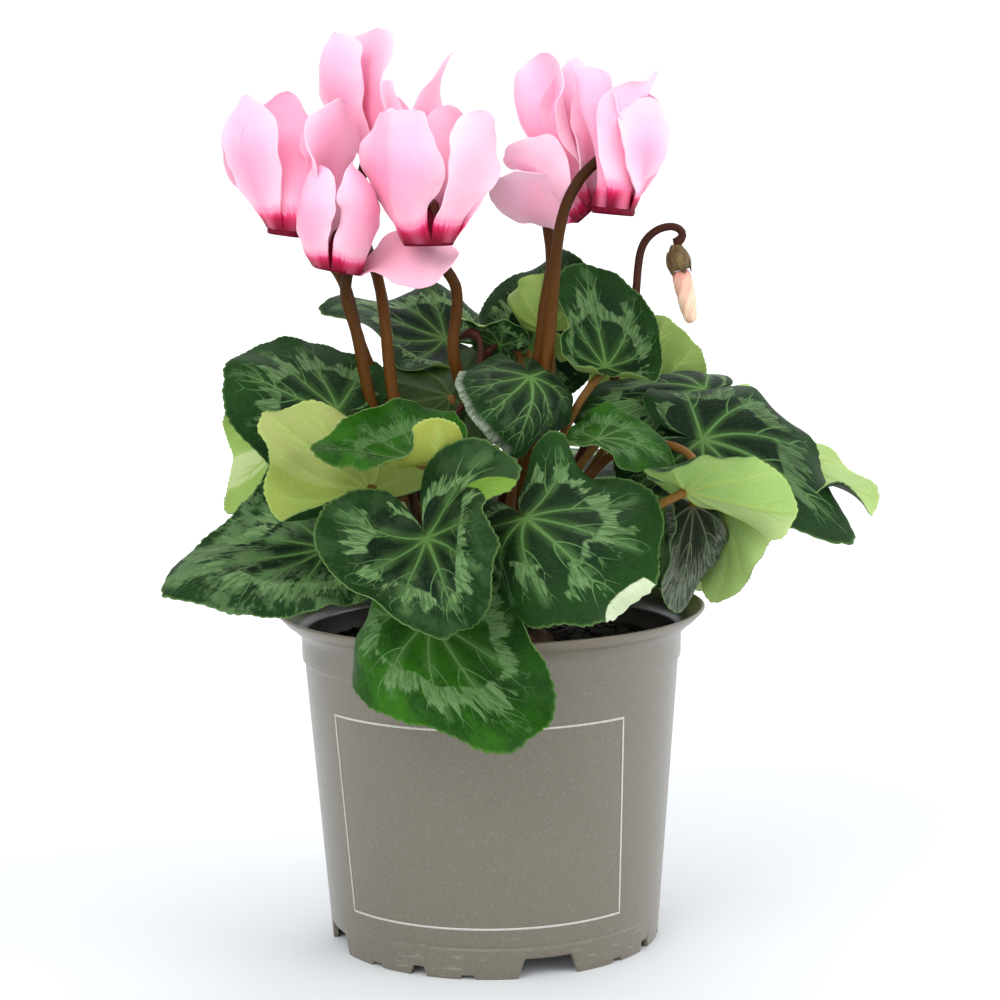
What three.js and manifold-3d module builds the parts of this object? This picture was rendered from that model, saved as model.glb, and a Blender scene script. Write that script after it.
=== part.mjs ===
// Potted cyclamen: nursery pot, peat, tuber, leaves with their stalks, six open flowers, one hanging bud
// and two young hooked buds. Millimetres, +Z up. The pot stands on z = 0.
import * as THREE from 'three';
import { mergeVertices } from 'three/addons/utils/BufferGeometryUtils.js';
import Module from 'manifold-3d';

const wasm = await Module();
wasm.setup();
const { Manifold, Mesh } = wasm;

// ---- driving dimensions (mm) ----
const POT_RIM_RADIUS = 60;          // 12 cm nursery pot, outer edge of the flared lip
const POT_HEIGHT = 94;
const POT_BASE_RADIUS = 46.28;
const POT_WALL_TOP_RADIUS = 52.51;  // top of the tapered wall, under the collar
const POT_WALL_TOP_Z = 80;
const COLLAR_RADIUS = 53.34;
const COLLAR_TOP_Z = 87.3;
const WALL = 1.1;
const FLOOR_Z = 6.4;                // underside of the raised floor
const FLOOR = 1.2;
const FOOT = 1.4;                   // foot ring thickness
const POT_SIDES = 40;
const FIT_GAP = 0.35;               // air left between pieces that touch
const SOIL_TOP_Z = 83;
const TUBER_TOP_Z = 87.9;
const TUBER_RADIUS = 18;
const LEAF_THICKNESS = 0.8;
const PETAL_THICKNESS = 0.8;
const TRIM = 0.1;                   // facets smaller than this are merged away
const STALK_RADIUS = 1.2;           // leaf stalk
const STEM_FOOT_RADIUS = 1.85;      // flower stem, thinning upwards
const STEM_TOP_RADIUS = 1.4;
const BUD_STEM_FOOT_RADIUS = 1.45;
const BUD_STEM_TOP_RADIUS = 1.1;
const YOUNG_STEM_RADIUS = 0.95;
const TUBE_LENGTH = 9;              // corolla tube, mouth to calyx
const CALYX_HEIGHT = 2.5;

// foot notches, repeated every quarter turn: [azimuth from the front in degrees, width, height]
const NOTCHES = [[18, 17, 5.4], [45.6, 4, 1.1], [63, 5, 2.6], [80.4, 4, 1.1]];

// Every leaf blade is a 5 x 5 Bezier net over its own flat outline (rows run from the lobes to the tip, columns from
// the right edge to the left edge); every stalk and stem is a cubic B-spline with nine control points.
const LEAVES = {
  leaf_01: {
    net: [-82.9,-35.9,147.5,29.7,-78.7,124.8,-75.5,-3.1,154.9,10,-65.3,115.2,-20.9,-36.1,194.4,-3.4,-73.9,113,-119.1,-11.5,166.2,78.1,-73.3,28.2,-93.4,-22.9,238.9,123.3,-62.6,56.4,-109,-40,125.6,78,-94.1,43.5,-133.8,-15.6,215.6,138.8,-77.5,2.6,-194.7,-81.8,226.1,54.2,-119.8,80,-161.7,-26.1,179.7,172.5,-124.6,5.3,-205.5,-76.2,237,199.2,-69.3,32.2,-97.2,-51.2,142.5,104.9,-159,6.1,-151.8,30.4,202.3,155.7,-132.2,2,-119.6,-76.3,179.4],
    stalk: [-3.9,-10.8,88.9,-6,-15.5,98.4,-10.3,-19.5,110.6,-17,-21,125.3,-23.2,-21.4,135.6,-20.3,-23,131.5,-21,-29.3,117.7,-17.2,-42.1,118.4,-16.3,-53.3,120.7],
  },
  leaf_02: {
    net: [46.2,-6.9,104.8,-72.9,-65.7,156.3,70,-12.1,118.6,-28.3,-51.3,131.3,33.6,-34.8,195.2,-29.5,-90.3,105.4,10.4,2.1,150.5,-21.5,-88.3,53.5,37.1,-42.7,229.4,26.6,-54.6,61.7,-6.6,-2.8,152.1,32.2,-150.4,33.5,-57.3,-11.1,261.4,100.1,-95.7,-3.8,-27.8,0.9,200.9,62,-126.6,27.7,-90.7,-0.4,211.6,168.3,-197.3,14.8,-117.5,23,209.6,180.8,-124,101.7,-58.8,-49.8,137.8,182.7,-168.4,21.3,-179.3,58.2,172.9,254.2,-182.8,61.7,-88.2,-9.4,112.4],
    stalk: [0.1,-13,88.9,0.2,-15.7,94.9,1.3,-20,100.2,2.9,-25.3,105,4.8,-31.3,109.5,6.6,-37.8,113.8,8.2,-44.5,118,9.2,-51.4,122.1,9.4,-58.4,126.2],
  },
  leaf_03: {
    net: [-44.1,-49.8,98.4,-11.6,-15.2,86.4,-64.4,-66.9,153.3,21.9,-32.7,97.2,-24.7,-41.6,147.2,-11.2,-14.6,93,-63.5,-95.9,122.6,17.4,-35.6,67.4,-60.2,-69.9,172.4,55.5,-39.8,81.5,-99.5,-125.6,70.8,8.6,-10.4,60,-52.8,-117.7,169.7,66.8,-7.5,-5.3,-51.7,-81.3,161,66.7,-25.3,75.1,-77,-185.5,163.2,58.4,40.4,-53.3,-52.9,-121.7,198.5,56,-70.2,25.3,-76.2,-144.7,53.7,90.2,-1.2,-5.8,-77.5,-168.9,190.6,104.2,-16,-40.5,-13.3,-80.7,174.8],
    stalk: [-1.1,-8.4,88.9,-1.8,-12.3,96.9,-3.5,-19.6,102.1,-6.2,-28,104.6,-9.7,-36,105.1,-13.1,-43,104,-15.7,-49.3,102.2,-16.8,-54.6,100.7,-15.6,-58.3,100.4],
  },
  leaf_04: {
    net: [63.4,-23.3,128.3,46.2,-9.5,127.3,65.3,-25.5,147.1,34.7,-54.9,145.2,75.4,-31.5,112.9,34.5,-11.2,116.2,104.9,-33.8,134.3,10.5,-32.9,138.1,75.9,-14.3,111.7,15.3,-52.2,153.6,110.9,-50,125.4,-0.6,-34.1,130.4,139.3,-32.8,111.5,-20.6,-35.3,142,85.2,-35,94.4,13.6,-10.9,107.4,131.5,-64.9,88.1,-41.9,-9.2,129.2,115,-58.5,78.2,20.4,-48.7,137.3,101.3,-36.2,102.5,1.1,7.2,124.4,110.7,-79.5,58.2,-7,-19.7,128.1,58.9,-60,88.2],
    stalk: [6.6,-6.5,88.9,13.5,-6.9,104.9,20.7,-6.5,119,27.1,-7.3,130.7,34.4,-9.9,138.4,44.5,-15,141.3,53.6,-25.4,140.4,56.7,-36.6,135.8,54.2,-32.2,125.6],
  },
  leaf_05: {
    net: [54.1,-20.9,128,51.4,3.8,115.2,28.4,-36.6,158.7,74.3,-1.1,121.2,37.4,-16,127.4,35.8,-1.8,108.9,28,-32.9,137.4,61.4,-13.7,124.1,44.8,-33.9,134.9,62.8,-9.8,114.3,58.3,-47.3,131.9,34.6,-6.1,98.2,34.5,-59.1,162.7,74.5,-13.1,104.8,35.7,-38.6,128.7,32.9,-10.4,88.3,36.5,-51.2,138.5,53.7,-36.5,92.3,47.7,-50.1,128.3,57.9,-12.5,94.8,25.7,-47.7,121.2,37.8,-32.6,96,44.2,-48.7,108.5,50.8,-21.9,95.2,64.2,-46,113.1],
    stalk: [4.3,-2.7,88.9,6.4,-4.8,98.8,10.5,-9.1,107.3,16.6,-14.1,114.4,24.7,-18.7,119.8,33.5,-22.4,123.5,41.6,-25.2,125.8,47,-26.7,126.6,46.9,-27,126.7],
  },
  leaf_06: {
    net: [47.4,-60.5,130.8,45,-81.8,139.7,8.2,-31,141,60.8,-26.7,133.2,44.6,-21.3,141.2,46.2,-79.3,150.1,47.4,-27.7,141.6,61.5,-68.4,135.6,20.3,-31.4,110.1,69.6,-21.8,137.1,69.5,-33.6,139.8,54.2,-87.1,143.4,29,-6,118.4,86.4,-66.4,148.5,41.4,-11.4,94.4,61.5,-85.7,133.9,81.5,5.1,141.9,80.5,-138.5,129.1,51.1,4.9,90.6,97.3,-55,174,92.9,-27,161,71.3,-84.8,119.7,90.3,14.7,130.8,82.2,-101.3,122.6,63.4,-10.2,77.6],
    stalk: [6.5,-10.2,88.9,9.4,-14.3,98.1,14.2,-20.4,105.6,20.1,-27.6,111.9,26.5,-35,117.2,32.8,-41.6,121.6,38.7,-46.7,125.2,43.7,-49,127.9,51.1,-46.7,131.8],
  },
  leaf_07: {
    net: [59.8,-13.7,141.3,44.6,-18.2,128.2,84.2,-28.1,157.4,78.7,-12.8,108.3,59.7,-24,127.6,40.5,-18.2,122.5,80.5,-10.7,132.9,32.4,-47.8,120.2,93.9,-25.2,149.9,70.4,-25.5,97.1,65.8,-14.6,120.8,38.3,-29.2,114.4,87.2,0.3,117.8,37.3,-66.4,113,91.8,-37.4,145,37.2,-17.5,102.4,85.7,-14.7,107.7,56.3,-41.8,106,78.2,-18.4,114.1,56.8,-54.6,91.7,71.9,-14.9,99,29.9,-30.2,100.4,68.4,-31.3,100.4,63.3,-44.2,91.5,83,-38.6,113.3],
    stalk: [10.1,-4.7,88.9,11.5,-5.8,93.5,13.5,-9.6,96.7,16.5,-13.8,99.2,21.5,-16.8,101.9,30.4,-18.3,106.2,45.4,-19.5,113.6,66.6,-23.6,124.4,64.2,-27.2,123.1],
  },
  leaf_08: {
    net: [-5,-32.1,164.3,-16.3,-29.8,158.9,26.4,-25.4,110.1,-30.2,-53.7,185.7,1.2,-30.7,139.9,-7.3,-0.6,127.9,-2.9,-24.2,166.1,-45.9,-47.5,122.9,48.1,-49.3,112.4,-66.3,-56.7,193.3,-43.7,-29.4,181.5,-28.8,-23.9,100.7,16.5,-21.5,183.5,-115.1,-46.1,117.2,48.6,-40.7,70.8,-3.3,-31.7,140.2,-48,-34,184.7,-58.6,-30.5,84.3,21.6,-42.7,165.6,-84.9,-102.8,240.6,-68.6,-54.4,157.5,-22.9,0.1,160.6,-61.4,-41.5,108.3,-59.1,-72,212.6,-11.8,2.9,-8.4],
    stalk: [-6.3,-7.5,88.9,-7.3,-11.4,99.8,-6.9,-17.3,109.9,-5.9,-23.9,119,-5.4,-30,127.1,-6.4,-34.7,133.6,-10,-36.5,137.3,-16,-35,137.1,-19,-35.5,139.4],
  },
  leaf_09: {
    net: [15.2,-40.9,143.6,15.8,-34.2,142.1,14.8,-28.3,141.6,17.2,-12.3,141.4,22.6,-13.9,144.7,21.3,-43.1,141.1,28.4,-35,142,15.5,-19.9,139.8,34.9,-29,144.9,20.2,-5.6,145.1,45.4,-39.8,153.7,17.8,-31.4,147.7,55.8,-40.3,136.3,17.6,-7.6,149.9,38.5,-33.7,166.5,17.7,-44.7,122.3,67.7,-42.1,138.1,11.6,-9.5,150.6,59.8,-39.8,145.8,35.6,1.7,138.4,58.3,-34,133.4,11.1,-23.5,128.5,86.8,-50.2,134.4,34.6,-2.9,138.2,56.5,-24,152.2],
    stalk: [2.3,-10.2,88.9,3.1,-12.3,95.9,5.3,-14.5,102.7,8.4,-16.7,109.5,12.1,-18.8,116.2,16.2,-21,122.8,20.4,-23.1,129.5,24.7,-25.2,136.2,28.9,-27.4,143],
  },
  leaf_10: {
    net: [-17.2,-56.1,133,-77.7,-31.1,143.1,23.6,-70.5,142.9,-32.7,-21.9,119.4,13.2,-34.2,151,-85.5,-61.6,142.9,38.5,-70.6,118.2,-92.1,-4.7,75.6,31,-46.7,177.8,-36.9,-7.1,122.2,-19.6,-30.4,75.4,-155.6,4.3,109.4,80.5,-55.4,198.7,-109.1,18.5,59.1,14.4,-25.9,184.1,-114,-30.7,197.3,56.8,-62.7,156.2,-169.3,18.2,68.2,35.5,-63.6,252.1,-93.1,25.3,92.7,-14.6,-58.1,106.6,-151.3,-4.5,144,23.4,-54.3,201,-123.8,25.3,82.4,-15.5,-29.4,219.7],
    stalk: [-9.9,-7.6,88.9,-11.9,-8.9,96.7,-13.2,-9.1,104.7,-14.4,-9.3,112.6,-16.1,-11,119.7,-19.4,-15.6,125.3,-25.3,-23.1,129,-31.9,-30,130.5,-31.9,-30,130.5],
  },
  leaf_11: {
    net: [-24,-25.1,141.5,-43.7,-4.2,152,-10.7,-49.6,118.1,-28,-44.1,106.4,-32.4,-44.8,90.3,-65.2,-11.1,164.1,-54.5,-43,97.2,12.2,3.1,160.8,-68.3,-28.9,68.1,-27.4,-53.3,121.7,-76.9,-50.9,95.8,-4,31.6,182.8,-114.7,-23.1,-3.7,-1.1,-41.8,187.3,-78.1,-51.8,78,-41,45,140.3,-144.6,-54.1,52.3,0,-20.1,217.8,-133.3,-36.7,38.8,-28.9,-22.8,114.4,-133.9,-42,130.2,-18.9,34.6,111.7,-180.7,-67.3,76.3,-14.8,-23.6,125.4,-108.1,-66.6,72.8],
    stalk: [-10.4,-3.3,88.9,-11.9,-3.8,93.2,-14.8,-5.4,96.9,-18.8,-7.6,100.2,-23.3,-10.3,103.2,-28.3,-13.3,106,-33.6,-16.5,108.7,-39,-19.7,111.4,-44.4,-23.1,114],
  },
  leaf_12: {
    net: [-2.5,-4.9,167.7,-8.9,6.3,145.5,16.6,-15.5,207.6,3,10,127.5,21.2,3.7,177,-21.5,-3.8,150.3,12.5,-28.6,186.7,-2.5,3.9,102.7,33,-10.1,230.6,4.3,4.6,112.7,5.1,-38.8,172.3,-16.4,7.1,128.3,41.9,-47.5,237.6,9.2,-14.2,66.5,53.4,-18.3,221,-21.1,-10.1,135.5,17.2,-72.8,180,-3.9,-4.4,76.8,29.5,-28.1,228.2,2.2,-1.8,60.8,4.3,-53.9,147.8,-25.8,14.8,118.7,30.5,-58.3,181.3,0.3,3.8,74.6,14.3,-16.5,199.4],
    stalk: [3,-6.3,88.9,4,-7.9,100.6,4.9,-8.5,112.2,5.9,-8.5,123.5,6.8,-8.5,134.1,7.8,-8.6,143.8,8.8,-9.3,151.8,10,-11.1,157.3,11.3,-14.6,159],
  },
  leaf_13: {
    net: [42.9,-19.1,147.5,44.1,-13.8,182.6,22.8,-7,140.1,44.2,-18.2,175.2,13.3,-16.6,163.2,63.4,2.9,163.2,25.2,-16.9,126.8,53,0.4,185.7,-6.5,-11.9,133.1,32.9,-10,168.3,28.6,-3.2,161.8,69.1,34.1,182.4,17,3.1,112.4,49.5,23.3,186,-4.4,2.4,161.6,67.6,7.3,182.3,18.6,-5.3,165.7,43.5,26.2,219.4,-8.5,-2.4,151.4,61.7,-2.1,191.3,36.6,13.8,189.5,52.4,11.9,201.3,20.3,18.8,161.9,26.2,15.8,222.8,-15.4,-2.3,169.6],
    stalk: [5.9,2.2,88.9,10.1,1.3,107.9,14.8,-0.6,125.4,19.6,-2.5,140.1,24.4,-3.9,150.2,29.1,-3.4,156.5,31.8,-0.8,159.2,32.9,1.6,160,32.9,1.6,160.2],
  },
  leaf_14: {
    net: [-26.7,16.6,172.9,-27.2,7.1,162.6,-16,7.2,145.7,-25.1,-9.5,131.5,-20.6,-8.5,127.4,-46.4,17.6,156.2,-36.9,13.1,160.3,-30.1,-14.4,154.7,-35.9,-2.9,144,-41.4,-16.7,120.7,-45,11.5,171.7,-55.6,-14.2,153.4,-52.5,11.8,139,-44.6,-20.5,134,-45.5,-16.5,142.2,-67.1,-3.9,179.5,-49.8,17.3,169.8,-56.9,-48.9,170.3,-64.2,-19.1,161.9,-78.5,-16,118.9,-66.2,9.8,165.6,-103.5,-20.8,165.2,-35.8,0.6,170.4,-104.9,-23.1,138.2,-72.3,-27,167.7],
    stalk: [-13.3,-1.2,88.9,-17.3,-1.4,98.9,-21.4,-1.2,108.6,-25.5,-0.5,117.8,-29.7,0.4,126.2,-33.8,1.4,133.8,-37.5,1.5,140.5,-40.4,-0.2,146,-41.8,-4.7,150],
  },
  leaf_15: {
    net: [-42.3,-8.9,153,-29.8,3.9,152.5,-59.2,5,165.7,-58.1,1.8,157.6,-72.1,4.1,166.5,-29.4,-8.9,145,-65.2,-4.3,146.9,-36.2,8.4,149.4,-76.3,7.6,151,-69.7,3.8,148.7,-82.8,-22.6,149.4,-31.8,-7.9,126.5,-60.4,13,131.8,-46.3,19.8,151.1,-90.1,5.6,140,-50.1,-3.7,118.5,-82.8,-8.8,137.3,-42.8,8.3,123.5,-89.9,1.3,111,-51.9,35.6,138.8,-78.9,-26.2,131.9,-53.9,-4.2,120.8,-90.6,-10.8,104.4,-63.2,14.8,148.2,-102.2,-0,113.8],
    stalk: [-11.5,3,88.9,-14.8,3.6,96.5,-19.8,3.5,103.8,-25.7,2.9,111.7,-32.4,1.8,120.7,-40.4,1.2,130.2,-49.2,2.1,138.5,-55.7,4.1,143.2,-55.6,4.3,143.1],
  },
  leaf_16: {
    net: [56.8,-8.6,138.9,-21.2,13.5,94.4,85.4,-47.1,204.4,-0.3,32.5,126.9,74.6,3.5,173.4,-25.7,-5.2,86.2,160.9,-32.2,202.9,-79.7,34.7,34.8,147,-52.3,235.9,11.9,36.8,90.4,178.9,-4.2,147.9,-126.3,2.5,21.9,274.2,-83,285.2,-78.1,47.5,54.8,160.3,-45.2,254.3,-78.4,-45.1,62.5,312.1,-45,215.4,-173.6,41.1,32.9,296,-80.6,219.7,-21,65.6,50.8,222.6,-53.5,149.7,-147.8,-7.2,75.1,365.6,-79.1,132.9,-101.4,72.2,87.8,214.5,-36.8,188.1],
    stalk: [7.7,-1.7,88.9,13.6,-3.6,96.2,21.2,-5.9,100.6,28.1,-6.4,106.1,34.9,-6,112.4,41.4,-6.2,119.5,47.1,-6.9,128.2,53.1,-7,136.7,58.6,-12.4,141.1],
  },
  leaf_17: {
    net: [45.8,16.3,152,93.4,2.9,159.5,36.2,-2.5,166,63.4,-7.9,108.2,54.5,-13.5,143.2,122.4,18.2,181.2,17.6,14.4,140.5,118.2,-9.9,97.7,60.3,-4.8,198.4,56,-9.2,79.8,16.1,26.8,95.8,171.4,4.1,150.5,30,8.8,219.8,83.7,5.9,-10.3,99.5,-12.7,178.9,155.7,26,163.2,26.9,22.2,130,141.1,0.5,21.7,104,-12.7,291.2,72.1,-25.7,39.7,80.8,26.6,120.7,142.2,13.8,126.5,105.6,6.4,178.7,90.7,-17.2,0,122.1,-18.5,226.7],
    stalk: [12.6,-1,88.9,18.8,0.8,98.8,26.7,4.1,104.7,34.7,6.3,107.5,42.7,6.2,109.9,52,4.8,115.6,64.9,3.2,126,78.7,1.8,136.6,78.7,1.8,136.6],
  },
  leaf_18: {
    net: [60.3,35,158.6,70.9,24.4,149,80,15.4,163.1,77.9,13.6,136.5,82.3,6.6,134.5,56.8,10.9,136,58.6,29.6,178.1,71.8,-2.5,150.4,69.8,5.3,145.6,71.6,1.9,131.1,46.2,27.8,178.7,51.3,-12.9,153.1,63.5,20.7,160.8,61.2,-15.2,146.2,57.2,-9.1,136.3,34.3,7.2,133,28.5,23.8,157.9,40.6,-39.9,159.8,28.9,8.4,138.8,45.5,-2.6,130.2,16.9,17.4,165.6,28.8,-7.5,161.9,6.8,9.7,139.2,36.5,-8.6,137.6,29.9,-14,128.2],
    stalk: [9.9,1.3,88.9,13.8,1.7,98,20.1,2.3,106.4,28.2,3.6,114.6,37.4,5.9,123.1,46.9,8.7,132,55.4,10.7,140.9,61,10.4,148.8,60.5,5.9,153],
  },
  leaf_19: {
    net: [8.5,-4.7,139.8,11.3,3.6,140.2,3.9,0.3,165.3,4.9,12.8,163.6,-1,17.6,176.8,0.9,-1.4,131.3,-12,-5.4,156.3,9.5,18.2,134.7,-18.2,2.6,173.6,0.1,35.2,160.9,-17.8,-0.4,136.9,-1.1,8.4,122.6,-38.6,-19.2,188.6,4.5,38.1,134.9,-35,11,148.4,-21.8,-4.8,128.5,-43.1,-6.3,161.4,0.1,22.3,112.2,-60.6,-19.1,186.9,-10.6,37.9,169.7,-41.5,-8.1,134.7,-26.5,4.2,125.5,-71.1,-6.5,176.2,-6.8,38.6,129.6,-61.6,3.7,170.2],
    stalk: [-4.7,6.7,88.9,-5.8,8,97.5,-6.4,8,106.8,-6.7,7.3,116.9,-7.2,6.2,127.6,-7.9,5.4,138.2,-9.1,5.3,146.9,-10.3,5.8,152,-10.3,5.8,152],
  },
  leaf_20: {
    net: [24.1,15.2,138.2,34.5,16.2,135.8,41,12.3,136.3,53.9,15.7,131.2,59,18.2,132.2,27.7,19.7,148.6,34.3,14.8,148.2,46.9,21.2,141.5,50.9,17.5,146.7,65.8,16.8,139.1,27.9,23.1,157.3,38.9,24.8,157,45.8,5.6,160.3,57.6,22.9,149.2,59.3,31.4,154.8,33,27.4,170.6,39.6,21.2,165.1,47.1,33.3,165.3,58.5,14,168.6,66.8,18.2,161.7,32.7,30.7,175.6,44,33.4,181.6,55.6,24.4,170.3,56.9,37,169.2,71.3,26.4,169.6],
    stalk: [10.4,5.4,88.9,12.8,4.2,93.6,15.9,5.5,100,19.3,10.2,109.5,23.7,15.8,120.8,30.2,19.9,131.7,38.5,20.7,141.9,45.7,18.2,150.2,45.7,18.2,150.2],
  },
  leaf_21: {
    net: [15.2,6.1,169.3,13.7,8,166.8,11.2,9.8,161.4,7.8,13,158.4,5.8,14.4,155.1,11.8,4,172.2,6.9,7,166.9,6.9,11.4,165.9,4.5,10.3,162.2,1,15.4,158.1,2.9,5.1,175.3,6.4,6.4,173.9,-1.4,5.8,167.3,-2.4,14.2,162.9,-4.4,12.4,162.5,2.9,-1.8,174.7,-6.5,4,170,1.3,10,167.9,-5.3,10,173,-5.9,20.9,167,-8.5,-2.1,171.9,0,1.8,171.4,-19.3,6.6,181.3,-0.4,16.9,171.3,-5.6,16.6,176.3],
    stalk: [-1.4,5.3,88.9,1.4,6.7,103.3,4.1,7.1,117.3,6.4,8.2,130.5,8.5,10.2,142.6,9.7,12.4,153.3,9.8,14,161.7,7.9,13.5,166.8,3.7,9.4,166.5],
  },
  leaf_22: {
    net: [22.6,13.5,154.4,29.7,14.2,165.5,22.3,2.2,163,31.7,16.1,176.8,29.6,12.8,178.6,22.9,21.5,166.7,5.2,7.3,148.7,36.5,11.7,187.4,13.4,8.1,167,22.8,16.6,183.1,9.2,21.6,156.8,32.9,23.6,194.9,-20.2,-2.1,131.2,32.3,5.7,201.1,19.2,6.3,180.2,28.4,22.8,197.1,-20.8,17,138.7,36.6,20.8,207.8,-19,3.8,158.2,10.8,4.2,202.9,-12.3,28.1,154.6,36.6,28.2,205.3,-32.1,8.5,153.3,42.4,23,204.9,-4.8,18.4,174],
    stalk: [2.2,7,88.9,3.2,8.6,98.9,5,9,109.1,7.5,8.7,119.7,10.6,7.9,130.7,14.2,6.8,142.4,17.4,5.6,154.3,18.6,5.6,164.9,16.4,10.3,170.8],
  },
  leaf_23: {
    net: [25.3,38.3,137.7,18.9,38.4,147.2,3.5,32,143.3,0.2,18.4,144.3,-12.2,14.5,155.3,31.9,40.7,160,21.2,25.3,152.2,6.1,39.9,156.6,-7.4,29.5,172.2,6.2,9.6,150.8,34.8,23.3,155.5,20.8,40.2,168.8,16.6,16.4,179.6,13,16.6,140.4,-3.1,11.7,206.3,38.8,43.3,189.3,42.4,18,188.4,5.2,11.9,160.4,14.8,30.5,235.4,-14.3,49.5,142.9,44.6,17.8,195.7,16.5,22.8,184.2,35.1,37.8,222.7,5.2,46.8,145.8,18.1,34.9,224.5],
    stalk: [5.3,9.3,88.9,7.2,12.5,102,8.7,15.4,115,10,18.2,127.7,10.9,21.1,139.6,11.4,23.9,150.1,11.8,26.3,158.6,12,27.7,163.7,12.1,27.5,163.8],
  },
  leaf_24: {
    net: [-0,48.5,158.3,18.3,52.2,193.5,-10.5,30.6,115.9,19.5,18.8,188.5,-9.7,6.7,143.8,-1.6,67.8,191.6,-24.5,30.6,118.1,32.5,33.3,245.9,-33.1,20.4,100.5,-2.4,22.8,190.9,-20.4,14,166.2,17.5,45.4,262.7,-67.8,33.2,63.3,3.7,41.9,207.9,-28.6,1.7,130.9,-12.4,84.4,215.9,-74.1,15.7,95.9,21.5,45.7,264,-65.6,4.6,145.8,-29.9,31.9,163.6,-59.6,28.4,131.7,4.1,81.3,231.3,-126.8,-14.5,152.1,10.4,35.9,161.7,-35.8,-15.9,192.7],
    stalk: [-4.4,10.4,88.9,-4.8,12.9,101.9,-4,14.2,115,-3.3,16,127.9,-3.7,19.5,139.8,-5.6,25.1,149.9,-8.3,30.8,158.2,-10.9,34.3,164.2,-12.4,32.4,167],
  },
  leaf_25: {
    net: [10.4,30.7,125.4,-0.7,23.9,128.6,-10.9,16.4,128.6,-20.1,8.1,124.8,-28.3,-0.9,117.4,1.7,42.4,121.3,-9.6,35.8,125.7,-20.2,28.6,127,-29.8,20.8,125.1,-38.7,12.2,119.8,-7.5,54.6,119.4,-19.1,48.2,124.7,-29.8,41.2,126.7,-39.5,33.3,124.9,-48.4,24.8,119.8,-15.7,65.9,113.5,-27,59.3,117.6,-37.6,52.2,119.3,-47.1,44.2,116.9,-56,35.7,111.9,-22.4,76.1,102,-33,68.9,103.6,-43.5,61.7,104.8,-53.3,53.9,103.1,-62.5,45.6,99.2],
    stalk: [-8.7,9.4,88.9,-10.1,11,93.9,-11.5,13.4,98.6,-13.2,16.4,103.1,-14.9,19.7,107.5,-16.8,23.3,111.7,-18.9,26.9,115.8,-21.2,30.5,119.9,-24,34,123.8],
  },
  leaf_26: {
    net: [24.6,17.4,106.2,13.8,17.3,109.4,2.9,17.7,110.5,-7.9,18.5,109.4,-18.8,19.9,105.8,25.3,30,109.4,14.5,29.8,113.2,3.7,29.9,115.2,-7.2,30.5,115.2,-18,31.6,113,26,42.1,115.2,15.2,41.7,119.5,4.4,41.8,121.7,-6.4,42.5,121.3,-17.3,43.7,118.8,26.7,54.7,118.5,15.9,54.6,121.6,5.1,54.9,123,-5.8,55.8,121.6,-16.6,57.1,118.5,27.4,68.2,117.4,16.6,68.7,118.1,5.7,69.1,118.7,-5.1,70,117.4,-16,71.2,114.6],
    stalk: [2.1,12.1,88.9,2.3,13.7,93,2.6,16.6,96.5,2.8,20.3,99.7,3,24.4,102.7,3.2,28.4,105.8,3.5,32,109,3.7,34.8,112.4,4,36.1,116.3],
  },
  leaf_27: {
    net: [34,4.2,105.1,24.9,8,112.9,15.3,12.7,118.6,5.4,18.4,122,-5,25,122.8,42,15.1,110,32.8,18.9,117.9,23.3,23.5,123.9,13.5,28.9,127.9,3.3,35.2,129.6,50.4,25,117.5,41.2,28.8,125.4,31.7,33.5,131.1,21.7,39.3,134.1,11.3,45.9,134.9,58.4,35.9,122.5,48.9,40.4,128.6,39.1,45.7,132.9,28.8,52.1,134.4,18.3,59.2,134,65.6,48.6,123,55.6,54.4,126,45.6,60.2,129,35.2,66.8,130,24.6,74.1,129.4],
    stalk: [5.3,9.3,88.9,9.5,13,95.3,13.7,16.2,100.5,16.9,18.7,105.3,19.3,21.2,109.7,21.4,23.9,113.9,23.2,26.7,117.7,25.1,28.7,121.5,27,29.1,125.3],
  },
  leaf_28: {
    net: [21.5,21.3,132.3,10.9,18.7,135.3,0.6,16.2,135.5,-9.4,14,132.4,-19,12.1,126.2,18.3,33.3,136.3,7.6,30.6,139.8,-2.7,28.1,140.8,-12.8,25.8,138.9,-22.6,23.8,134.1,15.1,45.2,140.6,4.4,42.5,144.5,-6.1,40,145.7,-16.1,37.7,143.4,-25.9,35.7,138.4,12.4,57.7,139.2,1.8,55,141.8,-8.5,52.6,142.2,-18.5,50.4,139,-28.2,48.4,133.5,10.4,70.6,131.8,0.1,68.2,131.5,-10.1,65.8,130.9,-20.1,63.6,128,-29.9,61.6,123.3],
    stalk: [-0.4,9.5,88.9,-0.5,11.6,96,-0.2,14.2,102.9,0,17,109.6,0.1,20.1,116.1,-0.2,23.4,122.3,-1.1,27.1,128.1,-2.7,30.9,133.8,-4,34,139.8],
  },
  leaf_29: {
    net: [41.8,-9.2,101.4,35.4,-0.5,105.8,28.5,7.5,107,21,14.7,104.3,12.9,21.1,98.1,51,-0.7,99.7,44.7,8.1,104.5,37.9,16.3,106.5,30.5,23.7,105,22.7,30.4,100.2,60.5,8.3,99.7,54.2,17.1,104.9,47.4,25.3,107,40,32.7,105.2,32.2,39.4,100.3,69.5,16.5,96.5,63,25,100.2,56,33,101.4,48.5,40.2,98.8,40.6,46.9,93.6,77.8,23.7,88.6,70.8,31.7,89.5,63.8,39.5,89.9,56.3,46.7,87.5,48.5,53.5,83],
    stalk: [6.7,5.6,88.9,8.3,7.6,93.5,14.1,9.8,94,19.9,11.3,93.5,24.9,12.8,93.4,29.7,14.2,94.3,34.5,15.5,96.5,38.8,17.3,99.7,42,20,103.8],
  },
  leaf_30: {
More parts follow.
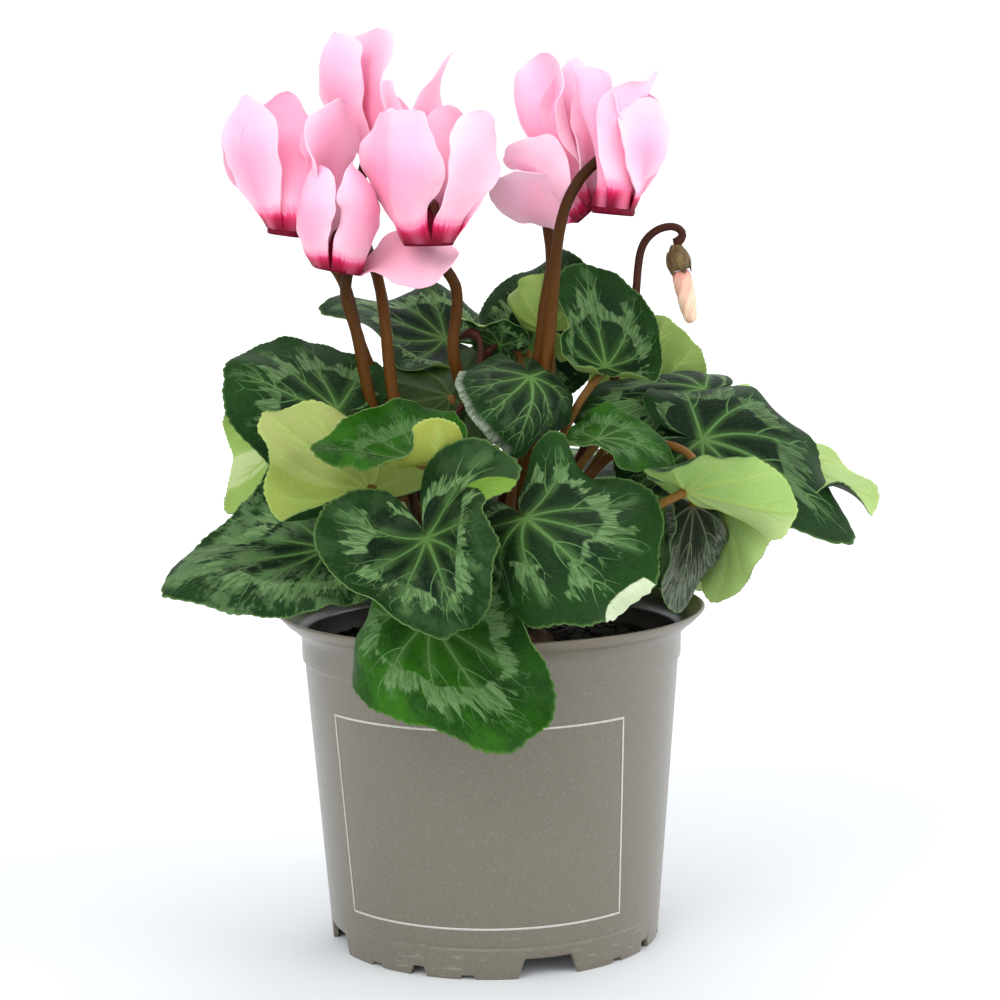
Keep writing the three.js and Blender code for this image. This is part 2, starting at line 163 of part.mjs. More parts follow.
    net: [-13.5,21.4,103.1,-22.2,14.5,106.3,-30.6,7.2,107.7,-38.8,-0.5,106.9,-46.7,-8.7,103.9,-22.5,31.4,101.4,-31.3,24.6,105.3,-39.8,17.4,107.6,-48.1,9.9,108,-56.2,2,106.3,-31.8,41.7,101.6,-40.6,35,106.2,-49.1,27.9,108.6,-57.4,20.3,108.6,-65.4,12.3,106.5,-40.6,51.2,98.3,-49.2,44.3,101.5,-57.7,37.1,103.2,-65.8,29.3,102.2,-73.8,21.2,99.4,-48.8,59.8,89.7,-57.1,52.4,90.5,-65.5,45,91.3,-73.7,37.2,90.4,-81.6,29.2,88],
    stalk: [-8.4,5.8,88.9,-9.2,6.4,91.8,-12.9,7.6,93.7,-18.3,9.3,95.1,-24.5,11.4,96.4,-30.9,13.7,97.7,-36.8,16.2,99.5,-41.5,19,102,-44,22,105.8],
  },
};
const FLOWERS = {
  1: {
    mouth: [-53.99,0,199.6], axis: [0.1392,0,0.9903], side: [0.9903,0,-0.1392], ring: 6.0, lip: 1.2,
    petals: [
      { width: 1.0, net: [-85.3,-6,201.8,-33.9,24.2,197.1,-90.1,-30.9,205.7,-27.7,16.3,193.1,-63.9,-31.8,206.5,-50.8,14.3,210.6,-81.7,-6,205,-49.5,1.6,210.7,-66.5,-25.5,207.1,-38.8,-5.9,211.4,-84.6,3.4,211,-66.4,0.3,227.5,-72.4,-18.2,204.7,-52.7,-5.6,230.7,-61.7,-27.6,217.4,-74,3.9,233,-67.4,2.7,220.6,-70.5,-10.5,233.5,-62.1,-15.1,221.5,-48.2,-13,234.7,-70.5,9.1,233.9,-67,-0.6,236.6,-65.9,-3.7,236.1,-62.8,-15.4,237,-57,-17.5,237.5] },
      { width: 1.0, net: [-50.8,-19.8,206.9,-87.2,17,195,-14,-34.1,205.4,-90.4,17.6,190.3,6.3,-7,209.1,-72.2,-4,186.1,-38.1,-19.3,228.4,-90.6,-1.2,194.6,20.7,-26.2,217.2,-118.4,26.8,200.8,-75.6,6.5,235.3,-77.6,10.5,195.4,-33.1,-51,246.8,-39.6,19.5,207.2,-20.8,-34.3,227.5,-73.1,-20.4,230.3,-46.2,-4.5,235.1,-96.4,7.1,218.5,-13.1,16.3,235.9,-72,16.7,221.6,-54.2,-14.7,228.8,-58.3,-8.1,248.1,-53.9,3.3,225.7,-50.7,9.7,248.7,-53.8,19.3,230.9] },
      { width: 1.0, net: [-27.2,-16.7,203.7,-84.2,-1.4,202.2,-9.9,-9.4,190.4,-80.3,14.2,208.9,-26.4,5.2,188.3,-65.9,-5.7,211.8,-35.6,-13.1,206.4,-45.5,1.6,207.9,-39.1,2,198.5,-48.6,22,206.3,-42,-15.6,211.7,-34.5,10.9,217.8,-70,5.2,212.2,-16,5.7,212.3,-39.3,13,212,-48.5,-3.3,221.8,-67.5,-9.6,220.6,-6,-3.7,225,-55.8,13.2,223.7,-37.3,15,222.2,-61.6,-9.5,229.2,-30.9,-9.5,234.5,-53,6.1,224.8,-44.4,6,230.6,-43.8,16.5,228.5] },
      { width: 1.0, net: [-31.5,18.8,197.4,-60,-27,203.5,-33.5,36.2,191.7,-73.9,-18.5,207.5,-49,27.8,194.7,-44,-13.1,209.4,-35,22.8,203.6,-57.7,-11.2,206.3,-45,31.3,204.6,-69.5,-5.2,205.5,-35.3,13.5,213.4,-48.7,-2.9,215.1,-43.6,23.7,212.8,-60.8,-3,212,-57.6,20.7,211.7,-40.1,3.1,222.5,-42.9,13.4,220.1,-52.4,5,220.5,-55,17.6,219.1,-63.6,9.4,218.5,-39.7,9.2,228.8,-45.9,8.8,228.9,-51.3,13.7,226,-57.1,12.1,227,-62.9,15.8,225.5] },
      { width: 1.0, net: [-63.1,31,201.1,-29.1,-17.1,197.8,-86.4,32.8,201.8,-37,-25.7,198.5,-84.9,10.3,205,-39.5,5.1,202.8,-66.9,28.5,210.5,-46.2,-7.8,203.5,-80.4,15.4,213.1,-58.5,-14.6,205.5,-57.4,29.1,216.3,-54.6,12,211.6,-69.4,18.7,216.8,-63.2,2.4,212.2,-83.3,10.3,215.9,-49.9,18.8,223,-58.4,18.4,224.2,-61.1,10.3,223.6,-72,9.9,224.3,-72.6,1.9,224.5,-50.8,20.5,231.8,-55.8,15.1,232.8,-61.5,9.5,230.9,-67.7,7.2,233.5,-75.3,3.8,232.6] },
    ],
    stem: [-6.2,2.5,88.9,-11.9,8.9,114.3,-23,13.4,139.2,-35.9,12.3,164.4,-37.6,4.7,177.5,-40.7,10.1,188.8,-54.3,13.5,199.2,-53,1.9,221.3,-52.2,0,212.1],
  },
  2: {
    mouth: [-40.64,-6,188.65], axis: [0.1908,0,0.9816], side: [0.9816,0,-0.1908], ring: 6.6, lip: 0,
    petals: [
      { width: 1.0, net: [-84.6,-16.8,198.1,-9.7,17.2,182.3,-87.2,-28.8,198.9,-8.3,-3.2,177.9,-54,-22.6,201,-20.7,7.2,191.9,-91.7,-18,211.3,-15.7,-4.2,176.7,-59.4,-20.2,215.1,-32.7,-20.4,183.8,-72.6,-7,212.3,-27.5,-9.4,197.9,-72.4,-21.1,210.6,-41.4,-21.2,192.7,-38.1,-19.6,210.7,-39.7,-7,209.2,-58.1,-7.9,210.9,-47.9,-20.9,213.5,-42,-22.9,211,-39.5,-24.6,205.8,-47.3,-2.5,215.7,-48,-13.7,221.7,-43.4,-13.7,212.8,-42.4,-21.4,219.3,-35.3,-24.7,215.2] },
      { width: 1.0, net: [-50.2,-36.5,184.6,-60.6,13.5,200,-11.3,-44.3,177.3,-55.4,21.7,191.2,-10.6,-21.3,192.2,-8.7,11.9,221.5,-75.4,-40.7,191,-18.7,1.4,189.7,-20.9,-24.8,198.7,-55.2,5.1,197.3,-66.6,-30.4,195.1,-3.7,-14.5,209.2,-44.7,-39.3,189.2,-26.4,-0.5,212.2,-12.8,-10.1,194.4,-31.1,-26.1,216.1,-47.5,-33.8,201.9,-10.9,-12,228.1,-34.7,-17.2,195.8,-29,-3.2,221.4,-42.4,-29.2,216.6,-29.6,-23.3,224.9,-42.6,-14.4,208.9,-28.2,-12.4,222,-39.4,-6.3,207.3] },
      { width: 1.0, net: [-20.8,-8.6,176.4,-54.8,-20.8,197.7,-8.4,4.4,177.8,-61.1,-3.8,192.2,-18,11.1,194.4,-40.3,-20.6,189.4,-14.7,-12.9,190.6,-43.7,-1.2,188.7,-13.1,3.1,197.2,-46.1,-1.8,202.7,-18.2,-6.9,172.7,-23.3,-6.3,181.7,-18.1,-13.1,199.3,-29.5,-7.3,202,-13.8,7,201.9,-13.7,-19.2,185.9,-17.2,-13.4,186.6,-14.3,-10.4,197.9,-13.4,1.3,193.9,-15.5,2,199.9,-8,-19.1,185.3,-6.6,-15.6,192.7,-8.9,-8.1,192.5,-5.7,-2.5,194.2,-7.3,5.2,194.9] },
      { width: 1.0, net: [-36.9,23,190.5,-27.1,-15.5,185,-66.2,16.7,194.3,-33.9,-19.5,186.5,-57.5,-18.1,192.6,-27.8,12.7,211.3,-43.1,11.5,197.3,-52.7,0.9,199.7,-45.9,-13.6,206,-64.4,-16,191.2,-79.8,9.1,214.5,2.5,-13.5,215,-66.3,-1.5,221.5,-58.8,-13.9,203.1,-4.3,-24.4,223,8.4,9,218.8,-82.5,14.6,231.9,-9.4,-16.2,213,-56.6,-6,236.5,-66,-25.5,215.4,-51,14,239.2,-21.4,-1.1,232.2,-56.8,1,239.4,-25.7,-22.8,229.3,-54.8,-19.8,238.5] },
      { width: 0.8, net: [-29.9,21.5,195.1,-33.4,-32.5,183.5,-35.1,34.5,189,-54,-29,190.2,-42.9,23.3,189.6,-24.7,-14.1,195.1,-33.4,24,198.6,-38.6,-19,188,-42.9,26.2,201.9,-51,-8.3,177,-31.8,18,205.9,-36.5,0.7,201.6,-41.1,16.8,204.8,-47.5,1,191.5,-55.5,15.4,210.7,-35.9,4.3,211.7,-40.4,6.8,209.2,-43.2,-1,203.5,-49.5,-2.1,205.7,-52.1,-4.1,195.7,-37.5,2.3,217.2,-44,2.9,214.4,-43.6,-5.1,210.7,-46.3,-8,204.2,-53.6,-7.7,205.1] },
    ],
    stem: [-9,0.4,88.9,-17.6,2.7,114.8,-27.8,3.8,134.1,-34.4,-0.2,157.1,-35.9,0.2,172.6,-40.4,-0.3,181.5,-36.8,-0,191.9,-32.7,-3.3,210.7,-38.2,-6,201.1],
  },
  3: {
    mouth: [-26.59,18,210.63], axis: [-0.2419,0,0.9703], side: [0.9703,0,0.2419], ring: 5.6, lip: 0.5,
    petals: [
      { width: 1.0, net: [-31.5,31,230.9,-16.1,28.5,192.1,-49,9.7,220.3,-4,17.8,203.9,-35.7,-5.3,219.6,-44.5,30.2,200.7,17.4,38.4,267.7,-104,7.4,160.3,19.8,1.7,259.4,-53.8,-4.8,212.1,-42.8,40.8,244.6,-101.7,3.7,194.4,40,37.4,274,-108.8,1.9,204,1.5,13.3,255.5,-54.6,29.9,240,-20.1,42.8,259.8,-110.9,-18.7,228.9,16.5,28.4,256.7,-61.7,-7.6,234,-41.8,35.5,253.6,-45.9,24,253.9,-33.3,20.8,253.7,-53.4,-1.9,253.5,-13.4,12.2,256.2] },
      { width: 1.0, net: [-38.1,-7.7,213.6,-11.8,61.8,203.7,-44.1,-41.7,219.8,-20.6,56.7,197.5,-15.1,-18.1,229.2,-23.8,59.7,201.9,-51.9,8.4,238.5,-9.3,0.1,194.6,-39,13.5,253.3,6.3,-11.5,193.2,-65.1,4.1,254.6,-11.4,-19.3,207.4,-85.4,53.7,256.8,21.7,-34.3,209,-77.1,2.1,251.8,-33.8,30.4,227.8,-84.6,39.2,264.8,25.3,-8,226.6,-66.7,19.6,254.8,-1.5,-15.2,234.5,-64.8,43.5,258.8,-7.5,17.9,251.5,-50.2,18.6,256.5,-13,-2.5,255.4,-25.2,-3.3,253.2] },
      { width: 1.0, net: [-11.2,-2.8,212.8,-51.9,23.2,208.9,8.8,-0.6,213.7,-46.9,35.2,210.7,2.8,16,214.9,-44.7,12.4,216.8,-7.2,-0.1,220.7,-37.6,19.9,216,-0.8,14.6,222.1,-27.9,26.6,217,-20.7,0.6,227.8,-37,15.5,224.9,-12.1,8.8,228.1,-26.1,18.2,226.8,-6.2,25.2,229.1,-34.6,6.2,234.4,-21.4,6.7,235.5,-27.2,16,234.2,-19.9,23.4,231.5,-27.9,26.6,231,-28.5,6.2,243.1,-30,11.4,242.8,-19.9,18.4,238.7,-30,22.1,240.2,-24.7,29.5,236.8] },
      { width: 0.7, net: [-3,29,217.1,-37.8,-3.2,210.8,-0.4,43.4,212.6,-47.9,8.5,209.7,-16.3,39.8,209.9,-19.4,8.8,220.2,-8.6,31.3,222.8,-33.9,11.5,213.7,-13.8,41.6,220.1,-42.9,19.8,211.4,-10.7,30.4,228.3,-23.5,20.7,223.9,-18.9,32.8,227.8,-36.6,20.1,219.3,-29.7,33.4,222.6,-17.9,22.3,234.2,-20.2,28.3,233,-29.2,23.9,229.4,-30,29.3,229.9,-39.4,26.2,225.8,-18.7,25.8,240.7,-24.7,25.3,238.9,-29.1,26.6,236.9,-35.1,26.4,234.9,-39.4,28.2,233.4] },
      { width: 0.75, net: [-33.2,46.1,207.4,-9.8,0.1,217.8,-49.8,51.6,201.4,-11.9,-6.7,215.6,-43.5,31.2,208.5,-16.2,20.7,217.2,-37.6,44,216.2,-22.5,12.6,216.9,-44.8,33.6,215.7,-27.1,8.2,220.5,-29.1,41.6,226.1,-26.2,28.7,222.3,-39.8,35,224.4,-33.5,23.7,224.3,-45.6,27.6,224.5,-23.3,33,232.6,-31.9,32.3,234.4,-34.5,30.6,231.5,-43.4,27.4,232.2,-46.5,23.7,231.1,-24,33.7,242.5,-29.7,31.3,240.6,-37.4,27,241.1,-45.6,27.9,237.9,-55.1,24.3,236.7] },
    ],
    stem: [-6.6,-3.8,88.9,-12.5,-5.9,108.3,-18.6,-6.5,126.4,-23.9,-4,142.2,-27.2,-0,156.3,-28,0.7,172.1,-30.2,8.3,190.2,-39.5,26,205.1,-32.1,19.5,222.3],
  },
  4: {
    mouth: [-15.67,-14,196.16], axis: [0,0,1], side: [1,0,-0], ring: 6.6, lip: 0.5,
    petals: [
      { width: 1.0, net: [-59.6,-5.9,208.3,26.6,0.5,189.5,-76.3,-24.7,199,26.5,-13.8,195.3,-49.5,-35.3,196.4,-10.3,-1.8,191.6,-47.6,-8.1,220.4,-5.9,-13.4,192.1,-46.1,-30.4,211.3,1.9,-24.2,201.5,-41,1.2,219.3,-43.8,-26.6,211.2,-15,-9.6,219.1,-23.7,-23.9,211.8,-21.8,-34.1,213.7,-43,-13,230.2,-13.9,4.5,214.5,-43.6,-29,230.1,-10.3,-22.1,218.7,-21.1,-30.5,227.5,-24.7,0.6,226.9,-34,-16.1,242.4,-20.6,-14,216.2,-32,-25.3,243.7,-15.4,-29,230.2] },
      { width: 1.0, net: [-45.1,-31.1,201.8,-5.5,5.7,186.7,-45.3,-41,212.7,26.5,-14.4,167.7,-50.6,-12.3,240.7,18.4,-10.2,185.5,-78.8,-7.1,252.8,37.8,-52.8,128.5,-77.4,-4.2,285.3,36.1,-35.5,147.4,-75,-9.5,241.2,40.4,-37.3,172.5,-109.6,-14.9,274.2,45.6,-55.6,147.8,-28.2,-23.9,258,7.8,-25.7,213.6,-71.2,-9.3,240.8,17.9,-48.3,201.6,-44,-21.8,245.4,-6.9,-48.8,207,-31.2,-8.9,232.7,-21.8,-35.6,234.6,-21.1,-14,228.2,-11.5,-39.7,231.8,-12.2,-38,232.3] },
      { width: 1.0, net: [-23.3,-35.8,206.9,-32.3,-7.5,191.2,15,-38.3,199.1,-28.8,5.3,192.3,10.2,-14.5,202.2,22.7,-44,184.3,-46.8,-22.7,231.3,12.6,-21.7,177.7,-7,-14.9,228.8,-11.7,-3.4,189.4,-41,-28.3,240.4,39.7,-38.3,193.7,-38.7,-10.8,238.8,5.1,-18,196.7,29.2,-13.5,220.7,2,-32.8,217.7,-29,-20.3,233.8,16.9,-26.5,212.4,4,-9.2,227.2,-10.8,-2.2,220,-11.6,-31,235.6,3.9,-28,231.4,-3.1,-16.6,229.5,1.4,-13.4,232.7,8.4,-4.6,230] },
      { width: 1.0, net: [28.4,-10,201.3,-47.3,-37.3,195.1,32.7,11.3,194.8,-49.7,-23,198.4,3.5,12.2,193.9,-11.8,-21.9,198.9,21.2,-6.2,211.1,-30.3,-21.4,199.7,10.9,13.7,207.2,-39.4,-10.7,201.6,18.4,-4.5,221.4,-7.3,-4.1,210.2,2.7,1.5,219.2,-28.5,-14.4,210.4,-13.7,3,215.9,-1.6,-19.1,223.7,1,-12.3,226.6,-10.2,-5.1,221.7,-11.6,2.7,225.3,-26.9,-4.2,222.8,-0.5,-18.7,232.4,-11.7,-15.9,233.7,-5.6,-2.9,232.3,-13.6,-0.4,233,-20.2,3.6,234.1] },
      { width: 0.34, net: [-6.4,22.7,185.8,3.6,-40.9,205.2,-43.9,29.9,189.6,1.8,-40.8,199,-54.9,-7.1,198.5,5.4,-3.4,217.4,-20,9.6,193.1,-9.1,-4.1,220.4,-45.9,-10.4,197.4,-24.5,-13.4,227,-7.4,23.5,212,21.9,-1.1,242.8,-39.3,7.8,216.7,-23.3,4,251.2,-32.6,-26.2,218.3,-6.6,20.6,248.9,-29,15.5,224.6,0.2,-4.3,252.4,-15.5,-14.9,218.1,-33.7,-5.4,255.2,-4,15.6,242.7,-28,11.8,269.6,14.4,-9.3,222.4,-22,-12.5,262.2,-21.2,-3,248.8] },
    ],
    stem: [-2.7,-5.3,88.9,-0.6,7.2,120.9,-3.7,10.4,147.7,-9.7,-0.4,161.1,-9.7,0.2,170.2,-6.5,2.6,185.5,-16.5,-1.1,190.8,-15.9,-10.2,217.3,-15.7,-14,208.8],
  },
  5: {
    mouth: [29.44,8,204.68], axis: [-0.6691,0,0.7431], side: [0.7431,0,0.6691], ring: 6.0, lip: 0.3,
    petals: [
      { width: 1.0, net: [-22.7,-29.5,168,55,56.1,228.8,9.2,-64.2,174.3,36.9,70.3,234.7,52.2,-52.6,190.4,49,-17.2,242.3,-26.8,-10.6,177.1,38.7,32.2,230.6,39.9,-38.8,211,9.8,21.4,205.1,-6.6,0.2,212.3,30.4,-14.7,236.8,10.6,26.1,222.9,42.2,-9.7,223.6,-11.6,-12.8,233.4,15.1,-9.6,242.6,-12,34.9,226,56.7,-12.4,243.2,-7.4,1.9,237.6,49.7,-15.8,234.9,-3.1,14.4,247.8,25.9,10.5,247.1,4.6,5,245.3,27.8,-10.1,248.7,11.6,-17.9,248.6] },
      { width: 1.0, net: [0.8,17.4,177.2,53,23.2,235.2,-5.6,-0.6,158.2,53,-2.3,244,10.8,-11.9,169.5,42.1,24.4,214.9,-8.1,10.1,189.7,41.9,4.4,221.7,-4.8,-9.5,184.7,56.6,-12.5,234.8,13.7,7.2,230.2,30.4,21.5,215.8,-9.2,-14.6,202.4,41.7,-0.5,222.1,4.3,-2.5,247.9,9.2,21.2,207.2,12.7,5.3,221,5.3,4.5,202.1,15.7,-11.2,234.3,11.2,-10.2,206.6,6,12,219.3,-3.7,6.7,213.1,17,0.5,227.4,-3.2,-2.5,212.9,10.2,-9.1,234.1] },
      { width: 1.0, net: [25.8,-9,182.8,22.1,31.7,216.2,26.2,-20.5,182.9,31.6,18.7,222.7,32,-15.3,197.8,26.4,21.4,203.9,22.1,-14.9,184.9,12.6,20.2,223.3,31.3,-21.8,188.4,19.9,15,239.9,13.1,6.7,193.2,15.8,22.7,208.1,16.1,-19.7,190.6,13.1,19.8,232.9,17.9,-17.6,200.9,7.9,16.9,203.4,6.2,1.7,200.1,8.8,14.1,214.6,7.4,-11.1,203.6,8.5,-1.5,221.4,-0.6,13.2,201.8,0.3,11.1,207,2.1,3.1,211.2,0.7,1,213.1,0.2,-7.1,215.2] },
      { width: 1.0, net: [29.6,-21.7,225.5,14.1,23.2,177.2,57.4,-19.8,237.8,12.6,32.4,186.5,53.3,3.5,223.9,14.3,8.8,203.9,25,-13,228.4,32.2,14.8,205.2,37.3,6.6,236.9,31.5,31.7,191.7,8.3,1.5,226.5,16.1,23.3,228,27.1,-1.2,231.5,35.7,29,214.5,11.9,18.3,243.9,13.7,4.9,243.5,18.7,-8.6,228.5,34.9,14.2,240.6,26.7,15.3,237.7,31.7,26.1,232.3,16.2,-11.4,243.5,31.6,-1.1,250.9,16.7,9.7,240.2,32.6,15.4,250,28.7,27.8,245.2] },
      { width: 1.0, net: [49.7,27.1,222.1,21.5,-21.1,200.6,47.3,47,217,14.8,-13.1,193.4,28.6,38,205.7,34.9,-1.2,213.6,41,28.1,227.5,20.9,-0.1,204.2,30.7,38.3,215.9,11.9,7.3,200.2,46.3,27.7,226.2,31,17.5,217.1,32.4,30.5,222.8,15.3,17.8,213.8,15.8,31.5,217.9,34,22.9,233.1,33.6,24.3,230.1,19.3,22.6,227.9,19.8,21.4,225.1,8.5,18.8,221.4,35,22.6,240,24.5,23.3,239.4,24.9,14.6,232.3,12.6,19.1,233.3,8.9,17.1,229.8] },
    ],
    stem: [1.7,0,88.9,4.6,2.7,115,9.4,3.5,140.9,14.9,5,162.9,15.9,4.7,179.7,18.8,6.6,188.1,17.7,16.9,197.8,14.2,11.5,223.2,21,8,214.1],
  },
  6: {
    mouth: [34.97,-4,204.76], axis: [0.1045,0,0.9945], side: [0.9945,0,-0.1045], ring: 5.7, lip: 1.6,
    petals: [
      { width: 1.0, net: [26.5,-29.9,194.4,30.1,30.3,217.4,20.7,-52,194.3,51,30.8,212.9,30.5,-43.3,199.4,55,0.7,234.1,40.5,-17.9,206,-0.2,-2.9,214.3,69.3,-38.7,214.2,21.9,14.2,218.4,2.9,-13.6,216,35.7,-5.3,222.2,44.4,-31,228.1,5.6,6.7,220.8,68.9,-16.8,230.3,44.4,-4.2,237,8.5,-4.3,233.2,25.5,-17.6,238.2,52.2,-7.2,231.9,16.3,-23.2,227.8,19.3,9.5,241.4,25.6,-12.5,254.1,33,0.1,230.4,32.6,-19,249.8,39.7,-21.5,236.5] },
      { width: 1.0, net: [-13.4,-57.5,226.6,80.8,45.1,182.6,-34.9,-66.5,231.9,144.7,37.7,169.1,-86,-26.4,246.4,72.9,4.7,202.7,-39,-50.6,233,137.4,16.1,183.2,-71.7,-39.2,259.7,163.9,37.9,151.3,-11.3,-24.3,227.3,84.2,15.8,230.9,-26.4,-61.1,237.7,158,63.6,183.9,-84.7,-36.9,276,47.2,-9.5,255.6,4.2,-34.6,221.7,95.6,22.4,231.8,-24,-30.2,246.9,101.3,28.8,216.5,37.5,-30,232.6,59.8,-11,244.3,24.9,-15.5,243.3,72.6,6.3,238.7,30.4,4.5,244] },
      { width: 1.0, net: [73.6,-20.6,199.1,-7.5,-6.1,210,92,-9.6,199.1,-4.9,6.5,206.2,73.3,4.8,207,-1,-8.9,208,84,-20.4,211,11.3,0,208.7,71.3,-0.8,215.1,24,10.3,207.5,63,-24.9,220.1,16.4,-10.4,213.5,57.1,-6,224.3,38.6,-4.5,214.9,67.5,1.1,218,23.2,-16.2,224.1,46,-10.2,229.6,42.1,-14.2,223.8,49.4,3.6,227,50,1.6,227.4,34.3,-14.4,234.5,37.7,-17.3,234.9,49.7,-4.2,234,46.4,-4.5,234.1,50.6,5.9,234.4] },
      { width: 1.0, net: [62.3,11.9,203.1,25.1,-29.8,207.7,56.9,31.7,199,15.9,-23.1,210.2,36.5,23.8,202.2,46,-7.3,210.5,56.5,12.9,211.3,30.1,-11.1,211.4,42.9,24.2,211.3,19.1,-5,212.2,55.8,3.3,221.7,43.5,4.7,218.4,45.4,12.9,221.1,29.3,0.3,218.5,31.5,17.2,220.7,52.3,1.8,227.4,47.2,3.4,229.7,38.9,5.7,227.2,35.5,9.7,229.4,25.5,6.6,227.3,52.8,0.8,237,46.5,3.7,235.9,40,5.8,237.7,33,7.8,235.7,27.2,10.3,236.4] },
      { width: 1.0, net: [15.4,13.9,205.9,62.9,-11.2,204.6,-4,13.4,205.3,56.8,-18.2,205.1,7.1,1.4,206.8,47.4,-5.2,207.7,15,8.7,215.8,43.4,-8.6,210.1,8.6,3.8,214.4,38.9,-13,214.3,23.2,6.3,217.5,36.3,-4.5,216.3,20.6,-0.1,222.7,35.7,-7.8,221.8,16.2,-0.8,226.5,34.5,0.4,223.3,26.9,4.4,226.6,31.2,-0.8,227.2,21.3,1.8,229.8,24.7,-4.1,231.5,32.9,4.6,231.6,32.6,3.2,233.7,29.8,1.7,235.2,25.8,0.8,237.3,21.5,-2.6,239.3] },
    ],
    stem: [0.3,-3.5,88.9,7.7,-6.1,120.6,15.8,-5.6,154.1,18.6,-3.9,183.8,20,-8,203.4,26.8,-8,215,34.8,-2.8,219.8,37.2,-5.3,222.8,36.3,-4,217.3],
  },
};
const BUD = { top: [53.2,13,194.22], axis: [0.1828,0,-0.9832], stem: [2.5,3.2,88.9,19.4,8.6,121.5,34.7,12.8,151.2,43.2,14.7,176.2,42,14.1,195.7,53,12.5,200.4,56.8,12.3,195.9,53.2,13,194.2,53.2,13,194.2] };
const YOUNG_BUDS = [
  [-4.5,-0.8,88.9,-6.5,-1.9,99,-9.6,-4.4,109.6,-13,-6.3,121.4,-14.8,-5.3,134.3,-10.9,-0.1,146.6,-0.8,3.3,157.6,-1.4,4.7,173.4,-7.9,6,168.8],
  [-2,1.8,88.9,-0.1,3.2,102.6,2.2,4.2,116.4,4.2,5,129.7,6.6,4.9,141.4,7.3,3.8,150.6,1.8,4.2,156.7,-5.1,7.5,162.3,2.7,9,166.5],
];

// ---- patch and curve evaluation ----
const LEAF_DOMAIN = [-0.62, 1.06, -0.70, 0.70];
const PETAL_DOMAIN = [0, 1, -0.42, 0.42];
const OUTLINE_DEG = [0, 8, 16, 30, 45, 60, 75, 90, 105, 120, 135, 148, 158, 166, 172, 176, 180];
const OUTLINE_R = [1.0, 0.955, 0.91, 0.835, 0.775, 0.73, 0.695, 0.67, 0.655, 0.64, 0.62, 0.575, 0.50, 0.39, 0.27, 0.15, 0.07];
const PETAL_X = [0, 0.06, 0.14, 0.25, 0.38, 0.5, 0.62, 0.74, 0.84, 0.91, 0.96, 0.985, 1];
const PETAL_W = [0.115, 0.13, 0.165, 0.222, 0.285, 0.325, 0.345, 0.34, 0.31, 0.262, 0.20, 0.14, 0];

function lookup(xs, ys, x) {
  let i = 1;
  while (i < xs.length - 1 && x > xs[i]) i++;
  const t = Math.min(1, Math.max(0, (x - xs[i - 1]) / (xs[i] - xs[i - 1])));
  return ys[i - 1] + t * (ys[i] - ys[i - 1]);
}
const BINOM = [1, 4, 6, 4, 1];
const bern = (t) => BINOM.map((c, k) => c * t ** k * (1 - t) ** (4 - k));
function patchPoint(net, domain, x, y) {
  const a = bern((x - domain[0]) / (domain[1] - domain[0]));
  const b = bern((y - domain[2]) / (domain[3] - domain[2]));
  const p = new THREE.Vector3();
  for (let i = 0; i < 5; i++) {
    for (let j = 0; j < 5; j++) {
      const w = a[i] * b[j], k = 3 * (5 * i + j);
      p.x += w * net[k]; p.y += w * net[k + 1]; p.z += w * net[k + 2];
    }
  }
  return p;
}
function patchNormal(net, domain, x, y) {
  const e = 0.01;
  const dx = patchPoint(net, domain, x + e, y).sub(patchPoint(net, domain, x - e, y));
  const dy = patchPoint(net, domain, x, y + e).sub(patchPoint(net, domain, x, y - e));
  return dx.cross(dy).normalize();
}
const KNOTS = [0, 0, 0, 0, 1 / 6, 2 / 6, 3 / 6, 4 / 6, 5 / 6, 1, 1, 1, 1];
function bsplineWeight(i, p, t) {
  if (p === 0) return (t >= KNOTS[i] && t < KNOTS[i + 1]) || (t >= 1 && KNOTS[i] < 1 && KNOTS[i + 1] === 1) ? 1 : 0;
  const a = KNOTS[i + p] - KNOTS[i], b = KNOTS[i + p + 1] - KNOTS[i + 1];
  return (a ? ((t - KNOTS[i]) / a) * bsplineWeight(i, p - 1, t) : 0)
    + (b ? ((KNOTS[i + p + 1] - t) / b) * bsplineWeight(i + 1, p - 1, t) : 0);
}
class StalkCurve extends THREE.Curve {
  constructor(ctrl) { super(); this.ctrl = ctrl; }
  getPoint(t, target = new THREE.Vector3()) {
    target.set(0, 0, 0);
    for (let i = 0; i < 9; i++) {
      const w = bsplineWeight(i, 3, t);
      target.x += w * this.ctrl[3 * i]; target.y += w * this.ctrl[3 * i + 1]; target.z += w * this.ctrl[3 * i + 2];
    }
    return target;
  }
}

// ---- solids ----
function toManifold(geometry) {
  const g = geometry.clone();
  for (const name of Object.keys(g.attributes)) if (name !== 'position') g.deleteAttribute(name);
  const m = mergeVertices(g, 1e-4);
  const idx = m.index.array, keep = [];
  for (let i = 0; i < idx.length; i += 3) {
    if (idx[i] !== idx[i + 1] && idx[i + 1] !== idx[i + 2] && idx[i] !== idx[i + 2]) keep.push(idx[i], idx[i + 1], idx[i + 2]);
  }
  const mesh = new Mesh({ numProp: 3, vertProperties: new Float32Array(m.attributes.position.array), triVerts: new Uint32Array(keep) });
  mesh.merge();
  let s = new Manifold(mesh);
  if (s.volume() < 0) {
    for (let i = 0; i < keep.length; i += 3) [keep[i], keep[i + 1]] = [keep[i + 1], keep[i]];
    const flip = new Mesh({ numProp: 3, vertProperties: new Float32Array(m.attributes.position.array), triVerts: new Uint32Array(keep) });
    flip.merge();
    s = new Manifold(flip);
  }
  return s;
}
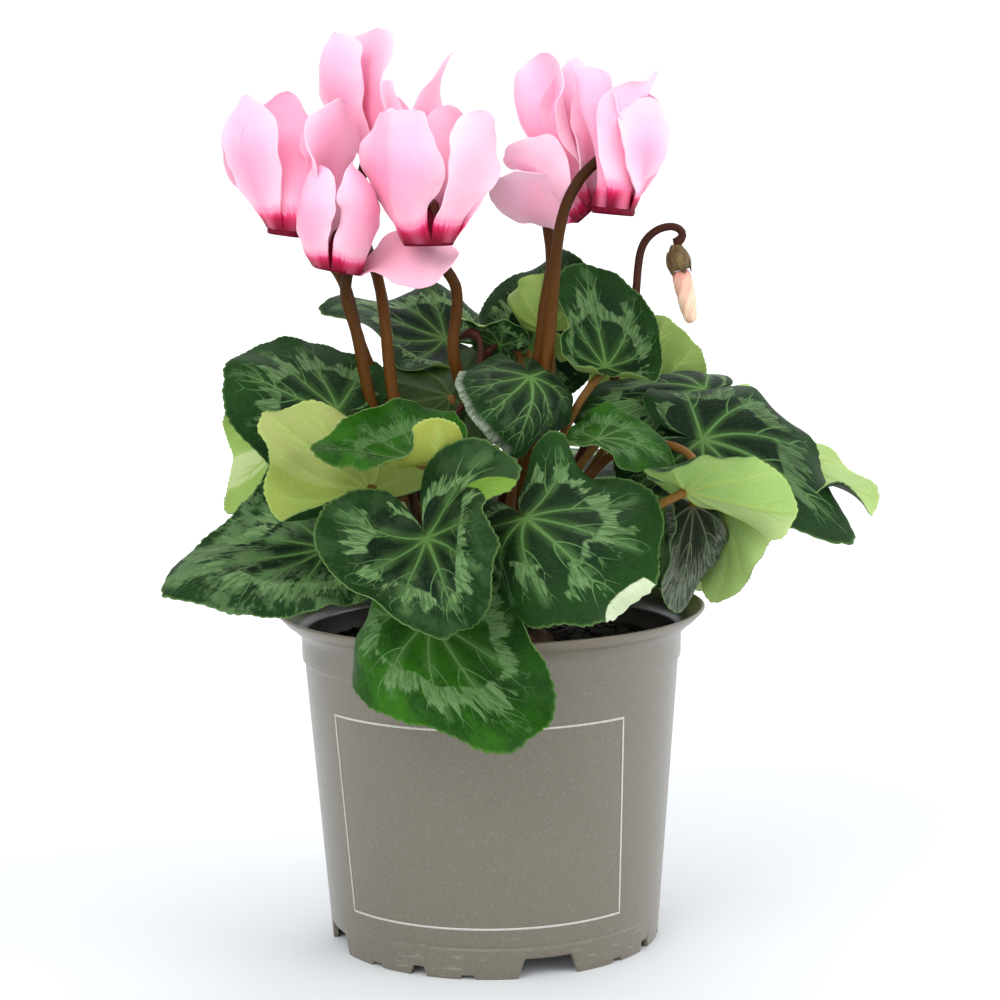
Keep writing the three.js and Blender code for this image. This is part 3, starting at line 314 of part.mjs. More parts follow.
// the biggest connected piece, with no closed hollow inside
function mainPiece(solid) {
  const parts = solid.decompose();
  let best = parts[0];
  for (const p of parts) if (p.volume() > best.volume()) best = p;
  return best;
}
function toGeometry(solid) {
  const m = solid.getMesh();
  const g = new THREE.BufferGeometry();
  const pos = new Float32Array(m.numVert * 3);
  for (let i = 0; i < m.numVert; i++) for (let k = 0; k < 3; k++) pos[3 * i + k] = m.vertProperties[i * m.numProp + k];
  g.setAttribute('position', new THREE.BufferAttribute(pos, 3));
  g.setIndex(new THREE.BufferAttribute(new Uint32Array(m.triVerts), 1));
  g.computeVertexNormals();
  return g;
}
// a sheet of the given points with a thickness: rings/rows of points, their normals, and the boundary loop
function slab(points, normals, faces, loop, thickness) {
  const n = points.length, pos = [], idx = [];
  for (const s of [0.5, -0.5]) for (let i = 0; i < n; i++) {
    const p = points[i].clone().addScaledVector(normals[i], s * thickness);
    pos.push(p.x, p.y, p.z);
  }
  for (const [a, b, c] of faces) { idx.push(a, b, c); idx.push(n + a, n + c, n + b); }
  for (let i = 0; i < loop.length; i++) {
    const a = loop[i], b = loop[(i + 1) % loop.length];
    idx.push(a, n + a, b, b, n + a, n + b);
  }
  const g = new THREE.BufferGeometry();
  g.setAttribute('position', new THREE.BufferAttribute(new Float32Array(pos), 3));
  g.setIndex(idx);
  return g;
}
const LEAF_ANGLES = [0, 16, 42, 74, 108, 140, 161, 174];
function leafBlade(net, extra = 0) {
  const deg = [...LEAF_ANGLES, 180, ...LEAF_ANGLES.slice(1).reverse().map((a) => -a)];
  const rings = [0.52, 1 + extra / 40];
  const pts = [patchPoint(net, LEAF_DOMAIN, 0, 0)], nrm = [patchNormal(net, LEAF_DOMAIN, 0, 0)], faces = [];
  for (const r of rings) for (const a of deg) {
    const R = lookup(OUTLINE_DEG, OUTLINE_R, Math.abs(a)) * r, t = (a * Math.PI) / 180;
    pts.push(patchPoint(net, LEAF_DOMAIN, R * Math.cos(t), R * Math.sin(t)));
    nrm.push(patchNormal(net, LEAF_DOMAIN, R * Math.cos(t), R * Math.sin(t)));
  }
  const m = deg.length;
  for (let i = 0; i < m; i++) {
    const j = (i + 1) % m;
    faces.push([0, 1 + i, 1 + j]);
    for (let k = 0; k < rings.length - 1; k++) {
      const a = 1 + k * m + i, b = 1 + k * m + j, c = 1 + (k + 1) * m + i, d = 1 + (k + 1) * m + j;
      faces.push([a, c, d], [a, d, b]);
    }
  }
  const loop = deg.map((_, i) => 1 + (rings.length - 1) * m + i);
  return toManifold(slab(pts, nrm, faces, loop, LEAF_THICKNESS + 2 * extra));
}
function petalBlade(petal, extra = 0) {
  const xs = [0, 0.22, 0.46, 0.72, 0.9, 0.985], vs = [-1, 0, 1];
  const pts = [], nrm = [], faces = [], m = vs.length;
  for (const x0 of xs) for (const v of vs) {
    const y = v * petal.width * lookup(PETAL_X, PETAL_W, x0) * (1 + extra / 8), x = x0 + (extra * (x0 - 0.3)) / 22;
    pts.push(patchPoint(petal.net, PETAL_DOMAIN, x, y));
    nrm.push(patchNormal(petal.net, PETAL_DOMAIN, x, y));
  }
  for (let i = 0; i < xs.length - 1; i++) for (let j = 0; j < m - 1; j++) {
    const a = i * m + j, b = a + 1, c = a + m, d = c + 1;
    faces.push([a, c, d], [a, d, b]);
  }
  const loop = [];
  for (let i = 0; i < xs.length; i++) loop.push(i * m);
  for (let j = 1; j < m; j++) loop.push((xs.length - 1) * m + j);
  for (let i = xs.length - 2; i >= 0; i--) loop.push(i * m + m - 1);
  for (let j = m - 2; j > 0; j--) loop.push(j);
  return toManifold(slab(pts, nrm, faces, loop, PETAL_THICKNESS + 2 * extra));
}
function tube(ctrl, radius, sides, steps) {
  const shape = new THREE.Shape();
  for (let i = 0; i < sides; i++) {
    const a = (2 * Math.PI * i) / sides;
    if (i) shape.lineTo(radius * Math.cos(a), radius * Math.sin(a)); else shape.moveTo(radius, 0);
  }
  shape.closePath();
  return toManifold(new THREE.ExtrudeGeometry(shape, { steps, bevelEnabled: false, extrudePath: new StalkCurve(ctrl) }));
}
// a round stem along the same kind of curve, its radius changing evenly from foot to top
function stem(ctrl, foot, top, sides, steps) {
  const curve = new StalkCurve(ctrl), frames = curve.computeFrenetFrames(steps, false), pos = [], idx = [];
  for (let i = 0; i <= steps; i++) {
    const p = curve.getPointAt(i / steps), r = foot + ((top - foot) * i) / steps;
    for (let j = 0; j < sides; j++) {
      const a = (2 * Math.PI * j) / sides;
      const q = p.clone().addScaledVector(frames.normals[i], r * Math.cos(a)).addScaledVector(frames.binormals[i], r * Math.sin(a));
      pos.push(q.x, q.y, q.z);
    }
  }
  for (let i = 0; i < steps; i++) for (let j = 0; j < sides; j++) {
    const a = i * sides + j, b = i * sides + ((j + 1) % sides);
    idx.push(a, b, b + sides, a, b + sides, a + sides);
  }
  for (let j = 1; j < sides - 1; j++) { idx.push(0, j + 1, j); const e = steps * sides; idx.push(e, e + j, e + j + 1); }
  const g = new THREE.BufferGeometry();
  g.setAttribute('position', new THREE.BufferAttribute(new Float32Array(pos), 3));
  g.setIndex(idx);
  return toManifold(g);
}
function lathe(profile, segments) {
  return toManifold(new THREE.LatheGeometry(profile.map(([r, z]) => new THREE.Vector2(r, z)), segments).rotateX(Math.PI / 2));
}
// moves a solid made along +Z from the origin to a base point and direction
function along(solid, base, axis) {
  const q = new THREE.Quaternion().setFromUnitVectors(new THREE.Vector3(0, 0, 1), new THREE.Vector3(...axis).normalize());
  const m = new THREE.Matrix4().compose(new THREE.Vector3(...base), q, new THREE.Vector3(1, 1, 1));
  return solid.transform(m.elements);
}

// ---- pot, peat, tuber ----
const wallRadius = (z) => POT_BASE_RADIUS + ((POT_WALL_TOP_RADIUS - POT_BASE_RADIUS) * z) / POT_WALL_TOP_Z;
function pot() {
  const floorTop = FLOOR_Z + FLOOR;
  let s = lathe([
    [0, FLOOR_Z], [wallRadius(FLOOR_Z) - FOOT, FLOOR_Z], [POT_BASE_RADIUS - FOOT, 0], [POT_BASE_RADIUS, 0],
    [wallRadius(POT_WALL_TOP_Z), POT_WALL_TOP_Z], [COLLAR_RADIUS - 0.15, POT_WALL_TOP_Z + 0.7], [COLLAR_RADIUS, COLLAR_TOP_Z],
    [COLLAR_RADIUS + 3.6, COLLAR_TOP_Z + 3.4], [COLLAR_RADIUS + 4.1, COLLAR_TOP_Z + 3.6], [POT_RIM_RADIUS, POT_HEIGHT - 0.4],
    [POT_RIM_RADIUS - 0.4, POT_HEIGHT], [POT_RIM_RADIUS - 1.2, POT_HEIGHT], [COLLAR_RADIUS + 2.7, COLLAR_TOP_Z + 4.0],
    [COLLAR_RADIUS - WALL - 0.1, COLLAR_TOP_Z + 0.7], [COLLAR_RADIUS - WALL - 0.25, POT_WALL_TOP_Z + 0.7],
    [POT_WALL_TOP_RADIUS - WALL, POT_WALL_TOP_Z - 0.3], [wallRadius(floorTop) - WALL, floorTop], [0, floorTop],
  ], POT_SIDES);
  const cutters = [];
  for (let q = 0; q < 4; q++) for (const [deg, w, h] of NOTCHES) {
    const sh = new THREE.Shape();
    sh.moveTo(-w / 2, -1); sh.lineTo(w / 2, -1); sh.lineTo(w / 2, 0); sh.lineTo(w / 2 - h * 0.35, h); sh.lineTo(-w / 2 + h * 0.35, h); sh.lineTo(-w / 2, 0); sh.closePath();
    const g = new THREE.ExtrudeGeometry(sh, { depth: 8, bevelEnabled: false });
    const a = ((deg + 90 * q) * Math.PI) / 180;
    // the shape's x runs around the pot, its y up, and the extrusion outwards
    const out = new THREE.Vector3(Math.sin(a), -Math.cos(a), 0), up = new THREE.Vector3(0, 0, 1), side = up.clone().cross(out);
    const m = new THREE.Matrix4().makeBasis(side, up, out).setPosition(out.clone().multiplyScalar(POT_BASE_RADIUS - 5));
    cutters.push(toManifold(g.applyMatrix4(m)));
  }
  for (let q = 0; q < 4; q++) {
    const a = ((18 + 90 * q) * Math.PI) / 180;
    const g = new THREE.CylinderGeometry(4, 4, 6, 8).rotateX(Math.PI / 2).translate(35 * Math.sin(a), -35 * Math.cos(a), FLOOR_Z);
    cutters.push(toManifold(g));
  }
  for (const c of cutters) s = s.subtract(c);
  return s;
}
function peat() {
  const z0 = FLOOR_Z + FLOOR + FIT_GAP, r = (z) => wallRadius(z) - WALL - FIT_GAP;
  const t = TUBER_RADIUS + FIT_GAP;
  return lathe([
    [0, z0], [r(z0), z0], [r(POT_WALL_TOP_Z - 1), POT_WALL_TOP_Z - 1], [r(POT_WALL_TOP_Z - 1), SOIL_TOP_Z - 0.8], [44, SOIL_TOP_Z], [28, SOIL_TOP_Z - 0.6], [t, SOIL_TOP_Z],
    [t, 79], [15 + FIT_GAP, 73 - FIT_GAP], [0, 70 - FIT_GAP],
  ], POT_SIDES);
}
function tuber() {
  return lathe([[0, 70], [15, 73], [TUBER_RADIUS, 79], [TUBER_RADIUS, 83.5], [16.4, 87], [14.6, TUBER_TOP_Z], [0, TUBER_TOP_Z]], 20);
}

// ---- plant ----
function leaf(d, extra = 0) {
  return mainPiece(leafBlade(d.net, extra).add(tube(d.stalk, STALK_RADIUS + extra, 5, 7)));
}
function corolla(f, extra = 0) {
  const R = f.ring + extra, z0 = -0.4 - f.lip - extra;
  let s = along(lathe([
    [0, TUBE_LENGTH - 2.2], [R * 0.6 - 0.9, TUBE_LENGTH - 3.6], [R - 1.3, z0], [R, z0], [R, 1.2], [R * 0.62, TUBE_LENGTH - 2], [2.3, TUBE_LENGTH + extra], [0, TUBE_LENGTH + extra],
  ], 9), f.mouth, f.axis);
  for (const p of f.petals) s = s.add(petalBlade(p, extra));
  return mainPiece(s);
}
function calyx(f, extra = 0) {
  const z = TUBE_LENGTH + FIT_GAP - extra, h = CALYX_HEIGHT - 0.35 + 2 * extra;
  const base = f.mouth.map((v, i) => v + f.axis[i] * z);
  return along(lathe([[0, 0], [2.2 + extra, 0], [3.0 + extra, h * 0.45], [1.8 + extra, h], [0, h]], 8), base, f.axis);
}
const budAt = (t) => BUD.top.map((v, i) => v + BUD.axis[i] * t);
function budCalyx() {
  return along(lathe([[0, 0], [1.4, 0], [2.5, 2.2], [3.4, 5.2], [3.1, 8.2], [0, 8.2]], 9), budAt(0.35), BUD.axis);
}
function budPetals() {
  return along(lathe([[0, 0], [2.5, 0], [2.6, 3], [2.45, 8], [2.0, 12], [1.4, 13.6], [0, 14.2]], 9), budAt(8.9), BUD.axis);
}

const flowerStem = (f, extra = 0) => stem(f.stem, STEM_FOOT_RADIUS + extra, STEM_TOP_RADIUS + extra, 6, 13);
const budStem = (extra = 0) => stem(BUD.stem, BUD_STEM_FOOT_RADIUS + extra, BUD_STEM_TOP_RADIUS + extra, 6, 12);
const pieces = {}, grown = {};
pieces.pot = { solid: pot(), color: 0x857a6e, roughness: 0.55 };
pieces.soil = { solid: peat(), color: 0x1c1715, roughness: 1 };
pieces.tuber = { solid: tuber(), color: 0x4a3526, roughness: 0.95 };
for (const [name, d] of Object.entries(LEAVES)) {
  pieces[name] = { solid: leaf(d), color: 0x2c5a2e, roughness: 0.6 };
  grown[name] = (gap) => leaf(d, gap);
}
for (const [i, f] of Object.entries(FLOWERS)) {
  pieces[`corolla_${i}`] = { solid: corolla(f), color: 0xf6a5c6, roughness: 0.6 };
  pieces[`calyx_${i}`] = { solid: calyx(f), color: 0x5b3a22, roughness: 0.7 };
  pieces[`flower_stem_${i}`] = { solid: flowerStem(f), color: 0x6a4422, roughness: 0.6 };
  grown[`corolla_${i}`] = (gap) => corolla(f, gap);
  grown[`calyx_${i}`] = (gap) => calyx(f, gap);
  grown[`flower_stem_${i}`] = (gap) => flowerStem(f, gap);
}
pieces.bud_stem = { solid: budStem(), color: 0x4f2c1d, roughness: 0.6 };
pieces.bud_calyx = { solid: budCalyx(), color: 0x5a4b2d, roughness: 0.7 };
pieces.bud_petals = { solid: budPetals(), color: 0xebbea5, roughness: 0.6 };
grown.bud_stem = (gap) => budStem(gap);
YOUNG_BUDS.forEach((ctrl, i) => {
  pieces[`young_bud_${i + 1}`] = { solid: tube(ctrl, YOUNG_STEM_RADIUS, 5, 9), color: 0x3a1f1a, roughness: 0.6 };
  grown[`young_bud_${i + 1}`] = (gap) => tube(ctrl, YOUNG_STEM_RADIUS + gap, 5, 9);
});

// where two pieces would touch, the first one is notched around the second
const NOTCHED = [
  ['leaf_02', 'leaf_03'],
  ['leaf_06', 'leaf_04'],
  ['leaf_04', 'leaf_07'],
  ['leaf_12', 'flower_stem_6'],
  ['leaf_14', 'leaf_15'],
  ['leaf_14', 'flower_stem_1'],
  ['leaf_14', 'flower_stem_2'],
  ['leaf_16', 'leaf_17'],
  ['leaf_16', 'leaf_18'],
  ['leaf_18', 'leaf_20'],
  ['leaf_19', 'leaf_21'],
  ['leaf_19', 'leaf_24'],
  ['leaf_19', 'flower_stem_1'],
  ['leaf_19', 'flower_stem_2'],
  ['leaf_19', 'flower_stem_4'],
  ['leaf_21', 'young_bud_2'],
  ['leaf_25', 'leaf_26'],
  ['corolla_1', 'flower_stem_1'],
  ['corolla_1', 'corolla_2'],
  ['corolla_2', 'flower_stem_2'],
  ['corolla_4', 'corolla_2'],
  ['corolla_2', 'flower_stem_4'],
  ['corolla_3', 'flower_stem_3'],
  ['corolla_4', 'flower_stem_4'],
  ['flower_stem_6', 'flower_stem_4'],
  ['corolla_5', 'flower_stem_5'],
  ['corolla_6', 'corolla_5'],
  ['corolla_5', 'corolla_6', 0.35],
  ['leaf_27', 'leaf_20', 0.8],
  ['leaf_27', 'leaf_23', 0.6],
];
for (const [a, b, gap] of NOTCHED) pieces[a].solid = mainPiece(pieces[a].solid.subtract(grown[b](gap ?? FIT_GAP)));

// ---- scene graph ----
const group = new THREE.Group();
for (const [name, p] of Object.entries(pieces)) {
  const mesh = new THREE.Mesh(toGeometry(p.solid.asOriginal().simplify(TRIM)), new THREE.MeshStandardMaterial({ color: p.color, roughness: p.roughness, metalness: 0, side: THREE.FrontSide }));
  mesh.name = name;
  group.add(mesh);
}
// the origin is the centre of the whole object's box, at the foot of the pot
const box = new THREE.Box3().setFromObject(group);
group.position.set(-(box.min.x + box.max.x) / 2, -(box.min.y + box.max.y) / 2, 0);

export default group;
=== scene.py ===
# Looks of the potted cyclamen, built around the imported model. Metres, same frame as the CAD.
# The nets and curves below are the same ones the solids are made from, in millimetres about the pot's axis.
import math
import bpy
import numpy as np
from mathutils import Matrix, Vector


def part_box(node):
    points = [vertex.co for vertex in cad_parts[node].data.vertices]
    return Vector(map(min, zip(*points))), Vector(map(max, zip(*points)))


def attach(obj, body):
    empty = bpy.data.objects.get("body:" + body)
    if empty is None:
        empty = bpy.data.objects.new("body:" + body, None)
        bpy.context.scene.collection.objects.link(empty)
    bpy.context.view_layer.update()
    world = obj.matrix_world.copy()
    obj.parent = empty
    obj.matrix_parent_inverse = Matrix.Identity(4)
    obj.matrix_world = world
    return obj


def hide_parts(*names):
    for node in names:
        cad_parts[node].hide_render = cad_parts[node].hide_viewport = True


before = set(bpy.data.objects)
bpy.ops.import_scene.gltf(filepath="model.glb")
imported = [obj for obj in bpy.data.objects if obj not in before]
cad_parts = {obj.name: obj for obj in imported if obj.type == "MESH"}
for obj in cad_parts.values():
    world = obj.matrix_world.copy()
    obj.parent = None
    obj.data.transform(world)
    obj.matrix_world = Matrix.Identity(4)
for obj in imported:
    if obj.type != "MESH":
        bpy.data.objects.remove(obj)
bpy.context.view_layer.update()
_lo, _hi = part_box("pot")
OX, OY = (_lo[0] + _hi[0]) / 2 * 1000, (_lo[1] + _hi[1]) / 2 * 1000   # pot axis in the frame, mm

LEAVES = {
    "leaf_01": {"net": [-82.9,-35.9,147.5,29.7,-78.7,124.8,-75.5,-3.1,154.9,10,-65.3,115.2,-20.9,-36.1,194.4,-3.4,-73.9,113,-119.1,-11.5,166.2,78.1,-73.3,28.2,-93.4,-22.9,238.9,123.3,-62.6,56.4,-109,-40,125.6,78,-94.1,43.5,-133.8,-15.6,215.6,138.8,-77.5,2.6,-194.7,-81.8,226.1,54.2,-119.8,80,-161.7,-26.1,179.7,172.5,-124.6,5.3,-205.5,-76.2,237,199.2,-69.3,32.2,-97.2,-51.2,142.5,104.9,-159,6.1,-151.8,30.4,202.3,155.7,-132.2,2,-119.6,-76.3,179.4],
                "stalk": [-3.9,-10.8,88.9,-6,-15.5,98.4,-10.3,-19.5,110.6,-17,-21,125.3,-23.2,-21.4,135.6,-20.3,-23,131.5,-21,-29.3,117.7,-17.2,-42.1,118.4,-16.3,-53.3,120.7]},
    "leaf_02": {"net": [46.2,-6.9,104.8,-72.9,-65.7,156.3,70,-12.1,118.6,-28.3,-51.3,131.3,33.6,-34.8,195.2,-29.5,-90.3,105.4,10.4,2.1,150.5,-21.5,-88.3,53.5,37.1,-42.7,229.4,26.6,-54.6,61.7,-6.6,-2.8,152.1,32.2,-150.4,33.5,-57.3,-11.1,261.4,100.1,-95.7,-3.8,-27.8,0.9,200.9,62,-126.6,27.7,-90.7,-0.4,211.6,168.3,-197.3,14.8,-117.5,23,209.6,180.8,-124,101.7,-58.8,-49.8,137.8,182.7,-168.4,21.3,-179.3,58.2,172.9,254.2,-182.8,61.7,-88.2,-9.4,112.4],
                "stalk": [0.1,-13,88.9,0.2,-15.7,94.9,1.3,-20,100.2,2.9,-25.3,105,4.8,-31.3,109.5,6.6,-37.8,113.8,8.2,-44.5,118,9.2,-51.4,122.1,9.4,-58.4,126.2]},
    "leaf_03": {"net": [-44.1,-49.8,98.4,-11.6,-15.2,86.4,-64.4,-66.9,153.3,21.9,-32.7,97.2,-24.7,-41.6,147.2,-11.2,-14.6,93,-63.5,-95.9,122.6,17.4,-35.6,67.4,-60.2,-69.9,172.4,55.5,-39.8,81.5,-99.5,-125.6,70.8,8.6,-10.4,60,-52.8,-117.7,169.7,66.8,-7.5,-5.3,-51.7,-81.3,161,66.7,-25.3,75.1,-77,-185.5,163.2,58.4,40.4,-53.3,-52.9,-121.7,198.5,56,-70.2,25.3,-76.2,-144.7,53.7,90.2,-1.2,-5.8,-77.5,-168.9,190.6,104.2,-16,-40.5,-13.3,-80.7,174.8],
                "stalk": [-1.1,-8.4,88.9,-1.8,-12.3,96.9,-3.5,-19.6,102.1,-6.2,-28,104.6,-9.7,-36,105.1,-13.1,-43,104,-15.7,-49.3,102.2,-16.8,-54.6,100.7,-15.6,-58.3,100.4]},
    "leaf_04": {"net": [63.4,-23.3,128.3,46.2,-9.5,127.3,65.3,-25.5,147.1,34.7,-54.9,145.2,75.4,-31.5,112.9,34.5,-11.2,116.2,104.9,-33.8,134.3,10.5,-32.9,138.1,75.9,-14.3,111.7,15.3,-52.2,153.6,110.9,-50,125.4,-0.6,-34.1,130.4,139.3,-32.8,111.5,-20.6,-35.3,142,85.2,-35,94.4,13.6,-10.9,107.4,131.5,-64.9,88.1,-41.9,-9.2,129.2,115,-58.5,78.2,20.4,-48.7,137.3,101.3,-36.2,102.5,1.1,7.2,124.4,110.7,-79.5,58.2,-7,-19.7,128.1,58.9,-60,88.2],
                "stalk": [6.6,-6.5,88.9,13.5,-6.9,104.9,20.7,-6.5,119,27.1,-7.3,130.7,34.4,-9.9,138.4,44.5,-15,141.3,53.6,-25.4,140.4,56.7,-36.6,135.8,54.2,-32.2,125.6]},
    "leaf_05": {"net": [54.1,-20.9,128,51.4,3.8,115.2,28.4,-36.6,158.7,74.3,-1.1,121.2,37.4,-16,127.4,35.8,-1.8,108.9,28,-32.9,137.4,61.4,-13.7,124.1,44.8,-33.9,134.9,62.8,-9.8,114.3,58.3,-47.3,131.9,34.6,-6.1,98.2,34.5,-59.1,162.7,74.5,-13.1,104.8,35.7,-38.6,128.7,32.9,-10.4,88.3,36.5,-51.2,138.5,53.7,-36.5,92.3,47.7,-50.1,128.3,57.9,-12.5,94.8,25.7,-47.7,121.2,37.8,-32.6,96,44.2,-48.7,108.5,50.8,-21.9,95.2,64.2,-46,113.1],
                "stalk": [4.3,-2.7,88.9,6.4,-4.8,98.8,10.5,-9.1,107.3,16.6,-14.1,114.4,24.7,-18.7,119.8,33.5,-22.4,123.5,41.6,-25.2,125.8,47,-26.7,126.6,46.9,-27,126.7]},
    "leaf_06": {"net": [47.4,-60.5,130.8,45,-81.8,139.7,8.2,-31,141,60.8,-26.7,133.2,44.6,-21.3,141.2,46.2,-79.3,150.1,47.4,-27.7,141.6,61.5,-68.4,135.6,20.3,-31.4,110.1,69.6,-21.8,137.1,69.5,-33.6,139.8,54.2,-87.1,143.4,29,-6,118.4,86.4,-66.4,148.5,41.4,-11.4,94.4,61.5,-85.7,133.9,81.5,5.1,141.9,80.5,-138.5,129.1,51.1,4.9,90.6,97.3,-55,174,92.9,-27,161,71.3,-84.8,119.7,90.3,14.7,130.8,82.2,-101.3,122.6,63.4,-10.2,77.6],
                "stalk": [6.5,-10.2,88.9,9.4,-14.3,98.1,14.2,-20.4,105.6,20.1,-27.6,111.9,26.5,-35,117.2,32.8,-41.6,121.6,38.7,-46.7,125.2,43.7,-49,127.9,51.1,-46.7,131.8]},
    "leaf_07": {"net": [59.8,-13.7,141.3,44.6,-18.2,128.2,84.2,-28.1,157.4,78.7,-12.8,108.3,59.7,-24,127.6,40.5,-18.2,122.5,80.5,-10.7,132.9,32.4,-47.8,120.2,93.9,-25.2,149.9,70.4,-25.5,97.1,65.8,-14.6,120.8,38.3,-29.2,114.4,87.2,0.3,117.8,37.3,-66.4,113,91.8,-37.4,145,37.2,-17.5,102.4,85.7,-14.7,107.7,56.3,-41.8,106,78.2,-18.4,114.1,56.8,-54.6,91.7,71.9,-14.9,99,29.9,-30.2,100.4,68.4,-31.3,100.4,63.3,-44.2,91.5,83,-38.6,113.3],
                "stalk": [10.1,-4.7,88.9,11.5,-5.8,93.5,13.5,-9.6,96.7,16.5,-13.8,99.2,21.5,-16.8,101.9,30.4,-18.3,106.2,45.4,-19.5,113.6,66.6,-23.6,124.4,64.2,-27.2,123.1]},
    "leaf_08": {"net": [-5,-32.1,164.3,-16.3,-29.8,158.9,26.4,-25.4,110.1,-30.2,-53.7,185.7,1.2,-30.7,139.9,-7.3,-0.6,127.9,-2.9,-24.2,166.1,-45.9,-47.5,122.9,48.1,-49.3,112.4,-66.3,-56.7,193.3,-43.7,-29.4,181.5,-28.8,-23.9,100.7,16.5,-21.5,183.5,-115.1,-46.1,117.2,48.6,-40.7,70.8,-3.3,-31.7,140.2,-48,-34,184.7,-58.6,-30.5,84.3,21.6,-42.7,165.6,-84.9,-102.8,240.6,-68.6,-54.4,157.5,-22.9,0.1,160.6,-61.4,-41.5,108.3,-59.1,-72,212.6,-11.8,2.9,-8.4],
                "stalk": [-6.3,-7.5,88.9,-7.3,-11.4,99.8,-6.9,-17.3,109.9,-5.9,-23.9,119,-5.4,-30,127.1,-6.4,-34.7,133.6,-10,-36.5,137.3,-16,-35,137.1,-19,-35.5,139.4]},
    "leaf_09": {"net": [15.2,-40.9,143.6,15.8,-34.2,142.1,14.8,-28.3,141.6,17.2,-12.3,141.4,22.6,-13.9,144.7,21.3,-43.1,141.1,28.4,-35,142,15.5,-19.9,139.8,34.9,-29,144.9,20.2,-5.6,145.1,45.4,-39.8,153.7,17.8,-31.4,147.7,55.8,-40.3,136.3,17.6,-7.6,149.9,38.5,-33.7,166.5,17.7,-44.7,122.3,67.7,-42.1,138.1,11.6,-9.5,150.6,59.8,-39.8,145.8,35.6,1.7,138.4,58.3,-34,133.4,11.1,-23.5,128.5,86.8,-50.2,134.4,34.6,-2.9,138.2,56.5,-24,152.2],
                "stalk": [2.3,-10.2,88.9,3.1,-12.3,95.9,5.3,-14.5,102.7,8.4,-16.7,109.5,12.1,-18.8,116.2,16.2,-21,122.8,20.4,-23.1,129.5,24.7,-25.2,136.2,28.9,-27.4,143]},
    "leaf_10": {"net": [-17.2,-56.1,133,-77.7,-31.1,143.1,23.6,-70.5,142.9,-32.7,-21.9,119.4,13.2,-34.2,151,-85.5,-61.6,142.9,38.5,-70.6,118.2,-92.1,-4.7,75.6,31,-46.7,177.8,-36.9,-7.1,122.2,-19.6,-30.4,75.4,-155.6,4.3,109.4,80.5,-55.4,198.7,-109.1,18.5,59.1,14.4,-25.9,184.1,-114,-30.7,197.3,56.8,-62.7,156.2,-169.3,18.2,68.2,35.5,-63.6,252.1,-93.1,25.3,92.7,-14.6,-58.1,106.6,-151.3,-4.5,144,23.4,-54.3,201,-123.8,25.3,82.4,-15.5,-29.4,219.7],
                "stalk": [-9.9,-7.6,88.9,-11.9,-8.9,96.7,-13.2,-9.1,104.7,-14.4,-9.3,112.6,-16.1,-11,119.7,-19.4,-15.6,125.3,-25.3,-23.1,129,-31.9,-30,130.5,-31.9,-30,130.5]},
    "leaf_11": {"net": [-24,-25.1,141.5,-43.7,-4.2,152,-10.7,-49.6,118.1,-28,-44.1,106.4,-32.4,-44.8,90.3,-65.2,-11.1,164.1,-54.5,-43,97.2,12.2,3.1,160.8,-68.3,-28.9,68.1,-27.4,-53.3,121.7,-76.9,-50.9,95.8,-4,31.6,182.8,-114.7,-23.1,-3.7,-1.1,-41.8,187.3,-78.1,-51.8,78,-41,45,140.3,-144.6,-54.1,52.3,0,-20.1,217.8,-133.3,-36.7,38.8,-28.9,-22.8,114.4,-133.9,-42,130.2,-18.9,34.6,111.7,-180.7,-67.3,76.3,-14.8,-23.6,125.4,-108.1,-66.6,72.8],
                "stalk": [-10.4,-3.3,88.9,-11.9,-3.8,93.2,-14.8,-5.4,96.9,-18.8,-7.6,100.2,-23.3,-10.3,103.2,-28.3,-13.3,106,-33.6,-16.5,108.7,-39,-19.7,111.4,-44.4,-23.1,114]},
    "leaf_12": {"net": [-2.5,-4.9,167.7,-8.9,6.3,145.5,16.6,-15.5,207.6,3,10,127.5,21.2,3.7,177,-21.5,-3.8,150.3,12.5,-28.6,186.7,-2.5,3.9,102.7,33,-10.1,230.6,4.3,4.6,112.7,5.1,-38.8,172.3,-16.4,7.1,128.3,41.9,-47.5,237.6,9.2,-14.2,66.5,53.4,-18.3,221,-21.1,-10.1,135.5,17.2,-72.8,180,-3.9,-4.4,76.8,29.5,-28.1,228.2,2.2,-1.8,60.8,4.3,-53.9,147.8,-25.8,14.8,118.7,30.5,-58.3,181.3,0.3,3.8,74.6,14.3,-16.5,199.4],
                "stalk": [3,-6.3,88.9,4,-7.9,100.6,4.9,-8.5,112.2,5.9,-8.5,123.5,6.8,-8.5,134.1,7.8,-8.6,143.8,8.8,-9.3,151.8,10,-11.1,157.3,11.3,-14.6,159]},
    "leaf_13": {"net": [42.9,-19.1,147.5,44.1,-13.8,182.6,22.8,-7,140.1,44.2,-18.2,175.2,13.3,-16.6,163.2,63.4,2.9,163.2,25.2,-16.9,126.8,53,0.4,185.7,-6.5,-11.9,133.1,32.9,-10,168.3,28.6,-3.2,161.8,69.1,34.1,182.4,17,3.1,112.4,49.5,23.3,186,-4.4,2.4,161.6,67.6,7.3,182.3,18.6,-5.3,165.7,43.5,26.2,219.4,-8.5,-2.4,151.4,61.7,-2.1,191.3,36.6,13.8,189.5,52.4,11.9,201.3,20.3,18.8,161.9,26.2,15.8,222.8,-15.4,-2.3,169.6],
                "stalk": [5.9,2.2,88.9,10.1,1.3,107.9,14.8,-0.6,125.4,19.6,-2.5,140.1,24.4,-3.9,150.2,29.1,-3.4,156.5,31.8,-0.8,159.2,32.9,1.6,160,32.9,1.6,160.2]},
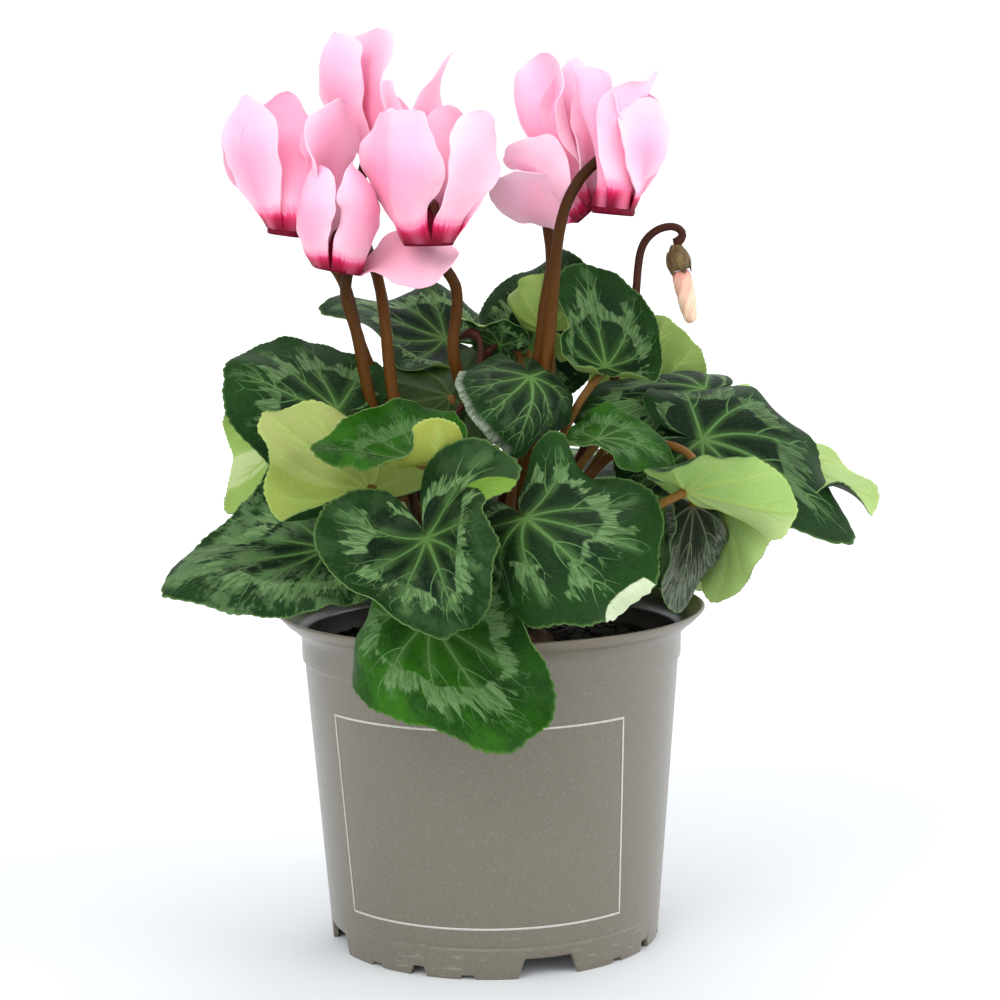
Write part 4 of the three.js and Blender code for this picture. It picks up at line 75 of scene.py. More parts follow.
    "leaf_14": {"net": [-26.7,16.6,172.9,-27.2,7.1,162.6,-16,7.2,145.7,-25.1,-9.5,131.5,-20.6,-8.5,127.4,-46.4,17.6,156.2,-36.9,13.1,160.3,-30.1,-14.4,154.7,-35.9,-2.9,144,-41.4,-16.7,120.7,-45,11.5,171.7,-55.6,-14.2,153.4,-52.5,11.8,139,-44.6,-20.5,134,-45.5,-16.5,142.2,-67.1,-3.9,179.5,-49.8,17.3,169.8,-56.9,-48.9,170.3,-64.2,-19.1,161.9,-78.5,-16,118.9,-66.2,9.8,165.6,-103.5,-20.8,165.2,-35.8,0.6,170.4,-104.9,-23.1,138.2,-72.3,-27,167.7],
                "stalk": [-13.3,-1.2,88.9,-17.3,-1.4,98.9,-21.4,-1.2,108.6,-25.5,-0.5,117.8,-29.7,0.4,126.2,-33.8,1.4,133.8,-37.5,1.5,140.5,-40.4,-0.2,146,-41.8,-4.7,150]},
    "leaf_15": {"net": [-42.3,-8.9,153,-29.8,3.9,152.5,-59.2,5,165.7,-58.1,1.8,157.6,-72.1,4.1,166.5,-29.4,-8.9,145,-65.2,-4.3,146.9,-36.2,8.4,149.4,-76.3,7.6,151,-69.7,3.8,148.7,-82.8,-22.6,149.4,-31.8,-7.9,126.5,-60.4,13,131.8,-46.3,19.8,151.1,-90.1,5.6,140,-50.1,-3.7,118.5,-82.8,-8.8,137.3,-42.8,8.3,123.5,-89.9,1.3,111,-51.9,35.6,138.8,-78.9,-26.2,131.9,-53.9,-4.2,120.8,-90.6,-10.8,104.4,-63.2,14.8,148.2,-102.2,-0,113.8],
                "stalk": [-11.5,3,88.9,-14.8,3.6,96.5,-19.8,3.5,103.8,-25.7,2.9,111.7,-32.4,1.8,120.7,-40.4,1.2,130.2,-49.2,2.1,138.5,-55.7,4.1,143.2,-55.6,4.3,143.1]},
    "leaf_16": {"net": [56.8,-8.6,138.9,-21.2,13.5,94.4,85.4,-47.1,204.4,-0.3,32.5,126.9,74.6,3.5,173.4,-25.7,-5.2,86.2,160.9,-32.2,202.9,-79.7,34.7,34.8,147,-52.3,235.9,11.9,36.8,90.4,178.9,-4.2,147.9,-126.3,2.5,21.9,274.2,-83,285.2,-78.1,47.5,54.8,160.3,-45.2,254.3,-78.4,-45.1,62.5,312.1,-45,215.4,-173.6,41.1,32.9,296,-80.6,219.7,-21,65.6,50.8,222.6,-53.5,149.7,-147.8,-7.2,75.1,365.6,-79.1,132.9,-101.4,72.2,87.8,214.5,-36.8,188.1],
                "stalk": [7.7,-1.7,88.9,13.6,-3.6,96.2,21.2,-5.9,100.6,28.1,-6.4,106.1,34.9,-6,112.4,41.4,-6.2,119.5,47.1,-6.9,128.2,53.1,-7,136.7,58.6,-12.4,141.1]},
    "leaf_17": {"net": [45.8,16.3,152,93.4,2.9,159.5,36.2,-2.5,166,63.4,-7.9,108.2,54.5,-13.5,143.2,122.4,18.2,181.2,17.6,14.4,140.5,118.2,-9.9,97.7,60.3,-4.8,198.4,56,-9.2,79.8,16.1,26.8,95.8,171.4,4.1,150.5,30,8.8,219.8,83.7,5.9,-10.3,99.5,-12.7,178.9,155.7,26,163.2,26.9,22.2,130,141.1,0.5,21.7,104,-12.7,291.2,72.1,-25.7,39.7,80.8,26.6,120.7,142.2,13.8,126.5,105.6,6.4,178.7,90.7,-17.2,0,122.1,-18.5,226.7],
                "stalk": [12.6,-1,88.9,18.8,0.8,98.8,26.7,4.1,104.7,34.7,6.3,107.5,42.7,6.2,109.9,52,4.8,115.6,64.9,3.2,126,78.7,1.8,136.6,78.7,1.8,136.6]},
    "leaf_18": {"net": [60.3,35,158.6,70.9,24.4,149,80,15.4,163.1,77.9,13.6,136.5,82.3,6.6,134.5,56.8,10.9,136,58.6,29.6,178.1,71.8,-2.5,150.4,69.8,5.3,145.6,71.6,1.9,131.1,46.2,27.8,178.7,51.3,-12.9,153.1,63.5,20.7,160.8,61.2,-15.2,146.2,57.2,-9.1,136.3,34.3,7.2,133,28.5,23.8,157.9,40.6,-39.9,159.8,28.9,8.4,138.8,45.5,-2.6,130.2,16.9,17.4,165.6,28.8,-7.5,161.9,6.8,9.7,139.2,36.5,-8.6,137.6,29.9,-14,128.2],
                "stalk": [9.9,1.3,88.9,13.8,1.7,98,20.1,2.3,106.4,28.2,3.6,114.6,37.4,5.9,123.1,46.9,8.7,132,55.4,10.7,140.9,61,10.4,148.8,60.5,5.9,153]},
    "leaf_19": {"net": [8.5,-4.7,139.8,11.3,3.6,140.2,3.9,0.3,165.3,4.9,12.8,163.6,-1,17.6,176.8,0.9,-1.4,131.3,-12,-5.4,156.3,9.5,18.2,134.7,-18.2,2.6,173.6,0.1,35.2,160.9,-17.8,-0.4,136.9,-1.1,8.4,122.6,-38.6,-19.2,188.6,4.5,38.1,134.9,-35,11,148.4,-21.8,-4.8,128.5,-43.1,-6.3,161.4,0.1,22.3,112.2,-60.6,-19.1,186.9,-10.6,37.9,169.7,-41.5,-8.1,134.7,-26.5,4.2,125.5,-71.1,-6.5,176.2,-6.8,38.6,129.6,-61.6,3.7,170.2],
                "stalk": [-4.7,6.7,88.9,-5.8,8,97.5,-6.4,8,106.8,-6.7,7.3,116.9,-7.2,6.2,127.6,-7.9,5.4,138.2,-9.1,5.3,146.9,-10.3,5.8,152,-10.3,5.8,152]},
    "leaf_20": {"net": [24.1,15.2,138.2,34.5,16.2,135.8,41,12.3,136.3,53.9,15.7,131.2,59,18.2,132.2,27.7,19.7,148.6,34.3,14.8,148.2,46.9,21.2,141.5,50.9,17.5,146.7,65.8,16.8,139.1,27.9,23.1,157.3,38.9,24.8,157,45.8,5.6,160.3,57.6,22.9,149.2,59.3,31.4,154.8,33,27.4,170.6,39.6,21.2,165.1,47.1,33.3,165.3,58.5,14,168.6,66.8,18.2,161.7,32.7,30.7,175.6,44,33.4,181.6,55.6,24.4,170.3,56.9,37,169.2,71.3,26.4,169.6],
                "stalk": [10.4,5.4,88.9,12.8,4.2,93.6,15.9,5.5,100,19.3,10.2,109.5,23.7,15.8,120.8,30.2,19.9,131.7,38.5,20.7,141.9,45.7,18.2,150.2,45.7,18.2,150.2]},
    "leaf_21": {"net": [15.2,6.1,169.3,13.7,8,166.8,11.2,9.8,161.4,7.8,13,158.4,5.8,14.4,155.1,11.8,4,172.2,6.9,7,166.9,6.9,11.4,165.9,4.5,10.3,162.2,1,15.4,158.1,2.9,5.1,175.3,6.4,6.4,173.9,-1.4,5.8,167.3,-2.4,14.2,162.9,-4.4,12.4,162.5,2.9,-1.8,174.7,-6.5,4,170,1.3,10,167.9,-5.3,10,173,-5.9,20.9,167,-8.5,-2.1,171.9,0,1.8,171.4,-19.3,6.6,181.3,-0.4,16.9,171.3,-5.6,16.6,176.3],
                "stalk": [-1.4,5.3,88.9,1.4,6.7,103.3,4.1,7.1,117.3,6.4,8.2,130.5,8.5,10.2,142.6,9.7,12.4,153.3,9.8,14,161.7,7.9,13.5,166.8,3.7,9.4,166.5]},
    "leaf_22": {"net": [22.6,13.5,154.4,29.7,14.2,165.5,22.3,2.2,163,31.7,16.1,176.8,29.6,12.8,178.6,22.9,21.5,166.7,5.2,7.3,148.7,36.5,11.7,187.4,13.4,8.1,167,22.8,16.6,183.1,9.2,21.6,156.8,32.9,23.6,194.9,-20.2,-2.1,131.2,32.3,5.7,201.1,19.2,6.3,180.2,28.4,22.8,197.1,-20.8,17,138.7,36.6,20.8,207.8,-19,3.8,158.2,10.8,4.2,202.9,-12.3,28.1,154.6,36.6,28.2,205.3,-32.1,8.5,153.3,42.4,23,204.9,-4.8,18.4,174],
                "stalk": [2.2,7,88.9,3.2,8.6,98.9,5,9,109.1,7.5,8.7,119.7,10.6,7.9,130.7,14.2,6.8,142.4,17.4,5.6,154.3,18.6,5.6,164.9,16.4,10.3,170.8]},
    "leaf_23": {"net": [25.3,38.3,137.7,18.9,38.4,147.2,3.5,32,143.3,0.2,18.4,144.3,-12.2,14.5,155.3,31.9,40.7,160,21.2,25.3,152.2,6.1,39.9,156.6,-7.4,29.5,172.2,6.2,9.6,150.8,34.8,23.3,155.5,20.8,40.2,168.8,16.6,16.4,179.6,13,16.6,140.4,-3.1,11.7,206.3,38.8,43.3,189.3,42.4,18,188.4,5.2,11.9,160.4,14.8,30.5,235.4,-14.3,49.5,142.9,44.6,17.8,195.7,16.5,22.8,184.2,35.1,37.8,222.7,5.2,46.8,145.8,18.1,34.9,224.5],
                "stalk": [5.3,9.3,88.9,7.2,12.5,102,8.7,15.4,115,10,18.2,127.7,10.9,21.1,139.6,11.4,23.9,150.1,11.8,26.3,158.6,12,27.7,163.7,12.1,27.5,163.8]},
    "leaf_24": {"net": [-0,48.5,158.3,18.3,52.2,193.5,-10.5,30.6,115.9,19.5,18.8,188.5,-9.7,6.7,143.8,-1.6,67.8,191.6,-24.5,30.6,118.1,32.5,33.3,245.9,-33.1,20.4,100.5,-2.4,22.8,190.9,-20.4,14,166.2,17.5,45.4,262.7,-67.8,33.2,63.3,3.7,41.9,207.9,-28.6,1.7,130.9,-12.4,84.4,215.9,-74.1,15.7,95.9,21.5,45.7,264,-65.6,4.6,145.8,-29.9,31.9,163.6,-59.6,28.4,131.7,4.1,81.3,231.3,-126.8,-14.5,152.1,10.4,35.9,161.7,-35.8,-15.9,192.7],
                "stalk": [-4.4,10.4,88.9,-4.8,12.9,101.9,-4,14.2,115,-3.3,16,127.9,-3.7,19.5,139.8,-5.6,25.1,149.9,-8.3,30.8,158.2,-10.9,34.3,164.2,-12.4,32.4,167]},
    "leaf_25": {"net": [10.4,30.7,125.4,-0.7,23.9,128.6,-10.9,16.4,128.6,-20.1,8.1,124.8,-28.3,-0.9,117.4,1.7,42.4,121.3,-9.6,35.8,125.7,-20.2,28.6,127,-29.8,20.8,125.1,-38.7,12.2,119.8,-7.5,54.6,119.4,-19.1,48.2,124.7,-29.8,41.2,126.7,-39.5,33.3,124.9,-48.4,24.8,119.8,-15.7,65.9,113.5,-27,59.3,117.6,-37.6,52.2,119.3,-47.1,44.2,116.9,-56,35.7,111.9,-22.4,76.1,102,-33,68.9,103.6,-43.5,61.7,104.8,-53.3,53.9,103.1,-62.5,45.6,99.2],
                "stalk": [-8.7,9.4,88.9,-10.1,11,93.9,-11.5,13.4,98.6,-13.2,16.4,103.1,-14.9,19.7,107.5,-16.8,23.3,111.7,-18.9,26.9,115.8,-21.2,30.5,119.9,-24,34,123.8]},
    "leaf_26": {"net": [24.6,17.4,106.2,13.8,17.3,109.4,2.9,17.7,110.5,-7.9,18.5,109.4,-18.8,19.9,105.8,25.3,30,109.4,14.5,29.8,113.2,3.7,29.9,115.2,-7.2,30.5,115.2,-18,31.6,113,26,42.1,115.2,15.2,41.7,119.5,4.4,41.8,121.7,-6.4,42.5,121.3,-17.3,43.7,118.8,26.7,54.7,118.5,15.9,54.6,121.6,5.1,54.9,123,-5.8,55.8,121.6,-16.6,57.1,118.5,27.4,68.2,117.4,16.6,68.7,118.1,5.7,69.1,118.7,-5.1,70,117.4,-16,71.2,114.6],
                "stalk": [2.1,12.1,88.9,2.3,13.7,93,2.6,16.6,96.5,2.8,20.3,99.7,3,24.4,102.7,3.2,28.4,105.8,3.5,32,109,3.7,34.8,112.4,4,36.1,116.3]},
    "leaf_27": {"net": [34,4.2,105.1,24.9,8,112.9,15.3,12.7,118.6,5.4,18.4,122,-5,25,122.8,42,15.1,110,32.8,18.9,117.9,23.3,23.5,123.9,13.5,28.9,127.9,3.3,35.2,129.6,50.4,25,117.5,41.2,28.8,125.4,31.7,33.5,131.1,21.7,39.3,134.1,11.3,45.9,134.9,58.4,35.9,122.5,48.9,40.4,128.6,39.1,45.7,132.9,28.8,52.1,134.4,18.3,59.2,134,65.6,48.6,123,55.6,54.4,126,45.6,60.2,129,35.2,66.8,130,24.6,74.1,129.4],
                "stalk": [5.3,9.3,88.9,9.5,13,95.3,13.7,16.2,100.5,16.9,18.7,105.3,19.3,21.2,109.7,21.4,23.9,113.9,23.2,26.7,117.7,25.1,28.7,121.5,27,29.1,125.3]},
    "leaf_28": {"net": [21.5,21.3,132.3,10.9,18.7,135.3,0.6,16.2,135.5,-9.4,14,132.4,-19,12.1,126.2,18.3,33.3,136.3,7.6,30.6,139.8,-2.7,28.1,140.8,-12.8,25.8,138.9,-22.6,23.8,134.1,15.1,45.2,140.6,4.4,42.5,144.5,-6.1,40,145.7,-16.1,37.7,143.4,-25.9,35.7,138.4,12.4,57.7,139.2,1.8,55,141.8,-8.5,52.6,142.2,-18.5,50.4,139,-28.2,48.4,133.5,10.4,70.6,131.8,0.1,68.2,131.5,-10.1,65.8,130.9,-20.1,63.6,128,-29.9,61.6,123.3],
                "stalk": [-0.4,9.5,88.9,-0.5,11.6,96,-0.2,14.2,102.9,0,17,109.6,0.1,20.1,116.1,-0.2,23.4,122.3,-1.1,27.1,128.1,-2.7,30.9,133.8,-4,34,139.8]},
    "leaf_29": {"net": [41.8,-9.2,101.4,35.4,-0.5,105.8,28.5,7.5,107,21,14.7,104.3,12.9,21.1,98.1,51,-0.7,99.7,44.7,8.1,104.5,37.9,16.3,106.5,30.5,23.7,105,22.7,30.4,100.2,60.5,8.3,99.7,54.2,17.1,104.9,47.4,25.3,107,40,32.7,105.2,32.2,39.4,100.3,69.5,16.5,96.5,63,25,100.2,56,33,101.4,48.5,40.2,98.8,40.6,46.9,93.6,77.8,23.7,88.6,70.8,31.7,89.5,63.8,39.5,89.9,56.3,46.7,87.5,48.5,53.5,83],
                "stalk": [6.7,5.6,88.9,8.3,7.6,93.5,14.1,9.8,94,19.9,11.3,93.5,24.9,12.8,93.4,29.7,14.2,94.3,34.5,15.5,96.5,38.8,17.3,99.7,42,20,103.8]},
    "leaf_30": {"net": [-13.5,21.4,103.1,-22.2,14.5,106.3,-30.6,7.2,107.7,-38.8,-0.5,106.9,-46.7,-8.7,103.9,-22.5,31.4,101.4,-31.3,24.6,105.3,-39.8,17.4,107.6,-48.1,9.9,108,-56.2,2,106.3,-31.8,41.7,101.6,-40.6,35,106.2,-49.1,27.9,108.6,-57.4,20.3,108.6,-65.4,12.3,106.5,-40.6,51.2,98.3,-49.2,44.3,101.5,-57.7,37.1,103.2,-65.8,29.3,102.2,-73.8,21.2,99.4,-48.8,59.8,89.7,-57.1,52.4,90.5,-65.5,45,91.3,-73.7,37.2,90.4,-81.6,29.2,88],
                "stalk": [-8.4,5.8,88.9,-9.2,6.4,91.8,-12.9,7.6,93.7,-18.3,9.3,95.1,-24.5,11.4,96.4,-30.9,13.7,97.7,-36.8,16.2,99.5,-41.5,19,102,-44,22,105.8]},
}
FLOWERS = {
    1: {"mouth": [-53.99,0,199.6], "axis": [0.1392,0,0.9903], "side": [0.9903,0,-0.1392], "ring": 6.0, "lip": 1.2, "petals": [
        {"width": 1.0, "net": [-85.3,-6,201.8,-33.9,24.2,197.1,-90.1,-30.9,205.7,-27.7,16.3,193.1,-63.9,-31.8,206.5,-50.8,14.3,210.6,-81.7,-6,205,-49.5,1.6,210.7,-66.5,-25.5,207.1,-38.8,-5.9,211.4,-84.6,3.4,211,-66.4,0.3,227.5,-72.4,-18.2,204.7,-52.7,-5.6,230.7,-61.7,-27.6,217.4,-74,3.9,233,-67.4,2.7,220.6,-70.5,-10.5,233.5,-62.1,-15.1,221.5,-48.2,-13,234.7,-70.5,9.1,233.9,-67,-0.6,236.6,-65.9,-3.7,236.1,-62.8,-15.4,237,-57,-17.5,237.5]},
        {"width": 1.0, "net": [-50.8,-19.8,206.9,-87.2,17,195,-14,-34.1,205.4,-90.4,17.6,190.3,6.3,-7,209.1,-72.2,-4,186.1,-38.1,-19.3,228.4,-90.6,-1.2,194.6,20.7,-26.2,217.2,-118.4,26.8,200.8,-75.6,6.5,235.3,-77.6,10.5,195.4,-33.1,-51,246.8,-39.6,19.5,207.2,-20.8,-34.3,227.5,-73.1,-20.4,230.3,-46.2,-4.5,235.1,-96.4,7.1,218.5,-13.1,16.3,235.9,-72,16.7,221.6,-54.2,-14.7,228.8,-58.3,-8.1,248.1,-53.9,3.3,225.7,-50.7,9.7,248.7,-53.8,19.3,230.9]},
        {"width": 1.0, "net": [-27.2,-16.7,203.7,-84.2,-1.4,202.2,-9.9,-9.4,190.4,-80.3,14.2,208.9,-26.4,5.2,188.3,-65.9,-5.7,211.8,-35.6,-13.1,206.4,-45.5,1.6,207.9,-39.1,2,198.5,-48.6,22,206.3,-42,-15.6,211.7,-34.5,10.9,217.8,-70,5.2,212.2,-16,5.7,212.3,-39.3,13,212,-48.5,-3.3,221.8,-67.5,-9.6,220.6,-6,-3.7,225,-55.8,13.2,223.7,-37.3,15,222.2,-61.6,-9.5,229.2,-30.9,-9.5,234.5,-53,6.1,224.8,-44.4,6,230.6,-43.8,16.5,228.5]},
        {"width": 1.0, "net": [-31.5,18.8,197.4,-60,-27,203.5,-33.5,36.2,191.7,-73.9,-18.5,207.5,-49,27.8,194.7,-44,-13.1,209.4,-35,22.8,203.6,-57.7,-11.2,206.3,-45,31.3,204.6,-69.5,-5.2,205.5,-35.3,13.5,213.4,-48.7,-2.9,215.1,-43.6,23.7,212.8,-60.8,-3,212,-57.6,20.7,211.7,-40.1,3.1,222.5,-42.9,13.4,220.1,-52.4,5,220.5,-55,17.6,219.1,-63.6,9.4,218.5,-39.7,9.2,228.8,-45.9,8.8,228.9,-51.3,13.7,226,-57.1,12.1,227,-62.9,15.8,225.5]},
        {"width": 1.0, "net": [-63.1,31,201.1,-29.1,-17.1,197.8,-86.4,32.8,201.8,-37,-25.7,198.5,-84.9,10.3,205,-39.5,5.1,202.8,-66.9,28.5,210.5,-46.2,-7.8,203.5,-80.4,15.4,213.1,-58.5,-14.6,205.5,-57.4,29.1,216.3,-54.6,12,211.6,-69.4,18.7,216.8,-63.2,2.4,212.2,-83.3,10.3,215.9,-49.9,18.8,223,-58.4,18.4,224.2,-61.1,10.3,223.6,-72,9.9,224.3,-72.6,1.9,224.5,-50.8,20.5,231.8,-55.8,15.1,232.8,-61.5,9.5,230.9,-67.7,7.2,233.5,-75.3,3.8,232.6]},
    ], "stem": [-6.2,2.5,88.9,-11.9,8.9,114.3,-23,13.4,139.2,-35.9,12.3,164.4,-37.6,4.7,177.5,-40.7,10.1,188.8,-54.3,13.5,199.2,-53,1.9,221.3,-52.2,0,212.1]},
    2: {"mouth": [-40.64,-6,188.65], "axis": [0.1908,0,0.9816], "side": [0.9816,0,-0.1908], "ring": 6.6, "lip": 0, "petals": [
        {"width": 1.0, "net": [-84.6,-16.8,198.1,-9.7,17.2,182.3,-87.2,-28.8,198.9,-8.3,-3.2,177.9,-54,-22.6,201,-20.7,7.2,191.9,-91.7,-18,211.3,-15.7,-4.2,176.7,-59.4,-20.2,215.1,-32.7,-20.4,183.8,-72.6,-7,212.3,-27.5,-9.4,197.9,-72.4,-21.1,210.6,-41.4,-21.2,192.7,-38.1,-19.6,210.7,-39.7,-7,209.2,-58.1,-7.9,210.9,-47.9,-20.9,213.5,-42,-22.9,211,-39.5,-24.6,205.8,-47.3,-2.5,215.7,-48,-13.7,221.7,-43.4,-13.7,212.8,-42.4,-21.4,219.3,-35.3,-24.7,215.2]},
        {"width": 1.0, "net": [-50.2,-36.5,184.6,-60.6,13.5,200,-11.3,-44.3,177.3,-55.4,21.7,191.2,-10.6,-21.3,192.2,-8.7,11.9,221.5,-75.4,-40.7,191,-18.7,1.4,189.7,-20.9,-24.8,198.7,-55.2,5.1,197.3,-66.6,-30.4,195.1,-3.7,-14.5,209.2,-44.7,-39.3,189.2,-26.4,-0.5,212.2,-12.8,-10.1,194.4,-31.1,-26.1,216.1,-47.5,-33.8,201.9,-10.9,-12,228.1,-34.7,-17.2,195.8,-29,-3.2,221.4,-42.4,-29.2,216.6,-29.6,-23.3,224.9,-42.6,-14.4,208.9,-28.2,-12.4,222,-39.4,-6.3,207.3]},
        {"width": 1.0, "net": [-20.8,-8.6,176.4,-54.8,-20.8,197.7,-8.4,4.4,177.8,-61.1,-3.8,192.2,-18,11.1,194.4,-40.3,-20.6,189.4,-14.7,-12.9,190.6,-43.7,-1.2,188.7,-13.1,3.1,197.2,-46.1,-1.8,202.7,-18.2,-6.9,172.7,-23.3,-6.3,181.7,-18.1,-13.1,199.3,-29.5,-7.3,202,-13.8,7,201.9,-13.7,-19.2,185.9,-17.2,-13.4,186.6,-14.3,-10.4,197.9,-13.4,1.3,193.9,-15.5,2,199.9,-8,-19.1,185.3,-6.6,-15.6,192.7,-8.9,-8.1,192.5,-5.7,-2.5,194.2,-7.3,5.2,194.9]},
        {"width": 1.0, "net": [-36.9,23,190.5,-27.1,-15.5,185,-66.2,16.7,194.3,-33.9,-19.5,186.5,-57.5,-18.1,192.6,-27.8,12.7,211.3,-43.1,11.5,197.3,-52.7,0.9,199.7,-45.9,-13.6,206,-64.4,-16,191.2,-79.8,9.1,214.5,2.5,-13.5,215,-66.3,-1.5,221.5,-58.8,-13.9,203.1,-4.3,-24.4,223,8.4,9,218.8,-82.5,14.6,231.9,-9.4,-16.2,213,-56.6,-6,236.5,-66,-25.5,215.4,-51,14,239.2,-21.4,-1.1,232.2,-56.8,1,239.4,-25.7,-22.8,229.3,-54.8,-19.8,238.5]},
        {"width": 0.8, "net": [-29.9,21.5,195.1,-33.4,-32.5,183.5,-35.1,34.5,189,-54,-29,190.2,-42.9,23.3,189.6,-24.7,-14.1,195.1,-33.4,24,198.6,-38.6,-19,188,-42.9,26.2,201.9,-51,-8.3,177,-31.8,18,205.9,-36.5,0.7,201.6,-41.1,16.8,204.8,-47.5,1,191.5,-55.5,15.4,210.7,-35.9,4.3,211.7,-40.4,6.8,209.2,-43.2,-1,203.5,-49.5,-2.1,205.7,-52.1,-4.1,195.7,-37.5,2.3,217.2,-44,2.9,214.4,-43.6,-5.1,210.7,-46.3,-8,204.2,-53.6,-7.7,205.1]},
    ], "stem": [-9,0.4,88.9,-17.6,2.7,114.8,-27.8,3.8,134.1,-34.4,-0.2,157.1,-35.9,0.2,172.6,-40.4,-0.3,181.5,-36.8,-0,191.9,-32.7,-3.3,210.7,-38.2,-6,201.1]},
    3: {"mouth": [-26.59,18,210.63], "axis": [-0.2419,0,0.9703], "side": [0.9703,0,0.2419], "ring": 5.6, "lip": 0.5, "petals": [
        {"width": 1.0, "net": [-31.5,31,230.9,-16.1,28.5,192.1,-49,9.7,220.3,-4,17.8,203.9,-35.7,-5.3,219.6,-44.5,30.2,200.7,17.4,38.4,267.7,-104,7.4,160.3,19.8,1.7,259.4,-53.8,-4.8,212.1,-42.8,40.8,244.6,-101.7,3.7,194.4,40,37.4,274,-108.8,1.9,204,1.5,13.3,255.5,-54.6,29.9,240,-20.1,42.8,259.8,-110.9,-18.7,228.9,16.5,28.4,256.7,-61.7,-7.6,234,-41.8,35.5,253.6,-45.9,24,253.9,-33.3,20.8,253.7,-53.4,-1.9,253.5,-13.4,12.2,256.2]},
        {"width": 1.0, "net": [-38.1,-7.7,213.6,-11.8,61.8,203.7,-44.1,-41.7,219.8,-20.6,56.7,197.5,-15.1,-18.1,229.2,-23.8,59.7,201.9,-51.9,8.4,238.5,-9.3,0.1,194.6,-39,13.5,253.3,6.3,-11.5,193.2,-65.1,4.1,254.6,-11.4,-19.3,207.4,-85.4,53.7,256.8,21.7,-34.3,209,-77.1,2.1,251.8,-33.8,30.4,227.8,-84.6,39.2,264.8,25.3,-8,226.6,-66.7,19.6,254.8,-1.5,-15.2,234.5,-64.8,43.5,258.8,-7.5,17.9,251.5,-50.2,18.6,256.5,-13,-2.5,255.4,-25.2,-3.3,253.2]},
        {"width": 1.0, "net": [-11.2,-2.8,212.8,-51.9,23.2,208.9,8.8,-0.6,213.7,-46.9,35.2,210.7,2.8,16,214.9,-44.7,12.4,216.8,-7.2,-0.1,220.7,-37.6,19.9,216,-0.8,14.6,222.1,-27.9,26.6,217,-20.7,0.6,227.8,-37,15.5,224.9,-12.1,8.8,228.1,-26.1,18.2,226.8,-6.2,25.2,229.1,-34.6,6.2,234.4,-21.4,6.7,235.5,-27.2,16,234.2,-19.9,23.4,231.5,-27.9,26.6,231,-28.5,6.2,243.1,-30,11.4,242.8,-19.9,18.4,238.7,-30,22.1,240.2,-24.7,29.5,236.8]},
        {"width": 0.7, "net": [-3,29,217.1,-37.8,-3.2,210.8,-0.4,43.4,212.6,-47.9,8.5,209.7,-16.3,39.8,209.9,-19.4,8.8,220.2,-8.6,31.3,222.8,-33.9,11.5,213.7,-13.8,41.6,220.1,-42.9,19.8,211.4,-10.7,30.4,228.3,-23.5,20.7,223.9,-18.9,32.8,227.8,-36.6,20.1,219.3,-29.7,33.4,222.6,-17.9,22.3,234.2,-20.2,28.3,233,-29.2,23.9,229.4,-30,29.3,229.9,-39.4,26.2,225.8,-18.7,25.8,240.7,-24.7,25.3,238.9,-29.1,26.6,236.9,-35.1,26.4,234.9,-39.4,28.2,233.4]},
        {"width": 0.75, "net": [-33.2,46.1,207.4,-9.8,0.1,217.8,-49.8,51.6,201.4,-11.9,-6.7,215.6,-43.5,31.2,208.5,-16.2,20.7,217.2,-37.6,44,216.2,-22.5,12.6,216.9,-44.8,33.6,215.7,-27.1,8.2,220.5,-29.1,41.6,226.1,-26.2,28.7,222.3,-39.8,35,224.4,-33.5,23.7,224.3,-45.6,27.6,224.5,-23.3,33,232.6,-31.9,32.3,234.4,-34.5,30.6,231.5,-43.4,27.4,232.2,-46.5,23.7,231.1,-24,33.7,242.5,-29.7,31.3,240.6,-37.4,27,241.1,-45.6,27.9,237.9,-55.1,24.3,236.7]},
    ], "stem": [-6.6,-3.8,88.9,-12.5,-5.9,108.3,-18.6,-6.5,126.4,-23.9,-4,142.2,-27.2,-0,156.3,-28,0.7,172.1,-30.2,8.3,190.2,-39.5,26,205.1,-32.1,19.5,222.3]},
    4: {"mouth": [-15.67,-14,196.16], "axis": [0,0,1], "side": [1,0,-0], "ring": 6.6, "lip": 0.5, "petals": [
        {"width": 1.0, "net": [-59.6,-5.9,208.3,26.6,0.5,189.5,-76.3,-24.7,199,26.5,-13.8,195.3,-49.5,-35.3,196.4,-10.3,-1.8,191.6,-47.6,-8.1,220.4,-5.9,-13.4,192.1,-46.1,-30.4,211.3,1.9,-24.2,201.5,-41,1.2,219.3,-43.8,-26.6,211.2,-15,-9.6,219.1,-23.7,-23.9,211.8,-21.8,-34.1,213.7,-43,-13,230.2,-13.9,4.5,214.5,-43.6,-29,230.1,-10.3,-22.1,218.7,-21.1,-30.5,227.5,-24.7,0.6,226.9,-34,-16.1,242.4,-20.6,-14,216.2,-32,-25.3,243.7,-15.4,-29,230.2]},
        {"width": 1.0, "net": [-45.1,-31.1,201.8,-5.5,5.7,186.7,-45.3,-41,212.7,26.5,-14.4,167.7,-50.6,-12.3,240.7,18.4,-10.2,185.5,-78.8,-7.1,252.8,37.8,-52.8,128.5,-77.4,-4.2,285.3,36.1,-35.5,147.4,-75,-9.5,241.2,40.4,-37.3,172.5,-109.6,-14.9,274.2,45.6,-55.6,147.8,-28.2,-23.9,258,7.8,-25.7,213.6,-71.2,-9.3,240.8,17.9,-48.3,201.6,-44,-21.8,245.4,-6.9,-48.8,207,-31.2,-8.9,232.7,-21.8,-35.6,234.6,-21.1,-14,228.2,-11.5,-39.7,231.8,-12.2,-38,232.3]},
